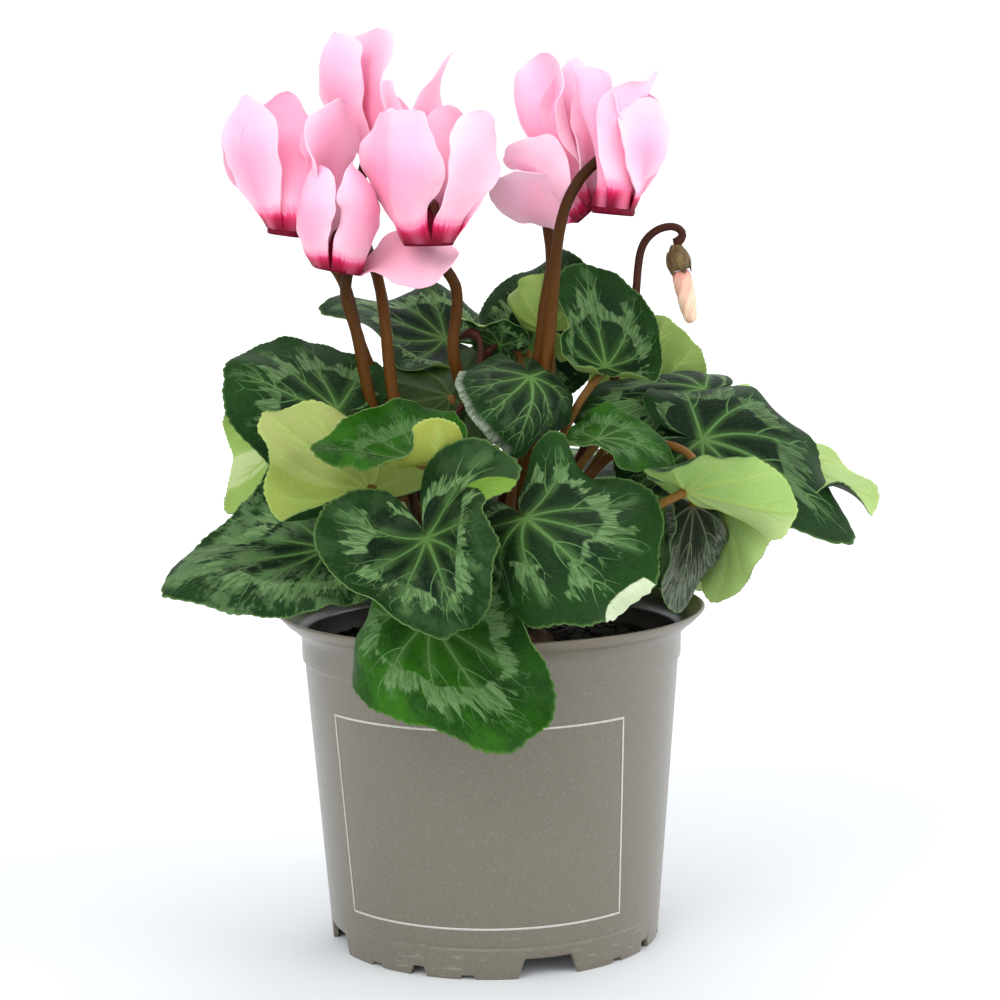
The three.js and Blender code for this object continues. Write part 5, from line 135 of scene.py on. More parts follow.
        {"width": 1.0, "net": [-23.3,-35.8,206.9,-32.3,-7.5,191.2,15,-38.3,199.1,-28.8,5.3,192.3,10.2,-14.5,202.2,22.7,-44,184.3,-46.8,-22.7,231.3,12.6,-21.7,177.7,-7,-14.9,228.8,-11.7,-3.4,189.4,-41,-28.3,240.4,39.7,-38.3,193.7,-38.7,-10.8,238.8,5.1,-18,196.7,29.2,-13.5,220.7,2,-32.8,217.7,-29,-20.3,233.8,16.9,-26.5,212.4,4,-9.2,227.2,-10.8,-2.2,220,-11.6,-31,235.6,3.9,-28,231.4,-3.1,-16.6,229.5,1.4,-13.4,232.7,8.4,-4.6,230]},
        {"width": 1.0, "net": [28.4,-10,201.3,-47.3,-37.3,195.1,32.7,11.3,194.8,-49.7,-23,198.4,3.5,12.2,193.9,-11.8,-21.9,198.9,21.2,-6.2,211.1,-30.3,-21.4,199.7,10.9,13.7,207.2,-39.4,-10.7,201.6,18.4,-4.5,221.4,-7.3,-4.1,210.2,2.7,1.5,219.2,-28.5,-14.4,210.4,-13.7,3,215.9,-1.6,-19.1,223.7,1,-12.3,226.6,-10.2,-5.1,221.7,-11.6,2.7,225.3,-26.9,-4.2,222.8,-0.5,-18.7,232.4,-11.7,-15.9,233.7,-5.6,-2.9,232.3,-13.6,-0.4,233,-20.2,3.6,234.1]},
        {"width": 0.34, "net": [-6.4,22.7,185.8,3.6,-40.9,205.2,-43.9,29.9,189.6,1.8,-40.8,199,-54.9,-7.1,198.5,5.4,-3.4,217.4,-20,9.6,193.1,-9.1,-4.1,220.4,-45.9,-10.4,197.4,-24.5,-13.4,227,-7.4,23.5,212,21.9,-1.1,242.8,-39.3,7.8,216.7,-23.3,4,251.2,-32.6,-26.2,218.3,-6.6,20.6,248.9,-29,15.5,224.6,0.2,-4.3,252.4,-15.5,-14.9,218.1,-33.7,-5.4,255.2,-4,15.6,242.7,-28,11.8,269.6,14.4,-9.3,222.4,-22,-12.5,262.2,-21.2,-3,248.8]},
    ], "stem": [-2.7,-5.3,88.9,-0.6,7.2,120.9,-3.7,10.4,147.7,-9.7,-0.4,161.1,-9.7,0.2,170.2,-6.5,2.6,185.5,-16.5,-1.1,190.8,-15.9,-10.2,217.3,-15.7,-14,208.8]},
    5: {"mouth": [29.44,8,204.68], "axis": [-0.6691,0,0.7431], "side": [0.7431,0,0.6691], "ring": 6.0, "lip": 0.3, "petals": [
        {"width": 1.0, "net": [-22.7,-29.5,168,55,56.1,228.8,9.2,-64.2,174.3,36.9,70.3,234.7,52.2,-52.6,190.4,49,-17.2,242.3,-26.8,-10.6,177.1,38.7,32.2,230.6,39.9,-38.8,211,9.8,21.4,205.1,-6.6,0.2,212.3,30.4,-14.7,236.8,10.6,26.1,222.9,42.2,-9.7,223.6,-11.6,-12.8,233.4,15.1,-9.6,242.6,-12,34.9,226,56.7,-12.4,243.2,-7.4,1.9,237.6,49.7,-15.8,234.9,-3.1,14.4,247.8,25.9,10.5,247.1,4.6,5,245.3,27.8,-10.1,248.7,11.6,-17.9,248.6]},
        {"width": 1.0, "net": [0.8,17.4,177.2,53,23.2,235.2,-5.6,-0.6,158.2,53,-2.3,244,10.8,-11.9,169.5,42.1,24.4,214.9,-8.1,10.1,189.7,41.9,4.4,221.7,-4.8,-9.5,184.7,56.6,-12.5,234.8,13.7,7.2,230.2,30.4,21.5,215.8,-9.2,-14.6,202.4,41.7,-0.5,222.1,4.3,-2.5,247.9,9.2,21.2,207.2,12.7,5.3,221,5.3,4.5,202.1,15.7,-11.2,234.3,11.2,-10.2,206.6,6,12,219.3,-3.7,6.7,213.1,17,0.5,227.4,-3.2,-2.5,212.9,10.2,-9.1,234.1]},
        {"width": 1.0, "net": [25.8,-9,182.8,22.1,31.7,216.2,26.2,-20.5,182.9,31.6,18.7,222.7,32,-15.3,197.8,26.4,21.4,203.9,22.1,-14.9,184.9,12.6,20.2,223.3,31.3,-21.8,188.4,19.9,15,239.9,13.1,6.7,193.2,15.8,22.7,208.1,16.1,-19.7,190.6,13.1,19.8,232.9,17.9,-17.6,200.9,7.9,16.9,203.4,6.2,1.7,200.1,8.8,14.1,214.6,7.4,-11.1,203.6,8.5,-1.5,221.4,-0.6,13.2,201.8,0.3,11.1,207,2.1,3.1,211.2,0.7,1,213.1,0.2,-7.1,215.2]},
        {"width": 1.0, "net": [29.6,-21.7,225.5,14.1,23.2,177.2,57.4,-19.8,237.8,12.6,32.4,186.5,53.3,3.5,223.9,14.3,8.8,203.9,25,-13,228.4,32.2,14.8,205.2,37.3,6.6,236.9,31.5,31.7,191.7,8.3,1.5,226.5,16.1,23.3,228,27.1,-1.2,231.5,35.7,29,214.5,11.9,18.3,243.9,13.7,4.9,243.5,18.7,-8.6,228.5,34.9,14.2,240.6,26.7,15.3,237.7,31.7,26.1,232.3,16.2,-11.4,243.5,31.6,-1.1,250.9,16.7,9.7,240.2,32.6,15.4,250,28.7,27.8,245.2]},
        {"width": 1.0, "net": [49.7,27.1,222.1,21.5,-21.1,200.6,47.3,47,217,14.8,-13.1,193.4,28.6,38,205.7,34.9,-1.2,213.6,41,28.1,227.5,20.9,-0.1,204.2,30.7,38.3,215.9,11.9,7.3,200.2,46.3,27.7,226.2,31,17.5,217.1,32.4,30.5,222.8,15.3,17.8,213.8,15.8,31.5,217.9,34,22.9,233.1,33.6,24.3,230.1,19.3,22.6,227.9,19.8,21.4,225.1,8.5,18.8,221.4,35,22.6,240,24.5,23.3,239.4,24.9,14.6,232.3,12.6,19.1,233.3,8.9,17.1,229.8]},
    ], "stem": [1.7,0,88.9,4.6,2.7,115,9.4,3.5,140.9,14.9,5,162.9,15.9,4.7,179.7,18.8,6.6,188.1,17.7,16.9,197.8,14.2,11.5,223.2,21,8,214.1]},
    6: {"mouth": [34.97,-4,204.76], "axis": [0.1045,0,0.9945], "side": [0.9945,0,-0.1045], "ring": 5.7, "lip": 1.6, "petals": [
        {"width": 1.0, "net": [26.5,-29.9,194.4,30.1,30.3,217.4,20.7,-52,194.3,51,30.8,212.9,30.5,-43.3,199.4,55,0.7,234.1,40.5,-17.9,206,-0.2,-2.9,214.3,69.3,-38.7,214.2,21.9,14.2,218.4,2.9,-13.6,216,35.7,-5.3,222.2,44.4,-31,228.1,5.6,6.7,220.8,68.9,-16.8,230.3,44.4,-4.2,237,8.5,-4.3,233.2,25.5,-17.6,238.2,52.2,-7.2,231.9,16.3,-23.2,227.8,19.3,9.5,241.4,25.6,-12.5,254.1,33,0.1,230.4,32.6,-19,249.8,39.7,-21.5,236.5]},
        {"width": 1.0, "net": [-13.4,-57.5,226.6,80.8,45.1,182.6,-34.9,-66.5,231.9,144.7,37.7,169.1,-86,-26.4,246.4,72.9,4.7,202.7,-39,-50.6,233,137.4,16.1,183.2,-71.7,-39.2,259.7,163.9,37.9,151.3,-11.3,-24.3,227.3,84.2,15.8,230.9,-26.4,-61.1,237.7,158,63.6,183.9,-84.7,-36.9,276,47.2,-9.5,255.6,4.2,-34.6,221.7,95.6,22.4,231.8,-24,-30.2,246.9,101.3,28.8,216.5,37.5,-30,232.6,59.8,-11,244.3,24.9,-15.5,243.3,72.6,6.3,238.7,30.4,4.5,244]},
        {"width": 1.0, "net": [73.6,-20.6,199.1,-7.5,-6.1,210,92,-9.6,199.1,-4.9,6.5,206.2,73.3,4.8,207,-1,-8.9,208,84,-20.4,211,11.3,0,208.7,71.3,-0.8,215.1,24,10.3,207.5,63,-24.9,220.1,16.4,-10.4,213.5,57.1,-6,224.3,38.6,-4.5,214.9,67.5,1.1,218,23.2,-16.2,224.1,46,-10.2,229.6,42.1,-14.2,223.8,49.4,3.6,227,50,1.6,227.4,34.3,-14.4,234.5,37.7,-17.3,234.9,49.7,-4.2,234,46.4,-4.5,234.1,50.6,5.9,234.4]},
        {"width": 1.0, "net": [62.3,11.9,203.1,25.1,-29.8,207.7,56.9,31.7,199,15.9,-23.1,210.2,36.5,23.8,202.2,46,-7.3,210.5,56.5,12.9,211.3,30.1,-11.1,211.4,42.9,24.2,211.3,19.1,-5,212.2,55.8,3.3,221.7,43.5,4.7,218.4,45.4,12.9,221.1,29.3,0.3,218.5,31.5,17.2,220.7,52.3,1.8,227.4,47.2,3.4,229.7,38.9,5.7,227.2,35.5,9.7,229.4,25.5,6.6,227.3,52.8,0.8,237,46.5,3.7,235.9,40,5.8,237.7,33,7.8,235.7,27.2,10.3,236.4]},
        {"width": 1.0, "net": [15.4,13.9,205.9,62.9,-11.2,204.6,-4,13.4,205.3,56.8,-18.2,205.1,7.1,1.4,206.8,47.4,-5.2,207.7,15,8.7,215.8,43.4,-8.6,210.1,8.6,3.8,214.4,38.9,-13,214.3,23.2,6.3,217.5,36.3,-4.5,216.3,20.6,-0.1,222.7,35.7,-7.8,221.8,16.2,-0.8,226.5,34.5,0.4,223.3,26.9,4.4,226.6,31.2,-0.8,227.2,21.3,1.8,229.8,24.7,-4.1,231.5,32.9,4.6,231.6,32.6,3.2,233.7,29.8,1.7,235.2,25.8,0.8,237.3,21.5,-2.6,239.3]},
    ], "stem": [0.3,-3.5,88.9,7.7,-6.1,120.6,15.8,-5.6,154.1,18.6,-3.9,183.8,20,-8,203.4,26.8,-8,215,34.8,-2.8,219.8,37.2,-5.3,222.8,36.3,-4,217.3]},
}
BUD = {"top": [53.2,13,194.22], "axis": [0.1828,0,-0.9832], "stem": [2.5,3.2,88.9,19.4,8.6,121.5,34.7,12.8,151.2,43.2,14.7,176.2,42,14.1,195.7,53,12.5,200.4,56.8,12.3,195.9,53.2,13,194.2,53.2,13,194.2]}
YOUNG_BUDS = [[-4.5,-0.8,88.9,-6.5,-1.9,99,-9.6,-4.4,109.6,-13,-6.3,121.4,-14.8,-5.3,134.3,-10.9,-0.1,146.6,-0.8,3.3,157.6,-1.4,4.7,173.4,-7.9,6,168.8], [-2,1.8,88.9,-0.1,3.2,102.6,2.2,4.2,116.4,4.2,5,129.7,6.6,4.9,141.4,7.3,3.8,150.6,1.8,4.2,156.7,-5.1,7.5,162.3,2.7,9,166.5]]
PETAL_LOOKS = {
    1: [{'deep': 0.7}, {'deep': 0.3}, {}, {}, {'deep': 0.5}],
    2: [{}, {}, {'dusty': 0.6}, {}, {}],
    3: [{'deep': 0.75}, {'deep': 0.75}, {'deep': 0.75}, {'deep': 0.75}, {'deep': 0.75}],
    4: [{}, {}, {'pale_and_painted_light': 0.45}, {'pale_and_painted_light': 0.3}, {'pale_and_painted_light': 0.2}],
    # flower 5: the paling of its second and third petals is painted light, lifting petals that face away from the lamps
    5: [{}, {'deep': 0.0, 'pale_and_painted_light': 0.35}, {'deep': 0.0, 'pale_and_painted_light': 0.1}, {}, {}],
    6: [{'deep': 0.95}, {'deep': 0.95}, {'deep': 0.95}, {'deep': 0.95}, {'deep': 0.95}],
}
LOOKS = {
    # leaf_01's stalk lies in shadow behind its blade and is darkened as painted shade
    "leaf_01": {'tint': 0.0, 'silver': 1.2, 'flap': [[-0.16, 0.36], [-0.165, 0.72], [0.09, 0.72]], 'painted_shade': 0.85, 'flap_cols': [[84, 122, 36], [122, 158, 60]]},
    "leaf_02": {'tint': 0.12, 'silver': 0.85, 'flap': [[0.83, 0.225], [1.4, 0.5], [1.0, -0.235]], 'flap_cols': [[172, 188, 146], [206, 216, 186]], 'upale': [[-20, 30, 0.75, 0.95]]},
    "leaf_03": {'tint': 0.9, 'silver': 0.7, 'tgrad': [-90, 0.25, 1.0]},
    "leaf_06": {'under': 0.05, 'yellow': 0.0, 'upale': [[2, 100, 0.0, 0.22]]},
    "leaf_07": {'under': 0.12, 'yellow': 0.0, 'both': 'under'},
    "leaf_04": {'silver': 0.6, 'both': 'top'},
    "leaf_08": {'tint': 0.85, 'silver': 0.5, 'under': 0.0, 'yellow': 0.95, 'upale': [[-130, -88, 0.6, 0.9]]},
    "leaf_12": {'tint': 0.0, 'silver': 0.15, 'pale': [[-112, -4, 0.9]]},
    "leaf_10": {'under': 0.0, 'yellow': 0.6, 'upale': [[-40, 60, 0.3, 0.12]]},
    "leaf_11": {'silver': 1.75},
    "leaf_17": {'yellow': 0.0, 'under': 0.15},
    "leaf_19": {'yellow': 0.6, 'shade': 1.0},
    "leaf_16": {'silver': 0.5},
    "leaf_09": {'tint': 0.7, 'silver': 0.4},
    "leaf_15": {'yellow': 0.2, 'upale': [[20, 50, 0.3, 0.4]]},
    "leaf_14": {'silver': 0.7, 'tint': 0.1},
    "leaf_13": {'silver': 0.75, 'tint': 0.1},
    "leaf_18": {'silver': 0.7},
    "leaf_20": {'shade': 0.3},
}
DARK_A = (7, 24, 13)
DARK_B = (11, 34, 15)
OUT_A = (14, 41, 13)
OUT_B = (25, 59, 18)
TINT_A = (20, 62, 7)
TINT_B = (43, 98, 13)
SIL_A = (70, 104, 58)
SIL_B = (90, 125, 74)
SIL_C = (98, 133, 82)
SIL_D = (124, 155, 104)
POT_A = (102, 96, 83)
POT_B = (110, 103, 90)
LINE_A0 = (-54.2, -55.6)
LINE_A1 = (45.2, 42.6)
LINE_Z0 = 14.3
LINE_Z1 = 69.4
STEM_R0 = 2.0
STEM_R1 = 1.45
WORLD = 0.97
LIGHTS = [['key', [-0.9, -1.5, 1.5], [0, 0, 0.12], 1.1, 14.0], ['fill', [1.5, -0.7, 0.7], [0, 0, 0.12], 1.2, 10.0], ['back', [0.3, 1.1, 1.4], [0, 0, 0.12], 1.0, 6.0], ['low', [-0.25, -1.0, 0.03], [-0.02, 0, 0.2], 0.9, 3.5], ['side', [1.25, 0.42, 0.1], [0.0, 0, 0.06], 0.7, 4.0]]

# ---------------------------------------------------------------- surfaces and curves
LEAF_DOM = (-0.62, 1.06, -0.70, 0.70)
PETAL_DOM = (0.0, 1.0, -0.42, 0.42)
OUT_DEG = [0, 8, 16, 30, 45, 60, 75, 90, 105, 120, 135, 148, 158, 166, 172, 176, 180]
OUT_R = [1.0, .955, .91, .835, .775, .73, .695, .67, .655, .64, .62, .575, .50, .39, .27, .15, .05]
PET_X = [0, .06, .14, .25, .38, .5, .62, .74, .84, .91, .96, .985, 1]
PET_W = [.115, .13, .165, .222, .285, .325, .345, .34, .31, .262, .20, .14, .02]


def smooth_table(xs, ys, n=721):
    """a table of the curve through the points, slightly rounded"""
    x = np.linspace(xs[0], xs[-1], n)
    y = np.interp(x, xs, ys)
    k = np.hanning(25)
    k /= k.sum()
    pad = np.concatenate([2 * y[0] - y[12:0:-1], y, 2 * y[-1] - y[-2:-14:-1]])
    return x, np.convolve(pad, k, mode="valid")


def outline(theta):
    """leaf outline radius, in leaf lengths, by angle in radians"""
    x, y = OUTT
    return np.interp(np.abs(np.degrees(theta)), x, y)


_x, _y = smooth_table(OUT_DEG, OUT_R)
_y = np.where(_x < 6, 1.0 - (1.0 - np.interp(6, _x, _y)) * (_x / 6) ** 1.1, _y)
OUTT = (_x, _y)


def bern(t):
    t = np.asarray(t)
    return np.stack([math.comb(4, k) * t ** k * (1 - t) ** (4 - k) for k in range(5)], -1)


def patch(net, dom, x, y):
    a = bern((x - dom[0]) / (dom[1] - dom[0]))
    b = bern((y - dom[2]) / (dom[3] - dom[2]))
    return np.einsum("...i,...j,ijk->...k", a, b, net)


def frame_at(net, dom, x, y):
    e = 0.004
    dx = patch(net, dom, x + e, y) - patch(net, dom, x - e, y)
    dy = patch(net, dom, x, y + e) - patch(net, dom, x, y - e)
    n = np.cross(dx, dy)
    return unit(n), dx / (2 * e), dy / (2 * e)


def unit(v):
    return v / np.maximum(np.linalg.norm(v, axis=-1, keepdims=True), 1e-9)


KN = [0, 0, 0, 0, 1 / 6, 2 / 6, 3 / 6, 4 / 6, 5 / 6, 1, 1, 1, 1]


def bspline(ctrl, t):
    ctrl = np.array(ctrl, float).reshape(-1, 3)
    t = np.clip(np.asarray(t, float), 0, 1 - 1e-9)
    B = [[((t >= KN[i]) & (t < KN[i + 1])).astype(float) for i in range(12)]]
    for p in (1, 2, 3):
        row = []
        for i in range(12 - p):
            a, b = KN[i + p] - KN[i], KN[i + p + 1] - KN[i + 1]
            w = 0
            if a:
                w = w + (t - KN[i]) / a * B[-1][i]
            if b:
                w = w + (KN[i + p + 1] - t) / b * B[-1][i + 1]
            row.append(w if not np.isscalar(w) else np.zeros_like(t))
        B.append(row)
    return sum(B[3][i][:, None] * ctrl[i] for i in range(9))


def even(path, n):
    """n points evenly spaced along a polyline"""
    s = np.concatenate([[0], np.cumsum(np.linalg.norm(np.diff(path, axis=0), axis=1))])
    q = np.linspace(0, s[-1], n)
    return np.stack([np.interp(q, s, path[:, k]) for k in range(3)], -1), s[-1]


def lattice(p, seed):
    """smooth value noise in -1..1 at points p (n,3)"""
    p = np.asarray(p, float)
    i = np.floor(p).astype(np.int64)
    f = p - i
    f = f * f * (3 - 2 * f)
    out = 0
    for dx in (0, 1):
        for dy in (0, 1):
            for dz in (0, 1):
                h = (i[:, 0] + dx) * 374761393 + (i[:, 1] + dy) * 668265263 + (i[:, 2] + dz) * 2147483647 + seed * 1274126177
                h = (h ^ (h >> 13)) * 1274126177
                h = (h ^ (h >> 16)) & 0xFFFF
                w = (f[:, 0] if dx else 1 - f[:, 0]) * (f[:, 1] if dy else 1 - f[:, 1]) * (f[:, 2] if dz else 1 - f[:, 2])
                out = out + w * (h / 32767.5 - 1)
    return out


# ---------------------------------------------------------------- mesh building
class Builder:
    def __init__(self, layers=("uv", "polar", "aux", "aux2")):
        self.v, self.f, self.m, self.n = [], [], [], 0
        self.layers = layers
        self.uv = {k: [] for k in layers}

    def add(self, pts, faces, mat=0, **uv):
        pts = np.asarray(pts, float).reshape(-1, 3)
        self.v.append(pts)
        for k in self.layers:
            a = uv.get(k)
            if a is None:
                a = np.zeros((len(pts), 2))
            a = np.broadcast_to(np.asarray(a, float), (len(pts), 2))
            self.uv[k].append(a)
        for q in faces:
            self.f.append(tuple(int(i) + self.n for i in q))
        self.m.extend([mat] * len(faces) if np.isscalar(mat) else list(mat))
        self.n += len(pts)

    def make(self, name, mats, node=None, smooth=True):
        v = np.concatenate(self.v)
        v = (v + np.array([OX, OY, 0])) / 1000.0
        me = bpy.data.meshes.new(name)
        me.from_pydata(v.tolist(), [], self.f)
        loops = np.empty(len(me.loops), dtype=np.int32)
        me.loops.foreach_get("vertex_index", loops)
        for k in self.layers:
            u = np.concatenate(self.uv[k])
            lay = me.uv_layers.new(name=k)
            lay.data.foreach_set("uv", u[loops].astype(np.float32).ravel())
        me.polygons.foreach_set("material_index", np.array(self.m, dtype=np.int32))
        me.polygons.foreach_set("use_smooth", np.full(len(me.polygons), smooth))
        for m in mats:
            me.materials.append(m)
        me.update()
        ob = bpy.data.objects.new(name, me)
        bpy.context.scene.collection.objects.link(ob)
        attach(ob, "root")
        if node:
            for nn in ([node] if isinstance(node, str) else node):
                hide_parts(nn)
        return ob


def grid_faces(nu, nv, close_v=False, flip=False, base=0):
    out = []
    for i in range(nu - 1):
        for j in range(nv if close_v else nv - 1):
            a, b = base + i * nv + j, base + i * nv + (j + 1) % nv
            c, d = a + nv, b + nv
            out.append((a, b, d, c) if flip else (a, c, d, b))
    return out


def sweep(b, path, radius, sides, mat=0, cap0=True, cap1=True, rough=0.0, seed=1, **uv):
    """a tube of changing radius along a path, closed at both ends"""
    path = np.asarray(path)
    n = len(path)
    t = unit(np.gradient(path, axis=0))
    r = np.broadcast_to(np.asarray(radius, float), (n,))
    ref = np.array([0.0, 1.0, 0.0]) if abs(t[0][1]) < .9 else np.array([1.0, 0, 0])
    u = unit(np.cross(t[0], ref))
    rings = []
    s = np.concatenate([[0], np.cumsum(np.linalg.norm(np.diff(path, axis=0), axis=1))])
    ang = np.linspace(0, 2 * np.pi, sides + 1)
    for i in range(n):
        u = unit(u - np.dot(u, t[i]) * t[i])
        w = np.cross(t[i], u)
        rr = r[i] * np.ones(sides + 1)
        if rough:
            q = np.stack([np.cos(ang) * 1.3, np.sin(ang) * 1.3, np.full(sides + 1, s[i] * .35)], -1)
            rr = rr * (1 + rough * lattice(q * 1.7, seed))
        rings.append(path[i] + rr[:, None] * (np.cos(ang)[:, None] * u + np.sin(ang)[:, None] * w))
    P = np.concatenate(rings)
    U = np.stack([np.tile(ang / (2 * np.pi), n), np.repeat(s / 100.0, sides + 1)], -1)
    f = grid_faces(n, sides + 1, flip=True)
    base = len(P)
    ends = [path[0] - t[0] * r[0] * .35, path[-1] + t[-1] * r[-1] * .35]
    P = np.concatenate([P, ends])
    U = np.concatenate([U, [[.5, 0], [.5, s[-1] / 100.0]]])
    if cap0:
        f += [(base, j + 1, j) for j in range(sides)]
    if cap1:
        k = (n - 1) * (sides + 1)
        f += [(base + 1, k + j, k + j + 1) for j in range(sides)]
    uv["uv"] = U
    b.add(P, f, mat, **uv)
    return s[-1]


# ---------------------------------------------------------------- shader helper
def lin(rgb):
    out = []
    for c in rgb:
        c = c / 255.0
        out.append(c / 12.92 if c <= 0.04045 else ((c + 0.055) / 1.055) ** 2.4)
    return (*out, 1.0)


class Mat:
    def __init__(self, name):
        self.mat = bpy.data.materials.new(name)
        self.mat.use_nodes = True
        self.nt = self.mat.node_tree
        self.nt.nodes.clear()
        self.out = self.nt.nodes.new("ShaderNodeOutputMaterial")
        self.bsdf = self.nt.nodes.new("ShaderNodeBsdfPrincipled")
        self.nt.links.new(self.bsdf.outputs[0], self.out.inputs[0])

    def put(self, sock, val):
        if isinstance(val, bpy.types.NodeSocket):
            self.nt.links.new(val, sock)
        else:
            sock.default_value = val

    def set(self, **kw):
        names = dict(color="Base Color", rough="Roughness", ior="IOR", spec="Specular IOR Level", sss="Subsurface Weight",
                     sss_radius="Subsurface Radius", sss_scale="Subsurface Scale", coat="Coat Weight", coat_rough="Coat Roughness",
                     sheen="Sheen Weight", sheen_rough="Sheen Roughness", normal="Normal")
        for k, v in kw.items():
            if k == "color" and isinstance(v, tuple) and len(v) == 3:
                v = lin(v)
            self.put(self.bsdf.inputs[names[k]], v)
        return self

    def uv(self, layer):
        n = self.nt.nodes.new("ShaderNodeUVMap")
        n.uv_map = layer
        return n.outputs[0]

    def obj(self):
        return self.nt.nodes.new("ShaderNodeTexCoord").outputs["Object"]

    def sep(self, v):
        n = self.nt.nodes.new("ShaderNodeSeparateXYZ")
        self.put(n.inputs[0], v)
        return n.outputs[0], n.outputs[1], n.outputs[2]

    def com(self, x, y, z=0.0):
        n = self.nt.nodes.new("ShaderNodeCombineXYZ")
        for i, v in enumerate((x, y, z)):
            self.put(n.inputs[i], v)
        return n.outputs[0]

    def m(self, op, a, b=0.0, c=0.0, clamp=False):
        n = self.nt.nodes.new("ShaderNodeMath")
        n.operation = op
        n.use_clamp = clamp
        self.put(n.inputs[0], a)
        self.put(n.inputs[1], b)
        self.put(n.inputs[2], c)
        return n.outputs[0]

    def add(self, a, b): return self.m("ADD", a, b)
    def sub(self, a, b): return self.m("SUBTRACT", a, b)
    def mul(self, a, b): return self.m("MULTIPLY", a, b)
    def ma(self, a, b, c): return self.m("MULTIPLY_ADD", a, b, c)

    def step(self, v, a, b):
        """0 at a, 1 at b, smooth between; a may be greater than b"""
        n = self.nt.nodes.new("ShaderNodeMapRange")
        n.interpolation_type = "SMOOTHSTEP"
        inv = a > b
        self.put(n.inputs["Value"], v)
        n.inputs["From Min"].default_value = min(a, b)
        n.inputs["From Max"].default_value = max(a, b)
        n.inputs["To Min"].default_value = 1.0 if inv else 0.0
        n.inputs["To Max"].default_value = 0.0 if inv else 1.0
        return n.outputs[0]

    def noise(self, vec, scale=1.0, detail=2.0, rough=0.5, dist=0.0):
        n = self.nt.nodes.new("ShaderNodeTexNoise")
        self.put(n.inputs["Vector"], vec)
        n.inputs["Scale"].default_value = scale
        n.inputs["Detail"].default_value = detail
        n.inputs["Roughness"].default_value = rough
        n.inputs["Distortion"].default_value = dist
        return n.outputs["Fac"]

    def cells(self, vec, scale, feature="DISTANCE_TO_EDGE"):
        n = self.nt.nodes.new("ShaderNodeTexVoronoi")
        n.feature = feature
        self.put(n.inputs["Vector"], vec)
        n.inputs["Scale"].default_value = scale
        return n.outputs["Distance"]

    def mix(self, f, a, b, mode="MIX"):
        n = self.nt.nodes.new("ShaderNodeMix")
        n.data_type = "RGBA"
        n.blend_type = mode
        self.put(n.inputs["Factor"], f)
        self.put(n.inputs[6], lin(a) if isinstance(a, tuple) and len(a) == 3 else a)
        self.put(n.inputs[7], lin(b) if isinstance(b, tuple) and len(b) == 3 else b)
        return n.outputs[2]

    def ramp(self, f, stops, kind="EASE"):
        n = self.nt.nodes.new("ShaderNodeValToRGB")
        n.color_ramp.interpolation = kind
        e = n.color_ramp.elements
        while len(e) > 1:
            e.remove(e[-1])
        e[0].position, e[0].color = stops[0][0], lin(stops[0][1])
        for p, c in stops[1:]:
            k = e.new(p)
            k.color = lin(c)
        self.put(n.inputs[0], f)
        return n.outputs[0]

    def bump(self, height, dist, strength=1.0):
        n = self.nt.nodes.new("ShaderNodeBump")
        n.inputs["Strength"].default_value = strength
        n.inputs["Distance"].default_value = dist
        self.put(n.inputs["Height"], height)
        return n.outputs[0]


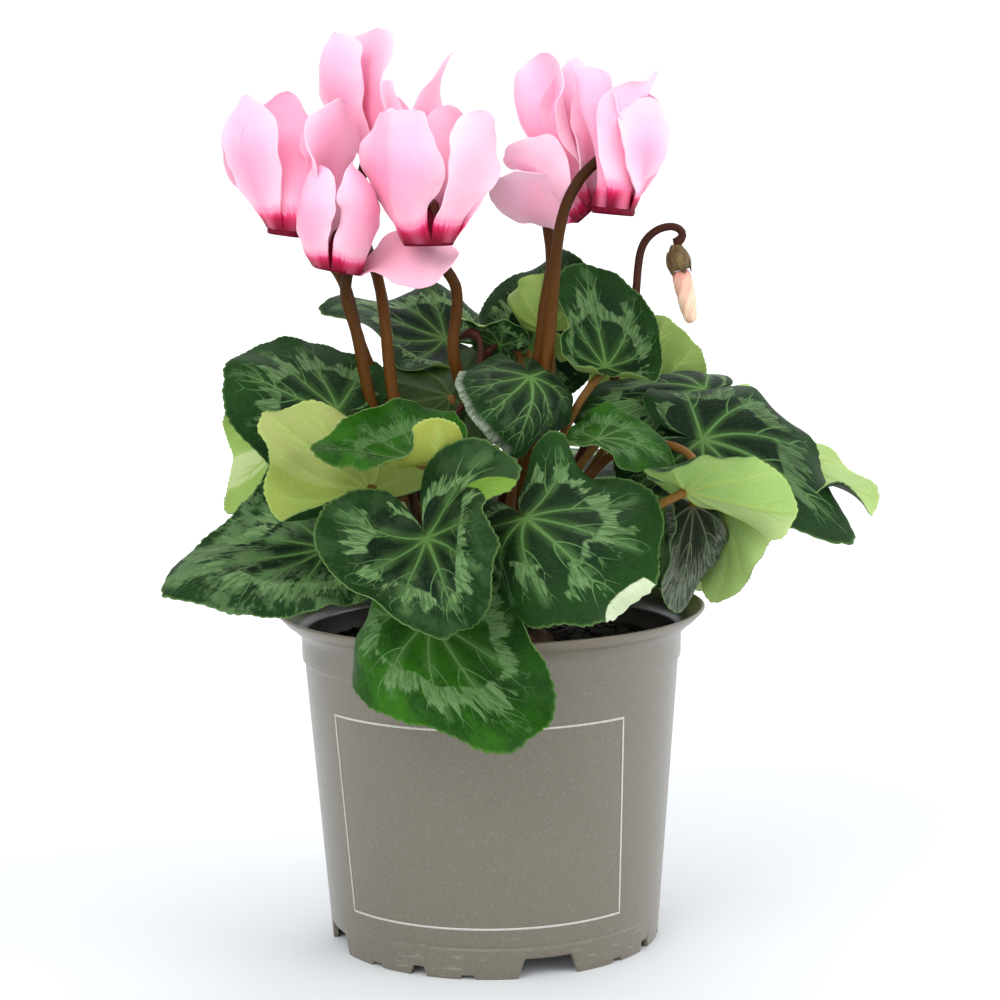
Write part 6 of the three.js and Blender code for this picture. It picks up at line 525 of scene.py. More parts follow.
def mat_leaf_top(name="leaf_upper", dull=False, flap=None, flap_cols=None):
    """upper side; flap = three flat points of a corner painted in the lower side's colours, as if folded over"""
    s = Mat(name)
    P = s.uv("uv")
    px, py, _ = s.sep(P)
    th, rho, _ = s.sep(s.uv("polar"))
    tint, silver, _ = s.sep(s.uv("aux"))
    _u, pale, _ = s.sep(s.uv("aux2"))
    dv, _lv, _ = s.sep(s.uv("dv"))
    low = s.noise(P, 2.6, 2.0)
    mid = s.noise(P, 7.0, 3.0, .6)
    fine = s.noise(P, 34.0, 3.0, .6)
    seed = s.mul(s.add(px, py), .5)
    jag = s.noise(s.com(s.mul(th, 58.0), s.mul(rho, 2.2), seed), 1.0, 2.0, .55)
    jag2 = s.noise(s.com(s.mul(th, 170.0), s.mul(rho, 6.0), seed), 1.0, 2.0, .6)
    wob = s.noise(s.com(s.mul(th, 9.0), 0.0, seed), 1.0, 2.0)
    # dark centre, greener outside the band
    inner = s.mix(low, (20, 25, 17), (36, 42, 30)) if dull else s.mix(low, DARK_A, DARK_B)
    outer = s.mix(mid, (26, 32, 22), (44, 50, 38)) if dull else s.mix(mid, OUT_A, OUT_B)
    base = s.mix(s.step(rho, .55, .92), inner, outer)
    lush = s.mix(s.step(s.add(low, s.mul(s.sub(mid, .5), .5)), .32, .68), TINT_A, TINT_B)
    base = s.mix(tint, base, lush)
    base = s.mix(s.mul(s.step(fine, .45, .75), .16), base, s.mix(tint, (58, 84, 48), (96, 140, 44)))
    # fine net of veinlets
    cell = s.cells(s.com(px, py, 0.0), 24.0)
    net = s.step(cell, .05, .0)
    base = s.mix(s.mul(net, .13), base, (62, 92, 52))
    # silver band: smooth towards the centre, feathered towards the margin, broken into patches
    c = s.ma(s.sub(wob, .5), .34, .655)
    lo = s.step(s.sub(rho, c), -.115, -.085)
    hi = s.step(s.sub(s.ma(s.sub(jag, .5), .62, rho), c), .10, .055)
    band = s.mul(lo, hi)
    patches = s.step(s.add(s.noise(P, 3.8, 2.0, .5), s.mul(s.sub(jag2, .5), .10)), .415, .465)
    m1 = s.mul(s.mul(band, patches), s.m("MINIMUM", silver, 1.0))
    # feathered streaks inside the band
    streak = s.step(jag2, .36, .58)
    silver_col = s.mix(streak, s.mix(mid, SIL_A, SIL_B), s.mix(mid, SIL_C, SIL_D))
    if dull:
        silver_col = s.mix(streak, (66, 74, 62), (122, 130, 116))
        m1 = s.mul(s.step(s.add(rho, s.mul(s.sub(jag2, .5), .5)), .45, .85), .75)
    m1 = s.mul(m1, s.ma(streak, .26, .68))
    # silver also runs inwards and outwards beside the veins, ragged
    near = s.step(s.add(dv, s.mul(s.sub(jag2, .5), .22)), .26, .06)
    rib = s.mul(s.mul(near, s.step(rho, .26, .52)), s.step(s.noise(P, 8.0, 2.0), .42, .52))
    col = s.mix(s.mul(s.mul(rib, s.m("MINIMUM", silver, 1.0)), .5), base, s.mix(mid, SIL_A, SIL_C))
    col = s.mix(m1, col, silver_col)
    # some leaves carry a wide diffuse grey bloom
    wide = s.mul(s.step(silver, 1.05, 1.6), s.mul(s.step(rho, .18, .5), s.step(s.add(s.noise(P, 4.6, 3.0, .6), s.mul(s.sub(jag2, .5), .35)), .42, .58)))
    col = s.mix(s.mul(wide, .62), col, s.mix(mid, SIL_A, SIL_D))
    # light halo along the main veins, strongest at the stalk
    halo = s.mul(s.step(dv, .26, .02), s.step(rho, 1.0, .1))
    col = s.mix(s.mul(halo, .36), col, (78, 116, 56) if not dull else (60, 66, 50))
    star = s.mul(s.step(rho, .17, .0), .55)
    col = s.mix(star, col, (88, 128, 52) if not dull else (70, 78, 48))
    # pale line at the margin
    col = s.mix(s.mul(s.step(rho, .984, .998), .32), col, (104, 138, 70))
    # turned-up places are painted in the pale colour of the lower side
    col = s.mix(pale, col, s.mix(s.step(jag2, .35, .6), (84, 100, 80), (146, 156, 138)))
    if flap is not None:
        g = None
        for k in range(3):
            (x0, y0), (x1, y1), (x2, y2) = flap[k], flap[(k + 1) % 3], flap[(k + 2) % 3]
            nx, ny = y1 - y0, x0 - x1
            ln = math.hypot(nx, ny)
            if (x2 - x0) * nx + (y2 - y0) * ny < 0:
                nx, ny = -nx, -ny
            d = s.add(s.mul(s.sub(px, x0), nx / ln), s.mul(s.sub(py, y0), ny / ln))
            e = s.step(s.add(d, s.mul(s.sub(mid, .5), .03)), -.006, .006)
            g = e if g is None else s.mul(g, e)
        col = s.mix(g, col, s.mix(mid, *(flap_cols or ((100, 140, 44), (146, 182, 74)))))
    h = s.add(s.mul(s.step(cell, .0, .12), .55), s.mul(s.noise(P, 60.0, 2.0), .35))
    rough = s.ma(mid, .16, .42)
    s.set(color=col, rough=rough, spec=.09, sss=.04, sss_radius=(.3, 1.0, .2), sss_scale=.001, normal=s.bump(h, .00022, .6))
    return s.mat


def mat_leaf_under():
    s = Mat("leaf_lower")
    P = s.uv("uv")
    th, rho, _ = s.sep(s.uv("polar"))
    yellow, shade, _ = s.sep(s.uv("aux"))
    under, pale, _ = s.sep(s.uv("aux2"))
    dv, _lv, _ = s.sep(s.uv("dv"))
    mid = s.noise(P, 5.0, 3.0, .6)
    low = s.noise(P, 2.0, 2.0)
    base = s.mix(mid, (110, 150, 70), (142, 180, 90))
    base = s.mix(s.step(rho, .25, 1.0), base, s.mix(mid, (130, 166, 84), (162, 192, 108)))
    base = s.mix(yellow, base, s.mix(low, (122, 130, 40), (172, 180, 82)))
    base = s.mix(shade, base, s.mix(low, (26, 44, 10), (48, 72, 20)))
    cell = s.cells(P, 24.0)
    net = s.step(cell, .06, .0)
    base = s.mix(s.mul(s.mul(net, .22), s.sub(1.0, shade)), base, (108, 140, 58))
    cream = s.mix(low, (196, 196, 140), (236, 236, 212))
    base = s.mix(s.m("MAXIMUM", under, pale), base, cream)
    lit = s.sub(1.0, shade)
    base = s.mix(s.mul(s.mul(s.step(dv, .22, .0), .25), lit), base, (164, 186, 104))
    base = s.mix(s.mul(s.mul(s.step(rho, .97, 1.0), .4), lit), base, (176, 196, 110))
    h = s.add(s.mul(s.step(cell, .0, .12), -.5), s.mul(s.noise(P, 60.0, 2.0), .4))
    s.set(color=base, rough=s.ma(mid, .15, .5), spec=.2, sss=.12, sss_radius=(.6, 1.0, .2), sss_scale=.0012, normal=s.bump(h, .0002, .5))
    return s.mat


def mat_vein(name, c0, c1, edge, rough=.45):
    """a: along 0..1, u: across 0..1"""
    s = Mat(name)
    a, u, _ = s.sep(s.uv("polar"))
    P = s.uv("uv")
    n = s.noise(P, 40.0, 2.0)
    across = s.m("ABSOLUTE", s.ma(u, 2.0, -1.0))
    col = s.mix(a, c0, c1)
    col = s.mix(s.mul(n, .35), col, edge)
    col = s.mix(s.mul(s.step(across, .25, 1.0), .8), col, edge)
    s.set(color=col, rough=s.ma(n, .15, rough), spec=.2, normal=s.bump(n, .0001, .4))
    return s.mat


def mat_stem(name, a, b, c, streak=.5):
    """a at the foot, b halfway, c at the far end; v = length in units of 100 mm, aux.x = fraction along"""
    s = Mat(name)
    P = s.uv("uv")
    u, v, _ = s.sep(P)
    f, painted_shade, _ = s.sep(s.uv("aux"))
    ring = s.com(s.m("COSINE", s.mul(u, 6.28318)), s.m("SINE", s.mul(u, 6.28318)), s.mul(v, 5.0))
    big = s.noise(ring, 1.3, 3.0, .6)
    fine = s.noise(s.com(s.m("COSINE", s.mul(u, 6.28318)), s.m("SINE", s.mul(u, 6.28318)), s.mul(v, 40.0)), 3.5, 3.0, .65)
    col = s.ramp(s.ma(s.sub(big, .5), .35, f), [(0.0, a), (.45, b), (1.0, c)])
    dark = s.mix(.5, col, (38, 14, 8))
    col = s.mix(s.mul(s.step(fine, .42, .66), streak), col, dark)
    # painted highlight: pale amber patches stand in for light catching the stem
    painted_highlight = s.mix(.5, col, (168, 116, 44))
    col = s.mix(s.mul(s.step(big, .52, .72), .14), col, painted_highlight)
    # painted shade: a stalk that lies in shadow is darkened towards near-black brown
    col = s.mix(painted_shade, col, (30, 18, 12))
    s.set(color=col, rough=s.ma(fine, .22, .46), spec=.13, sss=.05, sss_radius=(1.0, .4, .2), sss_scale=.0015, normal=s.bump(fine, .00018, .7))
    return s.mat


def mat_petal():
    s = Mat("petal")
    P = s.uv("uv")
    x, v, _ = s.sep(P)              # x: base to tip, v: across 0..1
    deep, pale_and_painted_light, _ = s.sep(s.uv("aux"))
    seed, dusty, _ = s.sep(s.uv("aux2"))
    w = s.m("ABSOLUTE", s.ma(v, 2.0, -1.0))
    seed10 = s.mul(seed, 37.0)
    fib = s.noise(s.com(s.mul(v, 26.0), s.mul(x, 2.2), seed10), 1.0, 3.0, .6)
    fib2 = s.noise(s.com(s.mul(v, 70.0), s.mul(x, 5.0), seed10), 1.0, 2.0, .6)
    blot = s.noise(s.com(s.mul(v, 2.2), s.mul(x, 3.0), seed10), 1.0, 2.0, .5)
    # along the petal, the mouth end ragged by the fibres
    f = s.add(x, s.mul(s.sub(fib, .5), .07))
    f = s.add(f, s.mul(s.sub(blot, .5), .04))
    f = s.sub(f, s.mul(deep, .02))
    col = s.ramp(f, [(0.0, (120, 2, 34)), (.05, (160, 4, 52)), (.074, (190, 10, 68)), (.098, (222, 56, 112)), (.125, (247, 142, 178)),
                     (.19, (254, 190, 213)), (.35, (254, 178, 205)), (.5, (254, 172, 202)), (.75, (255, 190, 217)), (1.0, (255, 202, 226))])
    # paler margins, deeper middle
    edge = s.mul(s.step(w, .45, 1.0), s.step(x, .10, .30))
    col = s.mix(s.mul(edge, .4), col, (255, 222, 234))
    heart = s.mul(s.mul(s.step(w, .62, .0), s.step(x, .92, .35)), deep)
    col = s.mix(s.mul(heart, .6), col, (252, 132, 170))
    # paler beyond the mouth; on flower 5's second and third petals this is painted light for petals turned away from
    # the lamps
    col = s.mix(s.mul(s.step(x, .12, .45), pale_and_painted_light), col, (255, 226, 238))
    col = s.mix(dusty, col, (242, 180, 198))
    # fine lengthwise veins
    vein = s.mul(s.step(fib2, .50, .68), s.step(x, 1.0, .1))
    col = s.mix(s.mul(vein, .12), col, (240, 122, 166))
    s.set(color=col, rough=s.ma(fib, .14, .46), spec=.14, sss=.12, sss_radius=(1.0, .55, .65), sss_scale=.001,
          sheen=.06, sheen_rough=.45, normal=s.bump(s.add(s.mul(fib2, .6), s.mul(fib, .4)), .00028, .55))
    return s.mat


def mat_mouth():
    s = Mat("corolla_tube")
    P = s.uv("uv")
    u, v, _ = s.sep(P)
    fib = s.noise(s.com(s.m("COSINE", s.mul(u, 6.28318)), s.m("SINE", s.mul(u, 6.28318)), s.mul(v, 1.5)), 6.0, 3.0)
    col = s.mix(fib, (78, 2, 24), (124, 5, 42))
    s.set(color=col, rough=s.ma(fib, .2, .45), spec=.12, sss=.1, sss_radius=(1.0, .2, .4), sss_scale=.001, normal=s.bump(fib, .0002, .6))
    return s.mat


def mat_simple(name, a, b, scale, rough, bumpd, detail=4.0, streak=None, spec=.35):
    s = Mat(name)
    P = s.obj()
    n = s.noise(P, scale, detail, .6)
    n2 = s.noise(P, scale * 5.0, 3.0, .6)
    col = s.mix(s.step(n, .3, .7), a, b)
    if streak:
        col = s.mix(s.mul(s.step(n2, .5, .7), .5), col, streak)
    s.set(color=col, rough=s.ma(n2, .2, rough), spec=spec, normal=s.bump(s.add(s.mul(n, .6), s.mul(n2, .4)), bumpd, .8))
    return s.mat


def mat_pot():
    s = Mat("pot_plastic")
    P = s.obj()
    x, y, z = s.sep(P)
    speck = s.noise(P, 1500.0, 2.0, .6)
    cloud = s.noise(P, 22.0, 3.0, .5)
    fine = s.noise(P, 420.0, 3.0, .6)
    col = s.mix(cloud, POT_A, POT_B)
    col = s.mix(s.mul(s.step(speck, .56, .70), .15), col, (176, 168, 158))
    col = s.mix(s.mul(s.step(speck, .44, .32), .18), col, (92, 84, 76))
    # painted shade: the lip and collar browner and darker, standing in for the shade of the rolled lip; pale rubbed
    # scuffs at the foot
    lip = s.step(z, .0868, .0925)
    col = s.mix(s.mul(lip, .8), col, (100, 89, 72))
    scuff = s.mul(s.step(s.noise(s.com(s.mul(x, 1.0), s.mul(y, 1.0), s.mul(z, 6.0)), 140.0, 3.0), .60, .72), s.step(z, .018, .0))
    col = s.mix(s.mul(scuff, .22), col, (186, 180, 170))
    dirt = s.mul(s.step(s.noise(P, 260.0, 2.0), .64, .74), lip)
    col = s.mix(s.mul(dirt, .6), col, (58, 48, 40))
    # inside, below the lip, the wall is darkened to a near-black brown
    u, vv, _ = s.sep(s.uv("in"))
    inner_darkening = s.mul(u, s.step(s.add(z, s.mul(s.sub(cloud, .5), .004)), .0925, .0900))
    col = s.mix(inner_darkening, col, s.mix(fine, (24, 19, 16), (48, 38, 31)))
    s.set(color=col, rough=s.ma(fine, .10, .32), spec=.5, coat=.35, coat_rough=.22, normal=s.bump(s.add(s.mul(fine, .6), s.mul(speck, .3)), .00008, .6))
    return s.mat


def mat_soil():
    s = Mat("peat")
    P = s.obj()
    n = s.noise(P, 260.0, 4.0, .65)
    n2 = s.noise(P, 900.0, 3.0, .6)
    col = s.mix(s.step(n, .35, .7), (12, 9, 8), (40, 30, 24))
    col = s.mix(s.mul(s.step(n2, .62, .72), .5), col, (92, 74, 56))
    s.set(color=col, rough=s.ma(n2, .1, .82), spec=.2, normal=s.bump(s.add(s.mul(n, .6), s.mul(n2, .4)), .0012, .9))
    return s.mat


# ---------------------------------------------------------------- leaves
NA = 241
TEETH = 76
RINGS = [.04, .12, .22, .32, .42, .51, .60, .68, .75, .82, .88, .93, .965, .987, 1.0]


def flat_path(pts, n):
    pts = np.asarray(pts, float)
    s = np.concatenate([[0], np.cumsum(np.linalg.norm(np.diff(pts, axis=0), axis=1))])
    q = np.linspace(0, s[-1], n)
    return np.stack([np.interp(q, s, pts[:, 0]), np.interp(q, s, pts[:, 1])], -1)


def vein_net(rng):
    """veins in flat leaf coordinates: (points, width at start, width at end, order)"""
    out = []
    mains = []
    for k, a0 in enumerate([0, 34, -34, 73, -73, 122, -122]):
        a0 = a0 + (rng.uniform(-4, 4) if k else rng.uniform(-1, 1))
        end = .965 if k == 0 else rng.uniform(.84, .93)
        s = np.linspace(0.0, 1.0, 26)
        bend = -.13 * a0 * s ** 1.5 + rng.uniform(-2.0, 2.0) * np.sin(s * 5 + rng.uniform(0, 6))
        if abs(a0) > 110:
            bend = .04 * a0 * s
        a = np.radians(a0 + bend)
        r = outline(a) * end * s
        p = np.stack([r * np.cos(a), r * np.sin(a)], -1)
        mains.append(p)
        out.append((p, 2.2 if k == 0 else 1.75 - .10 * (k // 2), .36, 0 if k == 0 else 1))
    for k, p in enumerate(mains):
        fr = [.40, .58, .74] if k == 0 else [.46, .62, .76]
        side = 1 if rng.random() < .5 else -1
        for q, f in enumerate(fr):
            f = f + rng.uniform(-.03, .03)
            i = int(f * 25)
            t = p[i] - p[i - 1]
            t = t / np.linalg.norm(t)
            for sd in ((side, -side) if k == 0 else (side,)):
                ang = math.radians(rng.uniform(40, 56)) * sd
                n = 9
                ln = (.36 - .22 * f) * rng.uniform(.85, 1.15) * (1.15 if k == 0 else .9)
                pts = [p[i]]
                d = np.array([t[0] * math.cos(ang) - t[1] * math.sin(ang), t[0] * math.sin(ang) + t[1] * math.cos(ang)])
                for j in range(n):
                    turn = -sd * math.radians(4.5) + rng.uniform(-.05, .05)
                    d = np.array([d[0] * math.cos(turn) - d[1] * math.sin(turn), d[0] * math.sin(turn) + d[1] * math.cos(turn)])
                    nx = pts[-1] + d * ln / n
                    th = math.atan2(nx[1], nx[0])
                    if np.hypot(*nx) > .93 * outline(th):
                        break
                    pts.append(nx)
                if len(pts) < 4:
                    continue
                out.append((np.array(pts), .85, .22, 2))
                # fork at the end
                for ba, where in ((34, -1), (-30, -1)):
                    o = pts[where]
                    dd = d if where == -1 else (pts[where] - pts[where - 1]) / np.linalg.norm(pts[where] - pts[where - 1])
                    ba = math.radians(ba + rng.uniform(-8, 8))
                    e = np.array([dd[0] * math.cos(ba) - dd[1] * math.sin(ba), dd[0] * math.sin(ba) + dd[1] * math.cos(ba)])
                    l2 = ln * rng.uniform(.28, .42)
                    q2 = [o + e * l2 * s for s in np.linspace(0, 1, 5)]
                    th = math.atan2(q2[-1][1], q2[-1][0])
                    if np.hypot(*q2[-1]) > .95 * outline(th):
                        continue
                    out.append((np.array(q2), .30, .12, 3))
            side = -side
    return out


def seg_dist(x, y, lines):
    """distance from points to the nearest of several polylines"""
    best = np.full(x.shape, 9.0)
    for p in lines:
        for a, c in zip(p[:-1:2], p[2::2]):
            d = c - a
            L2 = max(float(d @ d), 1e-12)
            t = np.clip(((x - a[0]) * d[0] + (y - a[1]) * d[1]) / L2, 0, 1)
            q = np.hypot(x - a[0] - t * d[0], y - a[1] - t * d[1])
            best = np.minimum(best, q)
    return best


def leaf_piece(node, d, look, mats, seed):
    net = np.array(d["net"], float).reshape(5, 5, 3)
    rng = np.random.default_rng(seed)
    e1 = np.linalg.norm(patch(net, LEAF_DOM, .5, 0.0) - patch(net, LEAF_DOM, 0.0, 0.0)) + np.linalg.norm(patch(net, LEAF_DOM, 1.0, 0.0) - patch(net, LEAF_DOM, .5, 0.0))
    L = float(e1)
    veins = vein_net(rng)
    mains = [v[0] for v in veins if v[3] < 2]
    ph = rng.uniform(0, 6.28, 6)
    tint, silver, under = look.get("tint", 0.0), look.get("silver", 1.0), look.get("under", 0.0)
    curl = look.get("curl")          # (from deg, to deg, start rho, radius mm)
    pales = look.get("pale", [])     # (from deg, to deg, start rho)
    so = (seed * 3.17 % 17.0, seed * 1.73 % 13.0)

    def window(deg, a, b, soft=7.0):
        return np.clip(np.minimum((deg - a) / soft, (b - deg) / soft) + .5, 0, 1)

    def wave(x, y):
        th = np.arctan2(y, x)
        rho = np.hypot(x, y) / np.maximum(outline(th), 1e-3)
        dv = seg_dist(x, y, mains) * L
        puff = .42 * (1 - np.exp(-(dv / 4.5) ** 2)) * (1 - np.clip(rho, 0, 1) ** 6)
        rim = .45 * np.clip(rho, 0, 1) ** 5 * np.sin(th * 7 + ph[0]) + .30 * np.clip(rho, 0, 1) ** 9 * np.sin(th * 13 + ph[1])
        rim = rim * np.clip((3.05 - np.abs(th)) / .5, 0, 1)
        return puff + rim - .16 * np.exp(-(dv / 1.1) ** 2), dv, rho, th

    def place(x, y):
        """mid-surface point, normal, relief, distance to vein, rho, angle"""
        p = patch(net, LEAF_DOM, x, y)
        n, sx, sy = frame_at(net, LEAF_DOM, x, y)
        m, dv, rho, th = wave(x, y)
        p = p + n * m[..., None]
        if curl:
            a, b_, rs, rad = curl
            w = window(np.degrees(th), a, b_)
            r = np.hypot(x, y)
            rr = outline(th)
            s = np.clip(r - rs * rr, 0, None) * L
            k = np.where(r > rs * rr, rs * rr / np.maximum(r, 1e-6), 1.0)
            p0 = patch(net, LEAF_DOM, x * k, y * k)
            n0, sx0, sy0 = frame_at(net, LEAF_DOM, x * k, y * k)
            c, sn = (x / np.maximum(r, 1e-6))[..., None], (y / np.maximum(r, 1e-6))[..., None]
            T = unit(sx0 * c + sy0 * sn)
            T = unit(T - n0 * np.sum(T * n0, -1, keepdims=True))
            f = (s / rad)[..., None]
            q = p0 + n0 * m[..., None] + T * rad * np.sin(f) + n0 * rad * (1 - np.cos(f))
            nn = n0 * np.cos(f) - T * np.sin(f)
            sel = (w * (s > 0))[..., None]
            p = p * (1 - sel) + q * sel
            n = unit(n * (1 - sel) + nn * sel)
        return p, n, dv, rho, th

    b = Builder(("uv", "polar", "aux", "aux2", "dv"))
    th = np.linspace(-np.pi, np.pi, NA)
    R = outline(th)
    scal = 1 + .010 * np.sin(th * 9 + ph[2]) + .006 * np.sin(th * 17 + ph[3])
    saw = (th / (2 * np.pi) * TEETH) % 1.0
    tooth = np.sin(np.pi * saw) ** .8 * (1 + .35 * np.sin(th * 23 + ph[4]))
    fade = np.clip((np.pi - np.abs(th)) / .35, 0, 1)
    grow = np.ones(NA)
    if curl:
        grow = 1 + .07 * window(np.degrees(th), curl[0], curl[1])
    rings = np.array(RINGS)
    rad = rings[:, None] * (R * (1 + (scal - 1) * fade) * grow)[None, :] + (rings ** 24)[:, None] * (R * .015 * tooth * fade)[None, :]
    X, Y = rad * np.cos(th), rad * np.sin(th)
    X = np.clip(X, LEAF_DOM[0] - .06, LEAF_DOM[1] + .04)
    # centre point row
    X = np.concatenate([np.zeros((1, NA)), X])
    Y = np.concatenate([np.zeros((1, NA)), Y])
    p, n, dv, rho, tt = place(X, Y)
    dv_n = np.clip(dv / 10, 0, 1)
    rho_grid = np.concatenate([[0], rings])[:, None] * np.ones(NA)
    thick = .66 * (1 - .55 * rho_grid ** 5)
    top = p + n * (thick / 2)[..., None]
    ridge = .20 * np.exp(-(dv / .8) ** 2) * (1 - .6 * rho_grid)
    bot = p - n * (thick / 2 + ridge)[..., None]
    edge = p[-1] + unit(p[-1] - p[-2]) * .12
    nr = len(rings) + 1
    thn = (th / (2 * np.pi) + .5)[None, :] * np.ones((nr, 1))
    deg = np.degrees(th)[None, :] * np.ones((nr, 1))
    pale = np.zeros((nr, NA))
    for a, c, r0 in pales:
        pale = np.maximum(pale, window(deg, a, c, 5.0) * np.clip((rho_grid - r0) / .05, 0, 1))
    flat = np.stack([X + so[0], Y + so[1]], -1)
    pol = np.stack([thn, rho_grid], -1)
    A = (tint, silver)
    AC = A
    if "tgrad" in look:                          # greener towards one side of the blade
        ang, t0, t1 = look["tgrad"]
        w = np.clip((flat[..., 0] - so[0]) * math.cos(math.radians(ang)) + (flat[..., 1] - so[1]) * math.sin(math.radians(ang)), -.6, .6) / 1.2 + .5
        A = np.stack([(t0 + (t1 - t0) * w).ravel(), np.full(w.size, silver)], -1)
    AB = (look.get("yellow", .2), look.get("shade", 0.0))
    both = look.get("both")
    if both == "under":
        A = AB
    elif both == "top":
        AB = A
    A2 = np.stack([np.full((nr, NA), under), pale], -1)
    upale = np.zeros((nr, NA))
    for a, c, r0, k in look.get("upale", []):
        upale = np.maximum(upale, k * window(deg, a, c, 3.0) * np.clip((rho_grid - r0) / .06 + .5, 0, 1))
    A2b = np.stack([np.full((nr, NA), under), upale], -1)
    if both == "under":
        A2 = A2b
    DV = np.stack([dv_n, np.zeros((nr, NA))], -1)
    f = grid_faces(nr, NA)
    b.add(top, f, 0, uv=flat.reshape(-1, 2), polar=pol.reshape(-1, 2), aux=A, aux2=A2.reshape(-1, 2), dv=DV.reshape(-1, 2))
    b.add(bot, grid_faces(nr, NA, flip=True), 1, uv=flat.reshape(-1, 2), polar=pol.reshape(-1, 2), aux=AB, aux2=A2b.reshape(-1, 2), dv=DV.reshape(-1, 2))
    # rounded margin strip
    strip = np.concatenate([top[-1], edge, bot[-1]])
    b.add(strip, grid_faces(3, NA), 2, uv=np.tile(flat[-1], (3, 1)), polar=np.tile(np.stack([thn[-1], np.ones(NA)], -1), (3, 1)), aux=AC, aux2=(under, 0), dv=(1, 0))
    # the notch's cut ends
    for i, fl in ((0, True), (NA - 1, False)):
        col = np.concatenate([top[:, i], bot[:, i]])
        b.add(col, [(k, k + 1, nr + k + 1, nr + k) if fl else (k, nr + k, nr + k + 1, k + 1) for k in range(nr - 1)], 2,
              uv=np.tile(flat[:, i], (2, 1)), polar=(.5, 1), aux=AC, aux2=(under, 0), dv=(1, 0))
    # veins: low rounded ridges above, stronger ones below
    for pts, w0, w1, order in veins:
        n_seg = 18 if order == 0 else 13 if order == 1 else 8 if order == 2 else 5
        q = flat_path(pts, n_seg)
        t = np.gradient(q, axis=0)
        t = t / np.maximum(np.linalg.norm(t, axis=1, keepdims=True), 1e-9)
        perp = np.stack([-t[:, 1], t[:, 0]], -1)
        fr = np.linspace(0, 1, n_seg)
        w = (w0 + (w1 - w0) * fr ** .8) * (L / 42.0) ** .5
        w[-1] *= .35
        offs = np.array([-1, -.55, 0, .55, 1.0])
        gx = q[:, 0][:, None] + perp[:, 0][:, None] * offs * (w / 2 / L)[:, None]
        gy = q[:, 1][:, None] + perp[:, 1][:, None] * offs * (w / 2 / L)[:, None]
        pp, nn, dd, rr, _t = place(gx, gy)
        th_loc = .66 * (1 - .55 * np.clip(rr, 0, 1) ** 5)
        hh = np.array([-.07, .035, .065, .035, -.07]) * np.clip(w, .5, 1.3)[:, None]
        if order == 3:
            hh = np.array([-.05, .05, .07, .05, -.05]) * np.ones((n_seg, 1))
        up = pp + nn * (th_loc / 2 + hh)[..., None]
        start = {0: 0.0, 1: .12, 2: .38, 3: .55}[order]
        U = np.stack([np.broadcast_to((start + (1 - start) * fr)[:, None], gx.shape), np.broadcast_to((offs + 1) / 2, gx.shape)], -1)
        fl = np.stack([gx + so[0], gy + so[1]], -1)
        b.add(up, grid_faces(n_seg, 5), 3, uv=fl.reshape(-1, 2), polar=U.reshape(-1, 2), aux=AC, aux2=(under, 0), dv=(0, 0))
        if order < 3:
            rg = .20 * np.exp(-(dd / .8) ** 2) * (1 - .6 * np.clip(rr, 0, 1))
            dn = pp - nn * (th_loc / 2 + rg + hh * 1.5)[..., None]
            b.add(dn, grid_faces(n_seg, 5, flip=True), 4, uv=fl.reshape(-1, 2), polar=U.reshape(-1, 2), aux=AC, aux2=(under, 0), dv=(0, 0))
    # stalk
    path = bspline(d["stalk"], np.linspace(0, 1, 160))
    path, ln = even(path, 56)
    # meets the lower side of the blade and stays below its upper side
    fr = np.linspace(0, 1, 56)
    n0, _sx, _sy = frame_at(net, LEAF_DOM, np.array([0.0]), np.array([0.0]))
    path = path - n0[0] * (.85 * np.clip((fr - .86) / .14, 0, 1) ** 1.5)[:, None]
    rr = 1.42 - .30 * fr + .18 * np.clip((fr - .94) / .06, 0, 1) ** 2 + .2 * np.exp(-fr * 30)
    # aux.y of the stalk carries its painted shade
    sweep(b, path, rr * look.get("stalk", 1.0), 12, 5, rough=.05, seed=seed, aux=np.concatenate([np.stack([np.repeat(fr, 13), np.full(56 * 13, look.get('painted_shade', 0.0))], -1), [[0, 0], [1, look.get('painted_shade', 0.0)]]]),
          aux2=(under, 0), dv=(1, 0))
    return b.make(node + "_blade", mats, node=node)


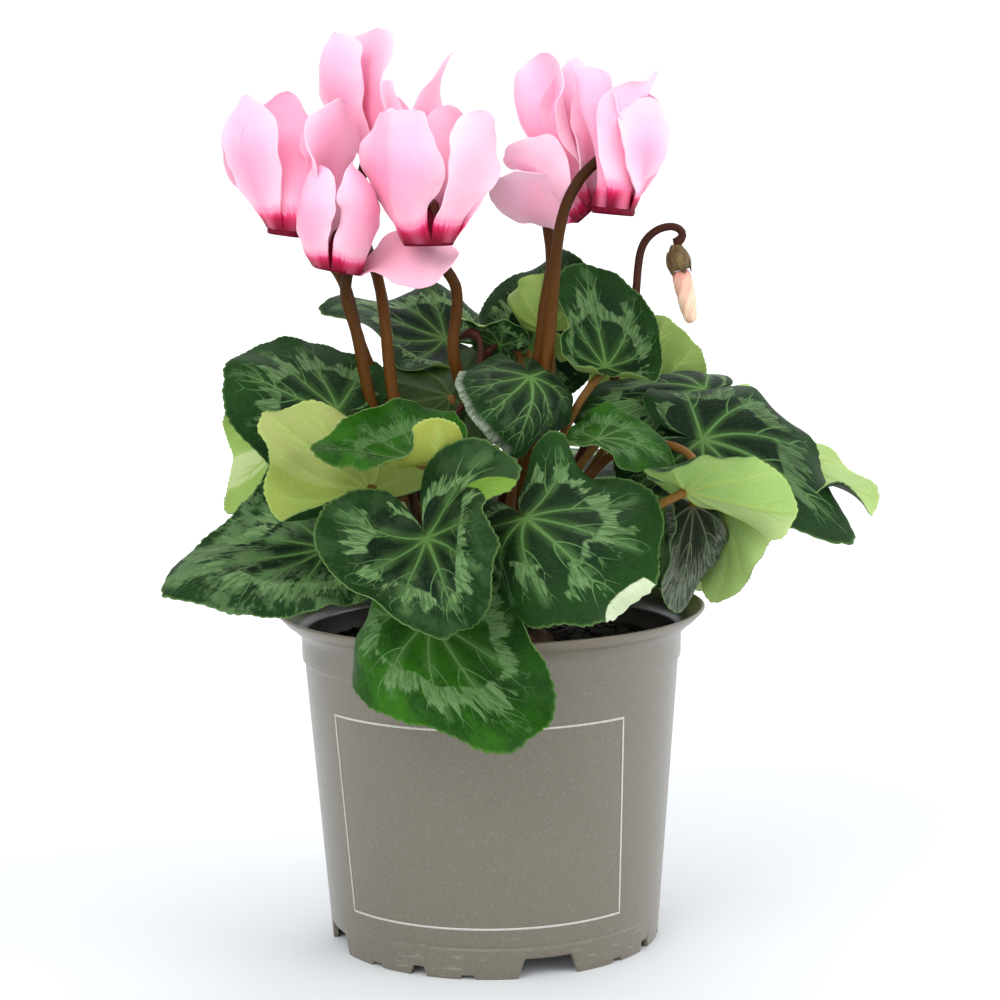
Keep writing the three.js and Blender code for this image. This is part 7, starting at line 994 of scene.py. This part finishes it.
# ---------------------------------------------------------------- flowers
def petal(b, pd, look, seed, mat=0):
    net = np.array(pd["net"], float).reshape(5, 5, 3)
    rng = np.random.default_rng(900 + seed)
    nx, nv = 40, 21
    x = np.concatenate([np.linspace(0, .9, nx - 8), np.linspace(.9, 1.0, 9)[1:]])
    hw = np.interp(x, PET_X, PET_W)
    k = np.array([.25, .5, .25])
    hs = np.convolve(np.concatenate([[hw[0]], hw, [hw[-1]]]), k, mode="valid")
    hs[-6:] = hw[-6:]
    v = np.sin(np.linspace(-1, 1, nv) * np.pi / 2)
    ph = rng.uniform(0, 6.28, 5)
    wob = 1 + .022 * np.sin(x * 21 + ph[0])[:, None] * (v > 0) + .022 * np.sin(x * 19 + ph[1])[:, None] * (v <= 0)
    Y = hs[:, None] * pd["width"] * v * wob
    X = x[:, None] * np.ones(nv)
    p = patch(net, PETAL_DOM, X, Y)
    n, sx, sy = frame_at(net, PETAL_DOM, X, Y)
    a = np.abs(v)
    ruffle = .38 * (a ** 3) * np.sin(X * 15 + ph[2] + 1.5 * np.sign(v)) + .20 * (a ** 5) * np.sin(X * 34 + ph[3])
    ruffle = ruffle * np.clip(X / .25, 0, 1)
    rib = .10 * np.cos(v * np.pi * 5.5) * (1 - a) * np.clip(1.1 - X, 0, 1)
    p = p + n * (ruffle + rib)[..., None]
    t = (.74 - .28 * a ** 2) * (1 - .45 * X ** 3)
    top, bot = p + n * (t / 2)[..., None], p - n * (t / 2)[..., None]
    uv = np.stack([X, (v * np.ones((nx, 1)) + 1) / 2], -1).reshape(-1, 2)
    A, A2 = (look.get("deep", .4), look.get("pale_and_painted_light", 0.0)), (seed * .0371 % 1.0, look.get("dusty", 0.0))
    b.add(top, grid_faces(nx, nv), mat, uv=uv, aux=A, aux2=A2)
    b.add(bot, grid_faces(nx, nv, flip=True), mat, uv=uv, aux=A, aux2=A2)
    # closed margin: one loop round, top, pushed-out middle, bottom
    loop = [i * nv for i in range(nx)] + [(nx - 1) * nv + j for j in range(1, nv)] + [i * nv + nv - 1 for i in range(nx - 2, -1, -1)] + [j for j in range(nv - 2, 0, -1)]
    T, B = top.reshape(-1, 3)[loop], bot.reshape(-1, 3)[loop]
    c = p.reshape(-1, 3)[[(min(max(i // nv, 1), nx - 2)) * nv + nv // 2 for i in loop]]
    M = p.reshape(-1, 3)[loop]
    M = M + unit(M - c) * .10
    m = len(loop)
    pts = np.concatenate([T, M, B])
    f = []
    for r in range(2):
        for i in range(m):
            j = (i + 1) % m
            f.append((r * m + i, (r + 1) * m + i, (r + 1) * m + j, r * m + j))
    b.add(pts, f, mat, uv=np.tile(uv[loop], (3, 1)), aux=A, aux2=A2)


def axes_of(axis, side):
    z = unit(np.array(axis, float))
    x = unit(np.array(side, float) - z * np.dot(np.array(side, float), z))
    return x, np.cross(z, x), z


def revolve(b, prof, n, org, ax, mat=0, lobes=None, flip=True, vscale=1.0, **uv):
    """surface of revolution about ax[2] through org; prof = [(r, z)], lobes(phi) scales r"""
    prof = np.array(prof, float)
    ph = np.linspace(0, 2 * np.pi, n + 1)
    s = np.ones(n + 1) if lobes is None else lobes(ph)
    P, U = [], []
    L = np.concatenate([[0], np.cumsum(np.linalg.norm(np.diff(prof, axis=0), axis=1))])
    for (r, z), l in zip(prof, L):
        rr = r * s
        P.append(org + rr[:, None] * (np.cos(ph)[:, None] * ax[0] + np.sin(ph)[:, None] * ax[1]) + z * ax[2])
        U.append(np.stack([ph / (2 * np.pi), np.full(n + 1, l * vscale)], -1))
    b.add(np.concatenate(P), grid_faces(len(prof), n + 1, flip=flip), mat, uv=np.concatenate(U), **uv)


def flower(i, fl, looks, mats, seed):
    """corolla: five lobes, tube, thick mouth lip, style and anther cone"""
    b = Builder(("uv", "aux", "aux2"))
    for k, pd in enumerate(fl["petals"]):
        petal(b, pd, looks[k], seed * 5 + k)
    c, ax = np.array(fl["mouth"], float), axes_of(fl["axis"], fl["side"])
    R = fl["ring"]
    lob = lambda a: 1 + .035 * np.cos(5 * a + .6)
    lip = fl.get('lip', 0)
    prof = [(R - 1.15, 1.5), (R - 1.25, .6 - lip), (R - 1.0, -.15 - lip), (R - .45, -.5 - lip), (R + .05, -.35 - lip), (R + .3, .25 - lip * .8), (R + .05, 1.2), (R * .94, 2.2),
            (R * .80, 4.4), (R * .60, 6.6), (R * .48, 8.0), (2.3, 8.9), (1.2, 9.05), (.02, 9.1)]
    revolve(b, prof, 50, c, ax, 1, lobes=lob, vscale=.1)
    inner = [(.02, 7.2), (R * .35, 6.9), (R * .55, 5.6), (R * .72, 3.8), (R - 1.25, 2.2), (R - 1.15, 1.5)]
    revolve(b, inner, 50, c, ax, 1, lobes=lob, vscale=.1)
    # anther cone and style
    revolve(b, [(.02, .6), (.5, .9), (1.0, 2.2), (1.7, 4.4), (1.8, 6.8), (.02, 7.1)], 20, c, ax, 2, lobes=lambda a: 1 + .12 * np.cos(5 * a), vscale=.1)
    sweep(b, np.array([c + ax[2] * z for z in np.linspace(-.15, 1.4, 8)]), .32, 8, 2)
    return b.make("corolla_%d_bloom" % i, mats, node="corolla_%d" % i)


def calyx(i, fl, mats, seed):
    b = Builder(("uv", "aux", "aux2"))
    c, ax = np.array(fl["mouth"], float), axes_of(fl["axis"], fl["side"])
    o = c + ax[2] * 9.35
    revolve(b, [(.02, 0), (2.0, .0), (2.9, .35), (2.95, .9), (2.5, 1.6), (1.9, 2.1), (1.55, 2.25), (.02, 2.25)], 30, o, ax, 0, lobes=lambda a: 1 + .06 * np.cos(5 * a), vscale=.1, aux=(.5, 0))
    for k in range(5):
        a = 2 * math.pi * k / 5 + .4
        rad = ax[0] * math.cos(a) + ax[1] * math.sin(a)
        tan = np.cross(ax[2], rad)
        m, w = 9, 5
        s = np.linspace(0, 1, m)
        rr = 2.75 + 1.15 * s - .25 * s ** 2
        zz = 1.1 - 4.6 * s
        hw = 1.45 * (1 - s ** 1.6) + .05
        vv = np.linspace(-1, 1, w)
        P = o + rr[:, None, None] * rad + zz[:, None, None] * ax[2] + (hw[:, None] * vv)[..., None] * tan - (.35 * (vv ** 2)[None, :] * (1 - s)[:, None])[..., None] * rad
        N = unit(rad * .97 + ax[2] * .25)
        T, B = P + N * .16, P - N * .16
        b.add(T, grid_faces(m, w, flip=False), 0, uv=np.stack([vv * np.ones((m, 1)) * .1, s[:, None] * np.ones(w) * .2], -1).reshape(-1, 2), aux=(.6, 0))
        b.add(B, grid_faces(m, w, flip=True), 0, uv=(0, .1), aux=(.6, 0))
        loop = [q * w for q in range(m)] + [(m - 1) * w + j for j in range(1, w)] + [q * w + w - 1 for q in range(m - 2, -1, -1)] + [j for j in range(w - 2, 0, -1)]
        n = len(loop)
        b.add(np.concatenate([T.reshape(-1, 3)[loop], B.reshape(-1, 3)[loop]]), [(q, n + q, n + (q + 1) % n, (q + 1) % n) for q in range(n)], 0, uv=(0, .1), aux=(.6, 0))
    return b.make("calyx_%d_sepals" % i, mats, node="calyx_%d" % i)


def stem_piece(node, ctrl, r0, r1, mats, seed, n=130, sides=18, tip=None):
    b = Builder(("uv", "aux", "aux2"))
    path, ln = even(bspline(ctrl, np.linspace(0, 1, 400)), n)
    fr = np.linspace(0, 1, n)
    rr = r0 + (r1 - r0) * fr ** .8 + .25 * np.exp(-fr * 40)
    if tip is not None:
        rr = tip(fr, rr)
    sweep(b, path, rr, sides, 0, rough=.045, seed=seed, aux=np.concatenate([np.stack([np.repeat(fr, sides + 1), np.zeros(n * (sides + 1))], -1), [[0, 0], [1, 0]]]))
    return b.make(node + "_skin", mats, node=node)


# ---------------------------------------------------------------- pot, peat, tuber
NOTCHES = [(18, 17, 5.4), (45.6, 4, 1.1), (63, 5, 2.6), (80.4, 4, 1.1)]
BASE_R, WALL_TOP_R, WALL_TOP_Z = 46.28, 52.51, 80.0
WALL = 1.1


def wall_r(z):
    return BASE_R + (WALL_TOP_R - BASE_R) * z / WALL_TOP_Z


def notch_height(ph):
    """height of the foot's cut-outs at azimuth ph (radians, from the front towards +X)"""
    h = np.zeros_like(ph)
    for q in range(4):
        for deg, w, hh in NOTCHES:
            a = np.abs((np.degrees(ph) - deg - 90 * q + 180) % 360 - 180)
            arc = np.radians(a) * (BASE_R - .7)
            h = np.maximum(h, np.clip((w / 2 - arc) / .35, 0, hh))
    return h


def make_pot(mats):
    b = Builder(("uv", "in"))
    n = 720
    C, T = 53.34, 87.3
    wr = wall_r
    prof = [(0.02, 6.4), (30, 6.4), (wr(6.4) - 3.0, 6.4), (wr(6.4) - 1.7, 6.1), (wr(5.4) - 1.42, 5.4), (wr(3) - 1.42, 3), (BASE_R - 1.4, .35), (BASE_R - 1.25, .08), (BASE_R - 1.0, 0),
            (BASE_R - .35, 0), (BASE_R - .1, .08), (BASE_R, .35), (wr(2.5), 2.5), (wr(5.5), 5.5), (wr(7.9), 7.9), (wr(8.3) - .03, 8.3), (wr(8.6) - .18, 8.6), (wr(9.0) - .18, 9.0),
            (wr(9.3) - .03, 9.3), (wr(9.8), 9.8)]
    prof += [(wr(z), z) for z in np.linspace(14, 78, 7)]
    prof += [(wr(79.4), 79.4), (wr(79.8) + .02, 79.8), (C - .45, 80.15), (C - .2, 80.5), (C - .14, 81.2), (C - .08, 84), (C, 86.8), (C + .15, 87.3), (C + .75, 88.0),
             (C + 2.4, 89.6), (C + 3.5, 90.62), (C + 3.9, 90.78), (C + 4.25, 91.0), (C + 5.2, 92.0), (59.75, 93.2), (60.0, 93.6), (59.97, 93.85), (59.75, 94.0), (59.3, 94.0), (58.95, 93.9), (58.6, 93.6),
             (57.2, 92.3), (C + 2.7, 91.3), (C + .9, 89.6), (C - WALL - .1, 88.1), (C - WALL - .2, 87.0), (C - WALL - .25, 80.8), (WALL_TOP_R - WALL, 79.6)]
    prof += [(wr(z) - WALL, z) for z in np.linspace(74, 12, 3)] + [(wr(8.2) - WALL, 8.2), (wr(7.6) - WALL - .5, 7.6), (30, 7.6), (.02, 7.6)]
    prof = np.array(prof)
    ph = np.linspace(0, 2 * np.pi, n + 1)
    nh = notch_height(ph)
    P, U = [], []
    foot = set(range(4, 14))
    for k, (r, z) in enumerate(prof):
        zz = np.full(n + 1, z)
        if k in foot:
            zz = z + nh * np.clip(1 - z / 6.3, 0, 1)
        P.append(np.stack([r * np.sin(ph), -r * np.cos(ph), zz], -1))
        U.append(np.stack([ph / (2 * np.pi), np.full(n + 1, z / 100)], -1))
    inside = np.zeros((len(prof), n + 1))
    inside[next(i for i, q in enumerate(prof) if abs(q[0] - 57.2) < .01):] = 1
    b.add(np.concatenate(P), grid_faces(len(prof), n + 1, flip=True), 0, uv=np.concatenate(U), **{"in": np.stack([inside.ravel(), inside.ravel() * 0], -1)})
    ob = b.make("pot_shell", mats, node="pot")
    return ob


def frame_line(mats):
    """thin pale rectangle printed round the front of the pot, as a film standing 0.04 mm proud"""
    b = Builder(("uv",))
    (a00, a01), (a10, a11) = np.radians(LINE_A0), np.radians(LINE_A1)      # left and right side: angle at the bottom, at the top
    z0, z1, w = LINE_Z0, LINE_Z1, .62

    def strip(az, zz, horizontal):
        rows = []
        for off in (-w / 2, w / 2):
            z = zz + (off if horizontal else 0 * zz)
            r = wall_r(z) + .05
            a = az + (0 if horizontal else off / r)
            rows.append(np.stack([r * np.sin(a), -r * np.cos(a), z], -1))
        b.add(np.concatenate(rows), grid_faces(2, len(az), flip=not horizontal), 0, uv=(0, 0))
    strip(np.linspace(a00 - w / 2 / 50, a10 + w / 2 / 50, 90), np.full(90, z0), True)
    strip(np.linspace(a01 - w / 2 / 50, a11 + w / 2 / 50, 90), np.full(90, z1), True)
    z = np.linspace(z0 + w / 2, z1 - w / 2, 30)
    strip(np.linspace(a00, a01, 30), z, False)
    strip(np.linspace(a10, a11, 30), z, False)
    # the film needs a closed body: give it its own thickness
    ob = b.make("pot_line_print", mats)
    md = ob.modifiers.new("film", "SOLIDIFY")
    md.thickness = .00006
    md.offset = -1
    return ob


def make_soil(mats):
    b = Builder(("uv",))
    rng = np.random.default_rng(11)
    nr, na = 54, 156
    r = np.concatenate([np.linspace(.2, 50.9, nr - 3), [51.0, 50.6, 47.2]])
    z_side = [82.2, 78.5, 8.2]
    ph = np.linspace(0, 2 * np.pi, na + 1)
    rows = []
    for i, rr in enumerate(r):
        x, y = rr * np.sin(ph), -rr * np.cos(ph)
        if i < nr - 3:
            q = np.stack([x, y, np.zeros_like(x)], -1)
            z = 82.6 + .9 * lattice(q * .16, 3) + .55 * lattice(q * .45, 4) + .35 * lattice(q * 1.1, 5) - .5 * (rr / 50) ** 6
        else:
            z = np.full(na + 1, z_side[i - nr + 3])
            rr2 = wall_r(z_side[i - nr + 3]) - WALL - .4 if i > nr - 3 else 50.9
            x, y = rr2 * np.sin(ph), -rr2 * np.cos(ph)
        z[-1] = z[0]
        rows.append(np.stack([x, y, z], -1))
    rows.append(np.stack([0 * ph, 0 * ph, np.full(na + 1, 8.1)], -1))
    b.add(np.concatenate(rows), grid_faces(len(rows), na + 1, flip=False), 0)
    # crumbs of peat, bark bits and a few pale grains
    t = (1 + 5 ** .5) / 2
    ico = unit(np.array([(-1, t, 0), (1, t, 0), (-1, -t, 0), (1, -t, 0), (0, -1, t), (0, 1, t), (0, -1, -t), (0, 1, -t), (t, 0, -1), (t, 0, 1), (-t, 0, -1), (-t, 0, 1)], float))
    fi = [(0, 11, 5), (0, 5, 1), (0, 1, 7), (0, 7, 10), (0, 10, 11), (1, 5, 9), (5, 11, 4), (11, 10, 2), (10, 7, 6), (7, 1, 8), (3, 9, 4), (3, 4, 2), (3, 2, 6), (3, 6, 8), (3, 8, 9), (4, 9, 5), (2, 4, 11), (6, 2, 10), (8, 6, 7), (9, 8, 1)]
    for k in range(1500):
        rr, a = 50.0 * math.sqrt(rng.uniform(.02, 1)), rng.uniform(0, 2 * math.pi)
        x, y = rr * math.sin(a), -rr * math.cos(a)
        s = rng.choice([.35, .5, .7, 1.0, 1.5], p=[.3, .3, .2, .14, .06])
        q = ico * (1 + rng.uniform(-.28, .28, (12, 1))) * np.array([1, rng.uniform(.5, 1), rng.uniform(.4, .8)]) * s
        c, sn = math.cos(a * 7), math.sin(a * 7)
        q = q @ np.array([[c, -sn, 0], [sn, c, 0], [0, 0, 1]])
        z = 82.6 + .9 * lattice([[x * .16, y * .16, 0]], 3)[0] + .55 * lattice([[x * .45, y * .45, 0]], 4)[0] - .5 * (rr / 50) ** 6
        b.add(q + np.array([x, y, z + s * .28]), fi, 1 if rng.random() < .035 else 0)
    return b.make("peat_surface", mats, node="soil")


def make_tuber(mats):
    b = Builder(("uv",))
    nz, na = 30, 96
    ph = np.linspace(0, 2 * np.pi, na + 1)
    prof = [(.02, 70.2), (8, 70.8), (13.5, 72.4), (16.6, 75.2), (17.9, 78.6), (18.0, 81.4), (17.5, 84), (16.4, 86), (14.4, 87.3), (11.5, 87.9), (8, 87.6), (4, 87.7), (.02, 87.8)]
    path, _ = even(np.array([(r, z, 0) for r, z in prof]), nz)
    rows = []
    for r, z, _z in path:
        q = np.stack([np.cos(ph) * r * .28, np.sin(ph) * r * .28, np.full(na + 1, z * .28)], -1)
        nse = .45 * lattice(q, 7) + .28 * lattice(q * 2.7, 8)
        rr = np.clip(r + nse * min(1, r / 4) - .3, .01, 18)
        zz = z + (.3 * lattice(q * 1.6, 9) if z > 84 else 0) - (.35 if z > 86 else 0)
        rows.append(np.stack([rr * np.cos(ph), rr * np.sin(ph), zz + 0 * ph], -1))
    for rw in rows:
        rw[-1] = rw[0]
    b.add(np.concatenate(rows), grid_faces(nz, na + 1, flip=True), 0)
    return b.make("tuber_skin", mats, node="tuber")


# ---------------------------------------------------------------- bud
def make_bud(mats_petal, mats_calyx):
    top, axis = np.array(BUD["top"], float), unit(np.array(BUD["axis"], float))
    side = np.array([1.0, 0, 0])
    ax = axes_of(axis, side)
    b = Builder(("uv", "aux", "aux2"))
    n = 60
    prof = np.array([(.02, 7.9), (2.0, 8.0), (2.45, 8.6), (2.6, 10), (2.6, 12), (2.55, 14), (2.5, 16), (2.35, 18), (2.1, 19.6), (1.85, 21.2), (1.5, 22.2), (.9, 22.8), (.02, 23.0)])
    path, _ = even(np.concatenate([prof, np.zeros((len(prof), 1))], 1), 46)
    ph = np.linspace(0, 2 * np.pi, n + 1)
    P, U = [], []
    for k, (r, z, _q) in enumerate(path):
        tw = (z - 8) * .23                      # furled lobes, wound round each other
        a = (ph - tw) * 5
        saw = ((a / (2 * np.pi)) % 1.0)
        rr = r * (1 + .13 * (saw - .5) + .05 * np.sin(a * 2)) * 1.02
        bend = .35 * np.sin((z - 8) / 15 * 2.2)
        P.append(top + rr[:, None] * (np.cos(ph)[:, None] * ax[0] + np.sin(ph)[:, None] * ax[1]) + z * ax[2] + bend * ax[0])
        U.append(np.stack([(saw + 0.0), np.full(n + 1, (z - 8) / 15)], -1))
    for row in P:
        row[-1] = row[0]
    b.add(np.concatenate(P), grid_faces(len(path), n + 1, flip=True), 0, uv=np.concatenate(U))
    b.make("bud_petals_furled", mats_petal, node="bud_petals")

    b = Builder(("uv", "aux", "aux2"))
    revolve(b, [(.02, .3), (1.25, .35), (1.7, .8), (2.3, 2.0), (3.0, 3.6), (3.3, 5.0), (3.25, 6.2), (2.95, 7.2), (2.5, 7.7), (.02, 7.7)], 40, top, ax, 0, lobes=lambda a: 1 + .045 * np.cos(5 * a), vscale=.1, aux=(.5, 0))
    for k in range(5):
        a = 2 * math.pi * k / 5
        rad = ax[0] * math.cos(a) + ax[1] * math.sin(a)
        tan = np.cross(ax[2], rad)
        m, w = 12, 7
        s = np.linspace(0, 1, m)
        zz = 2.2 + 6.6 * s
        rr = np.interp(zz, [2.2, 3.6, 5, 6.2, 7.2, 8.8], [2.45, 3.12, 3.42, 3.42, 3.2, 2.95]) + .05
        hw = 2.0 * np.sin(np.pi * np.clip(.32 + .68 * s, 0, 1)) ** .8 + .03
        vv = np.linspace(-1, 1, w)
        P = top + rr[:, None, None] * rad + zz[:, None, None] * ax[2] + (hw[:, None] * vv)[..., None] * tan - (.62 * (vv ** 2)[None, :] * (hw / 2)[:, None])[..., None] * rad
        T, B = P + rad * .13, P - rad * .13
        b.add(T, grid_faces(m, w, flip=True), 0, uv=np.stack([vv * np.ones((m, 1)) * .1, s[:, None] * np.ones(w) * .2], -1).reshape(-1, 2), aux=(.6, 0))
        b.add(B, grid_faces(m, w), 0, uv=(0, .1), aux=(.6, 0))
        loop = [q * w for q in range(m)] + [(m - 1) * w + j for j in range(1, w)] + [q * w + w - 1 for q in range(m - 2, -1, -1)] + [j for j in range(w - 2, 0, -1)]
        nn = len(loop)
        b.add(np.concatenate([T.reshape(-1, 3)[loop], B.reshape(-1, 3)[loop]]), [(q, (q + 1) % nn, nn + (q + 1) % nn, nn + q) for q in range(nn)], 0, uv=(0, .1), aux=(.6, 0))
    b.make("bud_calyx_sepals", mats_calyx, node="bud_calyx")


def mat_bud():
    s = Mat("bud_petal")
    saw, v, _ = s.sep(s.uv("uv"))
    fib = s.noise(s.com(s.mul(saw, 9.0), s.mul(v, 2.0), 0.0), 1.0, 3.0)
    col = s.ramp(v, [(0.0, (222, 150, 140)), (.2, (236, 186, 164)), (.6, (244, 210, 184)), (1.0, (238, 206, 176))])
    col = s.mix(s.mul(s.step(saw, .74, 1.0), .7), col, (226, 150, 134))
    col = s.mix(s.mul(s.step(fib, .5, .7), .4), col, (226, 160, 146))
    s.set(color=col, rough=.5, spec=.2, sss=.15, sss_radius=(1.0, .5, .4), sss_scale=.001, normal=s.bump(fib, .0003, .5))
    return s.mat


# ---------------------------------------------------------------- assembly
M_TOP, M_UND = mat_leaf_top(), mat_leaf_under()
M_DULL = mat_leaf_top("leaf_upper_dull", dull=True)
M_VT = mat_vein("vein_upper", (88, 126, 58), (82, 119, 70), (46, 80, 38))
M_VU = mat_vein("vein_lower", (156, 172, 88), (146, 174, 86), (138, 168, 78), .5)
M_VD = mat_vein("vein_dull", (84, 92, 62), (120, 126, 112), (64, 70, 56), .5)
M_VK = mat_vein("vein_shaded", (60, 84, 30), (56, 80, 28), (44, 66, 20), .5)
M_EDGE = mat_simple("leaf_margin", (66, 98, 46), (98, 130, 68), 500.0, .5, .0001)
M_STALK = mat_stem("leaf_stalk", (70, 40, 22), (92, 58, 26), (120, 88, 40))
M_STEM = mat_stem("flower_stem", (104, 70, 10), (90, 54, 8), (50, 28, 10))
M_DARK = mat_stem("dark_stem", (62, 34, 24), (70, 36, 28), (66, 34, 26))
M_PETAL, M_MOUTH = mat_petal(), mat_mouth()
M_ANTHER = mat_simple("anther", (190, 150, 70), (150, 60, 50), 700.0, .55, .0002)
M_CALYX = mat_simple("calyx_skin", (58, 30, 18), (96, 58, 36), 500.0, .5, .0003, streak=(120, 96, 56))
M_BUDCAL = mat_simple("bud_calyx_skin", (78, 62, 32), (118, 98, 58), 420.0, .5, .0003, streak=(66, 38, 24))
M_POT, M_SOIL = mat_pot(), mat_soil()
M_GRAIN = mat_simple("pale_grain", (150, 138, 118), (186, 176, 156), 600.0, .8, .0003)
M_TUBER = mat_simple("tuber_skin", (46, 32, 24), (88, 64, 46), 180.0, .78, .0008, streak=(128, 100, 74))
M_LINE = mat_simple("pale_print", (182, 180, 174), (196, 194, 189), 900.0, .5, .00002)

for i, (name, d) in enumerate(LEAVES.items()):
    lk = LOOKS.get(name, {})
    mats = [M_TOP, M_UND, M_EDGE, M_VT, M_VU, M_STALK]
    if lk.get("shade", 0) > .5:
        mats[4] = M_VK
    if lk.get("both") == "under":
        mats[0], mats[3] = M_UND, M_VU
    elif lk.get("both") == "top":
        mats[0] = mats[1] = M_DULL
        mats[3] = mats[4] = M_VD
    if "flap" in lk:
        so = ((i + 1) * 3.17 % 17.0, (i + 1) * 1.73 % 13.0)
        mats[0] = mat_leaf_top("leaf_upper_" + name, flap=[(x + so[0], y + so[1]) for x, y in lk["flap"]], flap_cols=[tuple(c) for c in lk.get("flap_cols", [])])
    leaf_piece(name, d, lk, mats, i + 1)
for i, fl in FLOWERS.items():
    flower(i, fl, PETAL_LOOKS[i], [M_PETAL, M_MOUTH, M_ANTHER], i)
    calyx(i, fl, [M_CALYX], i)
    stem_piece("flower_stem_%d" % i, fl["stem"], STEM_R0, STEM_R1, [M_STEM], 40 + i)
stem_piece("bud_stem", BUD["stem"], 1.5, 1.1, [M_DARK], 50, tip=lambda f, r: r + .35 * np.exp(-((f - 1) / .02) ** 2))
for i, c in enumerate(YOUNG_BUDS):
    stem_piece("young_bud_%d" % (i + 1), c, 1.0, .8, [M_DARK], 60 + i, n=90, sides=14,
               tip=lambda f, r: r + .75 * np.exp(-((f - .955) / .022) ** 2) - .3 * np.clip((f - .975) / .025, 0, 1))
make_bud([mat_bud()], [M_BUDCAL])
make_soil([M_SOIL, M_GRAIN])
make_tuber([M_TUBER])
make_pot([M_POT])
frame_line([M_LINE])

# ---------------------------------------------------------------- stage, light, camera
prof = [(-5.0, 0.0), (.7, 0.0)] + [(.7 + 1.6 * math.sin(a), 1.6 * (1 - math.cos(a))) for a in np.linspace(0, math.pi / 2, 25)[1:]] + [(2.3, 3.4)]
me = bpy.data.meshes.new("floor")
me.from_pydata([(x, y, z) for y, z in prof for x in (-5.0, 5.0)], [], [(2 * k, 2 * k + 1, 2 * k + 3, 2 * k + 2) for k in range(len(prof) - 1)])
me.polygons.foreach_set("use_smooth", [True] * len(me.polygons))
floor = bpy.data.objects.new("floor", me)
bpy.context.scene.collection.objects.link(floor)
s = Mat("floor_paper")
n = s.noise(s.obj(), 3.0, 3.0)
_fx, fy, _fz = s.sep(s.obj())
# painted shade: the floor greyer near the pot and camera, fading to near-white towards the back
far = s.step(fy, .15, 1.1)
s.set(color=s.mix(far, s.mix(n, (227, 230, 234), (232, 235, 239)), (252, 253, 254)), rough=.9, spec=.05)
me.materials.append(s.mat)

world = bpy.data.worlds.new("studio")
world.use_nodes = True
bg = world.node_tree.nodes["Background"]
bg.inputs["Color"].default_value = (.985, .995, 1.0, 1)
bg.inputs["Strength"].default_value = WORLD
bpy.context.scene.world = world


def area(name, loc, target, size, power, color=(1, 1, 1)):
    li = bpy.data.lights.new(name, "AREA")
    li.shape, li.size, li.energy, li.color = "DISK", size, power, color
    ob = bpy.data.objects.new(name, li)
    ob.location = loc
    d = np.array(target, float) - np.array(loc, float)
    z = -unit(d)
    x = unit(np.cross([0, 0, 1.0], z))
    y = np.cross(z, x)
    ob.matrix_world = Matrix([[x[0], y[0], z[0], loc[0]], [x[1], y[1], z[1], loc[1]], [x[2], y[2], z[2], loc[2]], [0, 0, 0, 1]])
    bpy.context.scene.collection.objects.link(ob)


for args in LIGHTS:
    area(*args)

CAM_D, CAM_H, PITCH, YAW, ROLL, FPX = 698.10, 214.32, 0.1291, 0.0042, -0.0135, 2515.79
cam = bpy.data.cameras.new("camera")
cam.sensor_fit, cam.sensor_width = "HORIZONTAL", 36.0
cam.lens = FPX * 36.0 / 1000.0
cam.clip_start, cam.clip_end = .01, 50
co = bpy.data.objects.new("camera", cam)
fwd = np.array([math.sin(YAW) * math.cos(PITCH), math.cos(YAW) * math.cos(PITCH), -math.sin(PITCH)])
right = np.array([math.cos(YAW), -math.sin(YAW), 0])
up = np.cross(right, fwd)
r2 = math.cos(ROLL) * right + math.sin(ROLL) * up
u2 = -math.sin(ROLL) * right + math.cos(ROLL) * up
loc = np.array([OX, OY - CAM_D, CAM_H]) / 1000
co.matrix_world = Matrix([[r2[0], u2[0], -fwd[0], loc[0]], [r2[1], u2[1], -fwd[1], loc[1]], [r2[2], u2[2], -fwd[2], loc[2]], [0, 0, 0, 1]])
bpy.context.scene.collection.objects.link(co)
bpy.context.scene.camera = co
bpy.context.scene.view_settings.view_transform = "Standard"
bpy.context.scene.view_settings.look = "None"
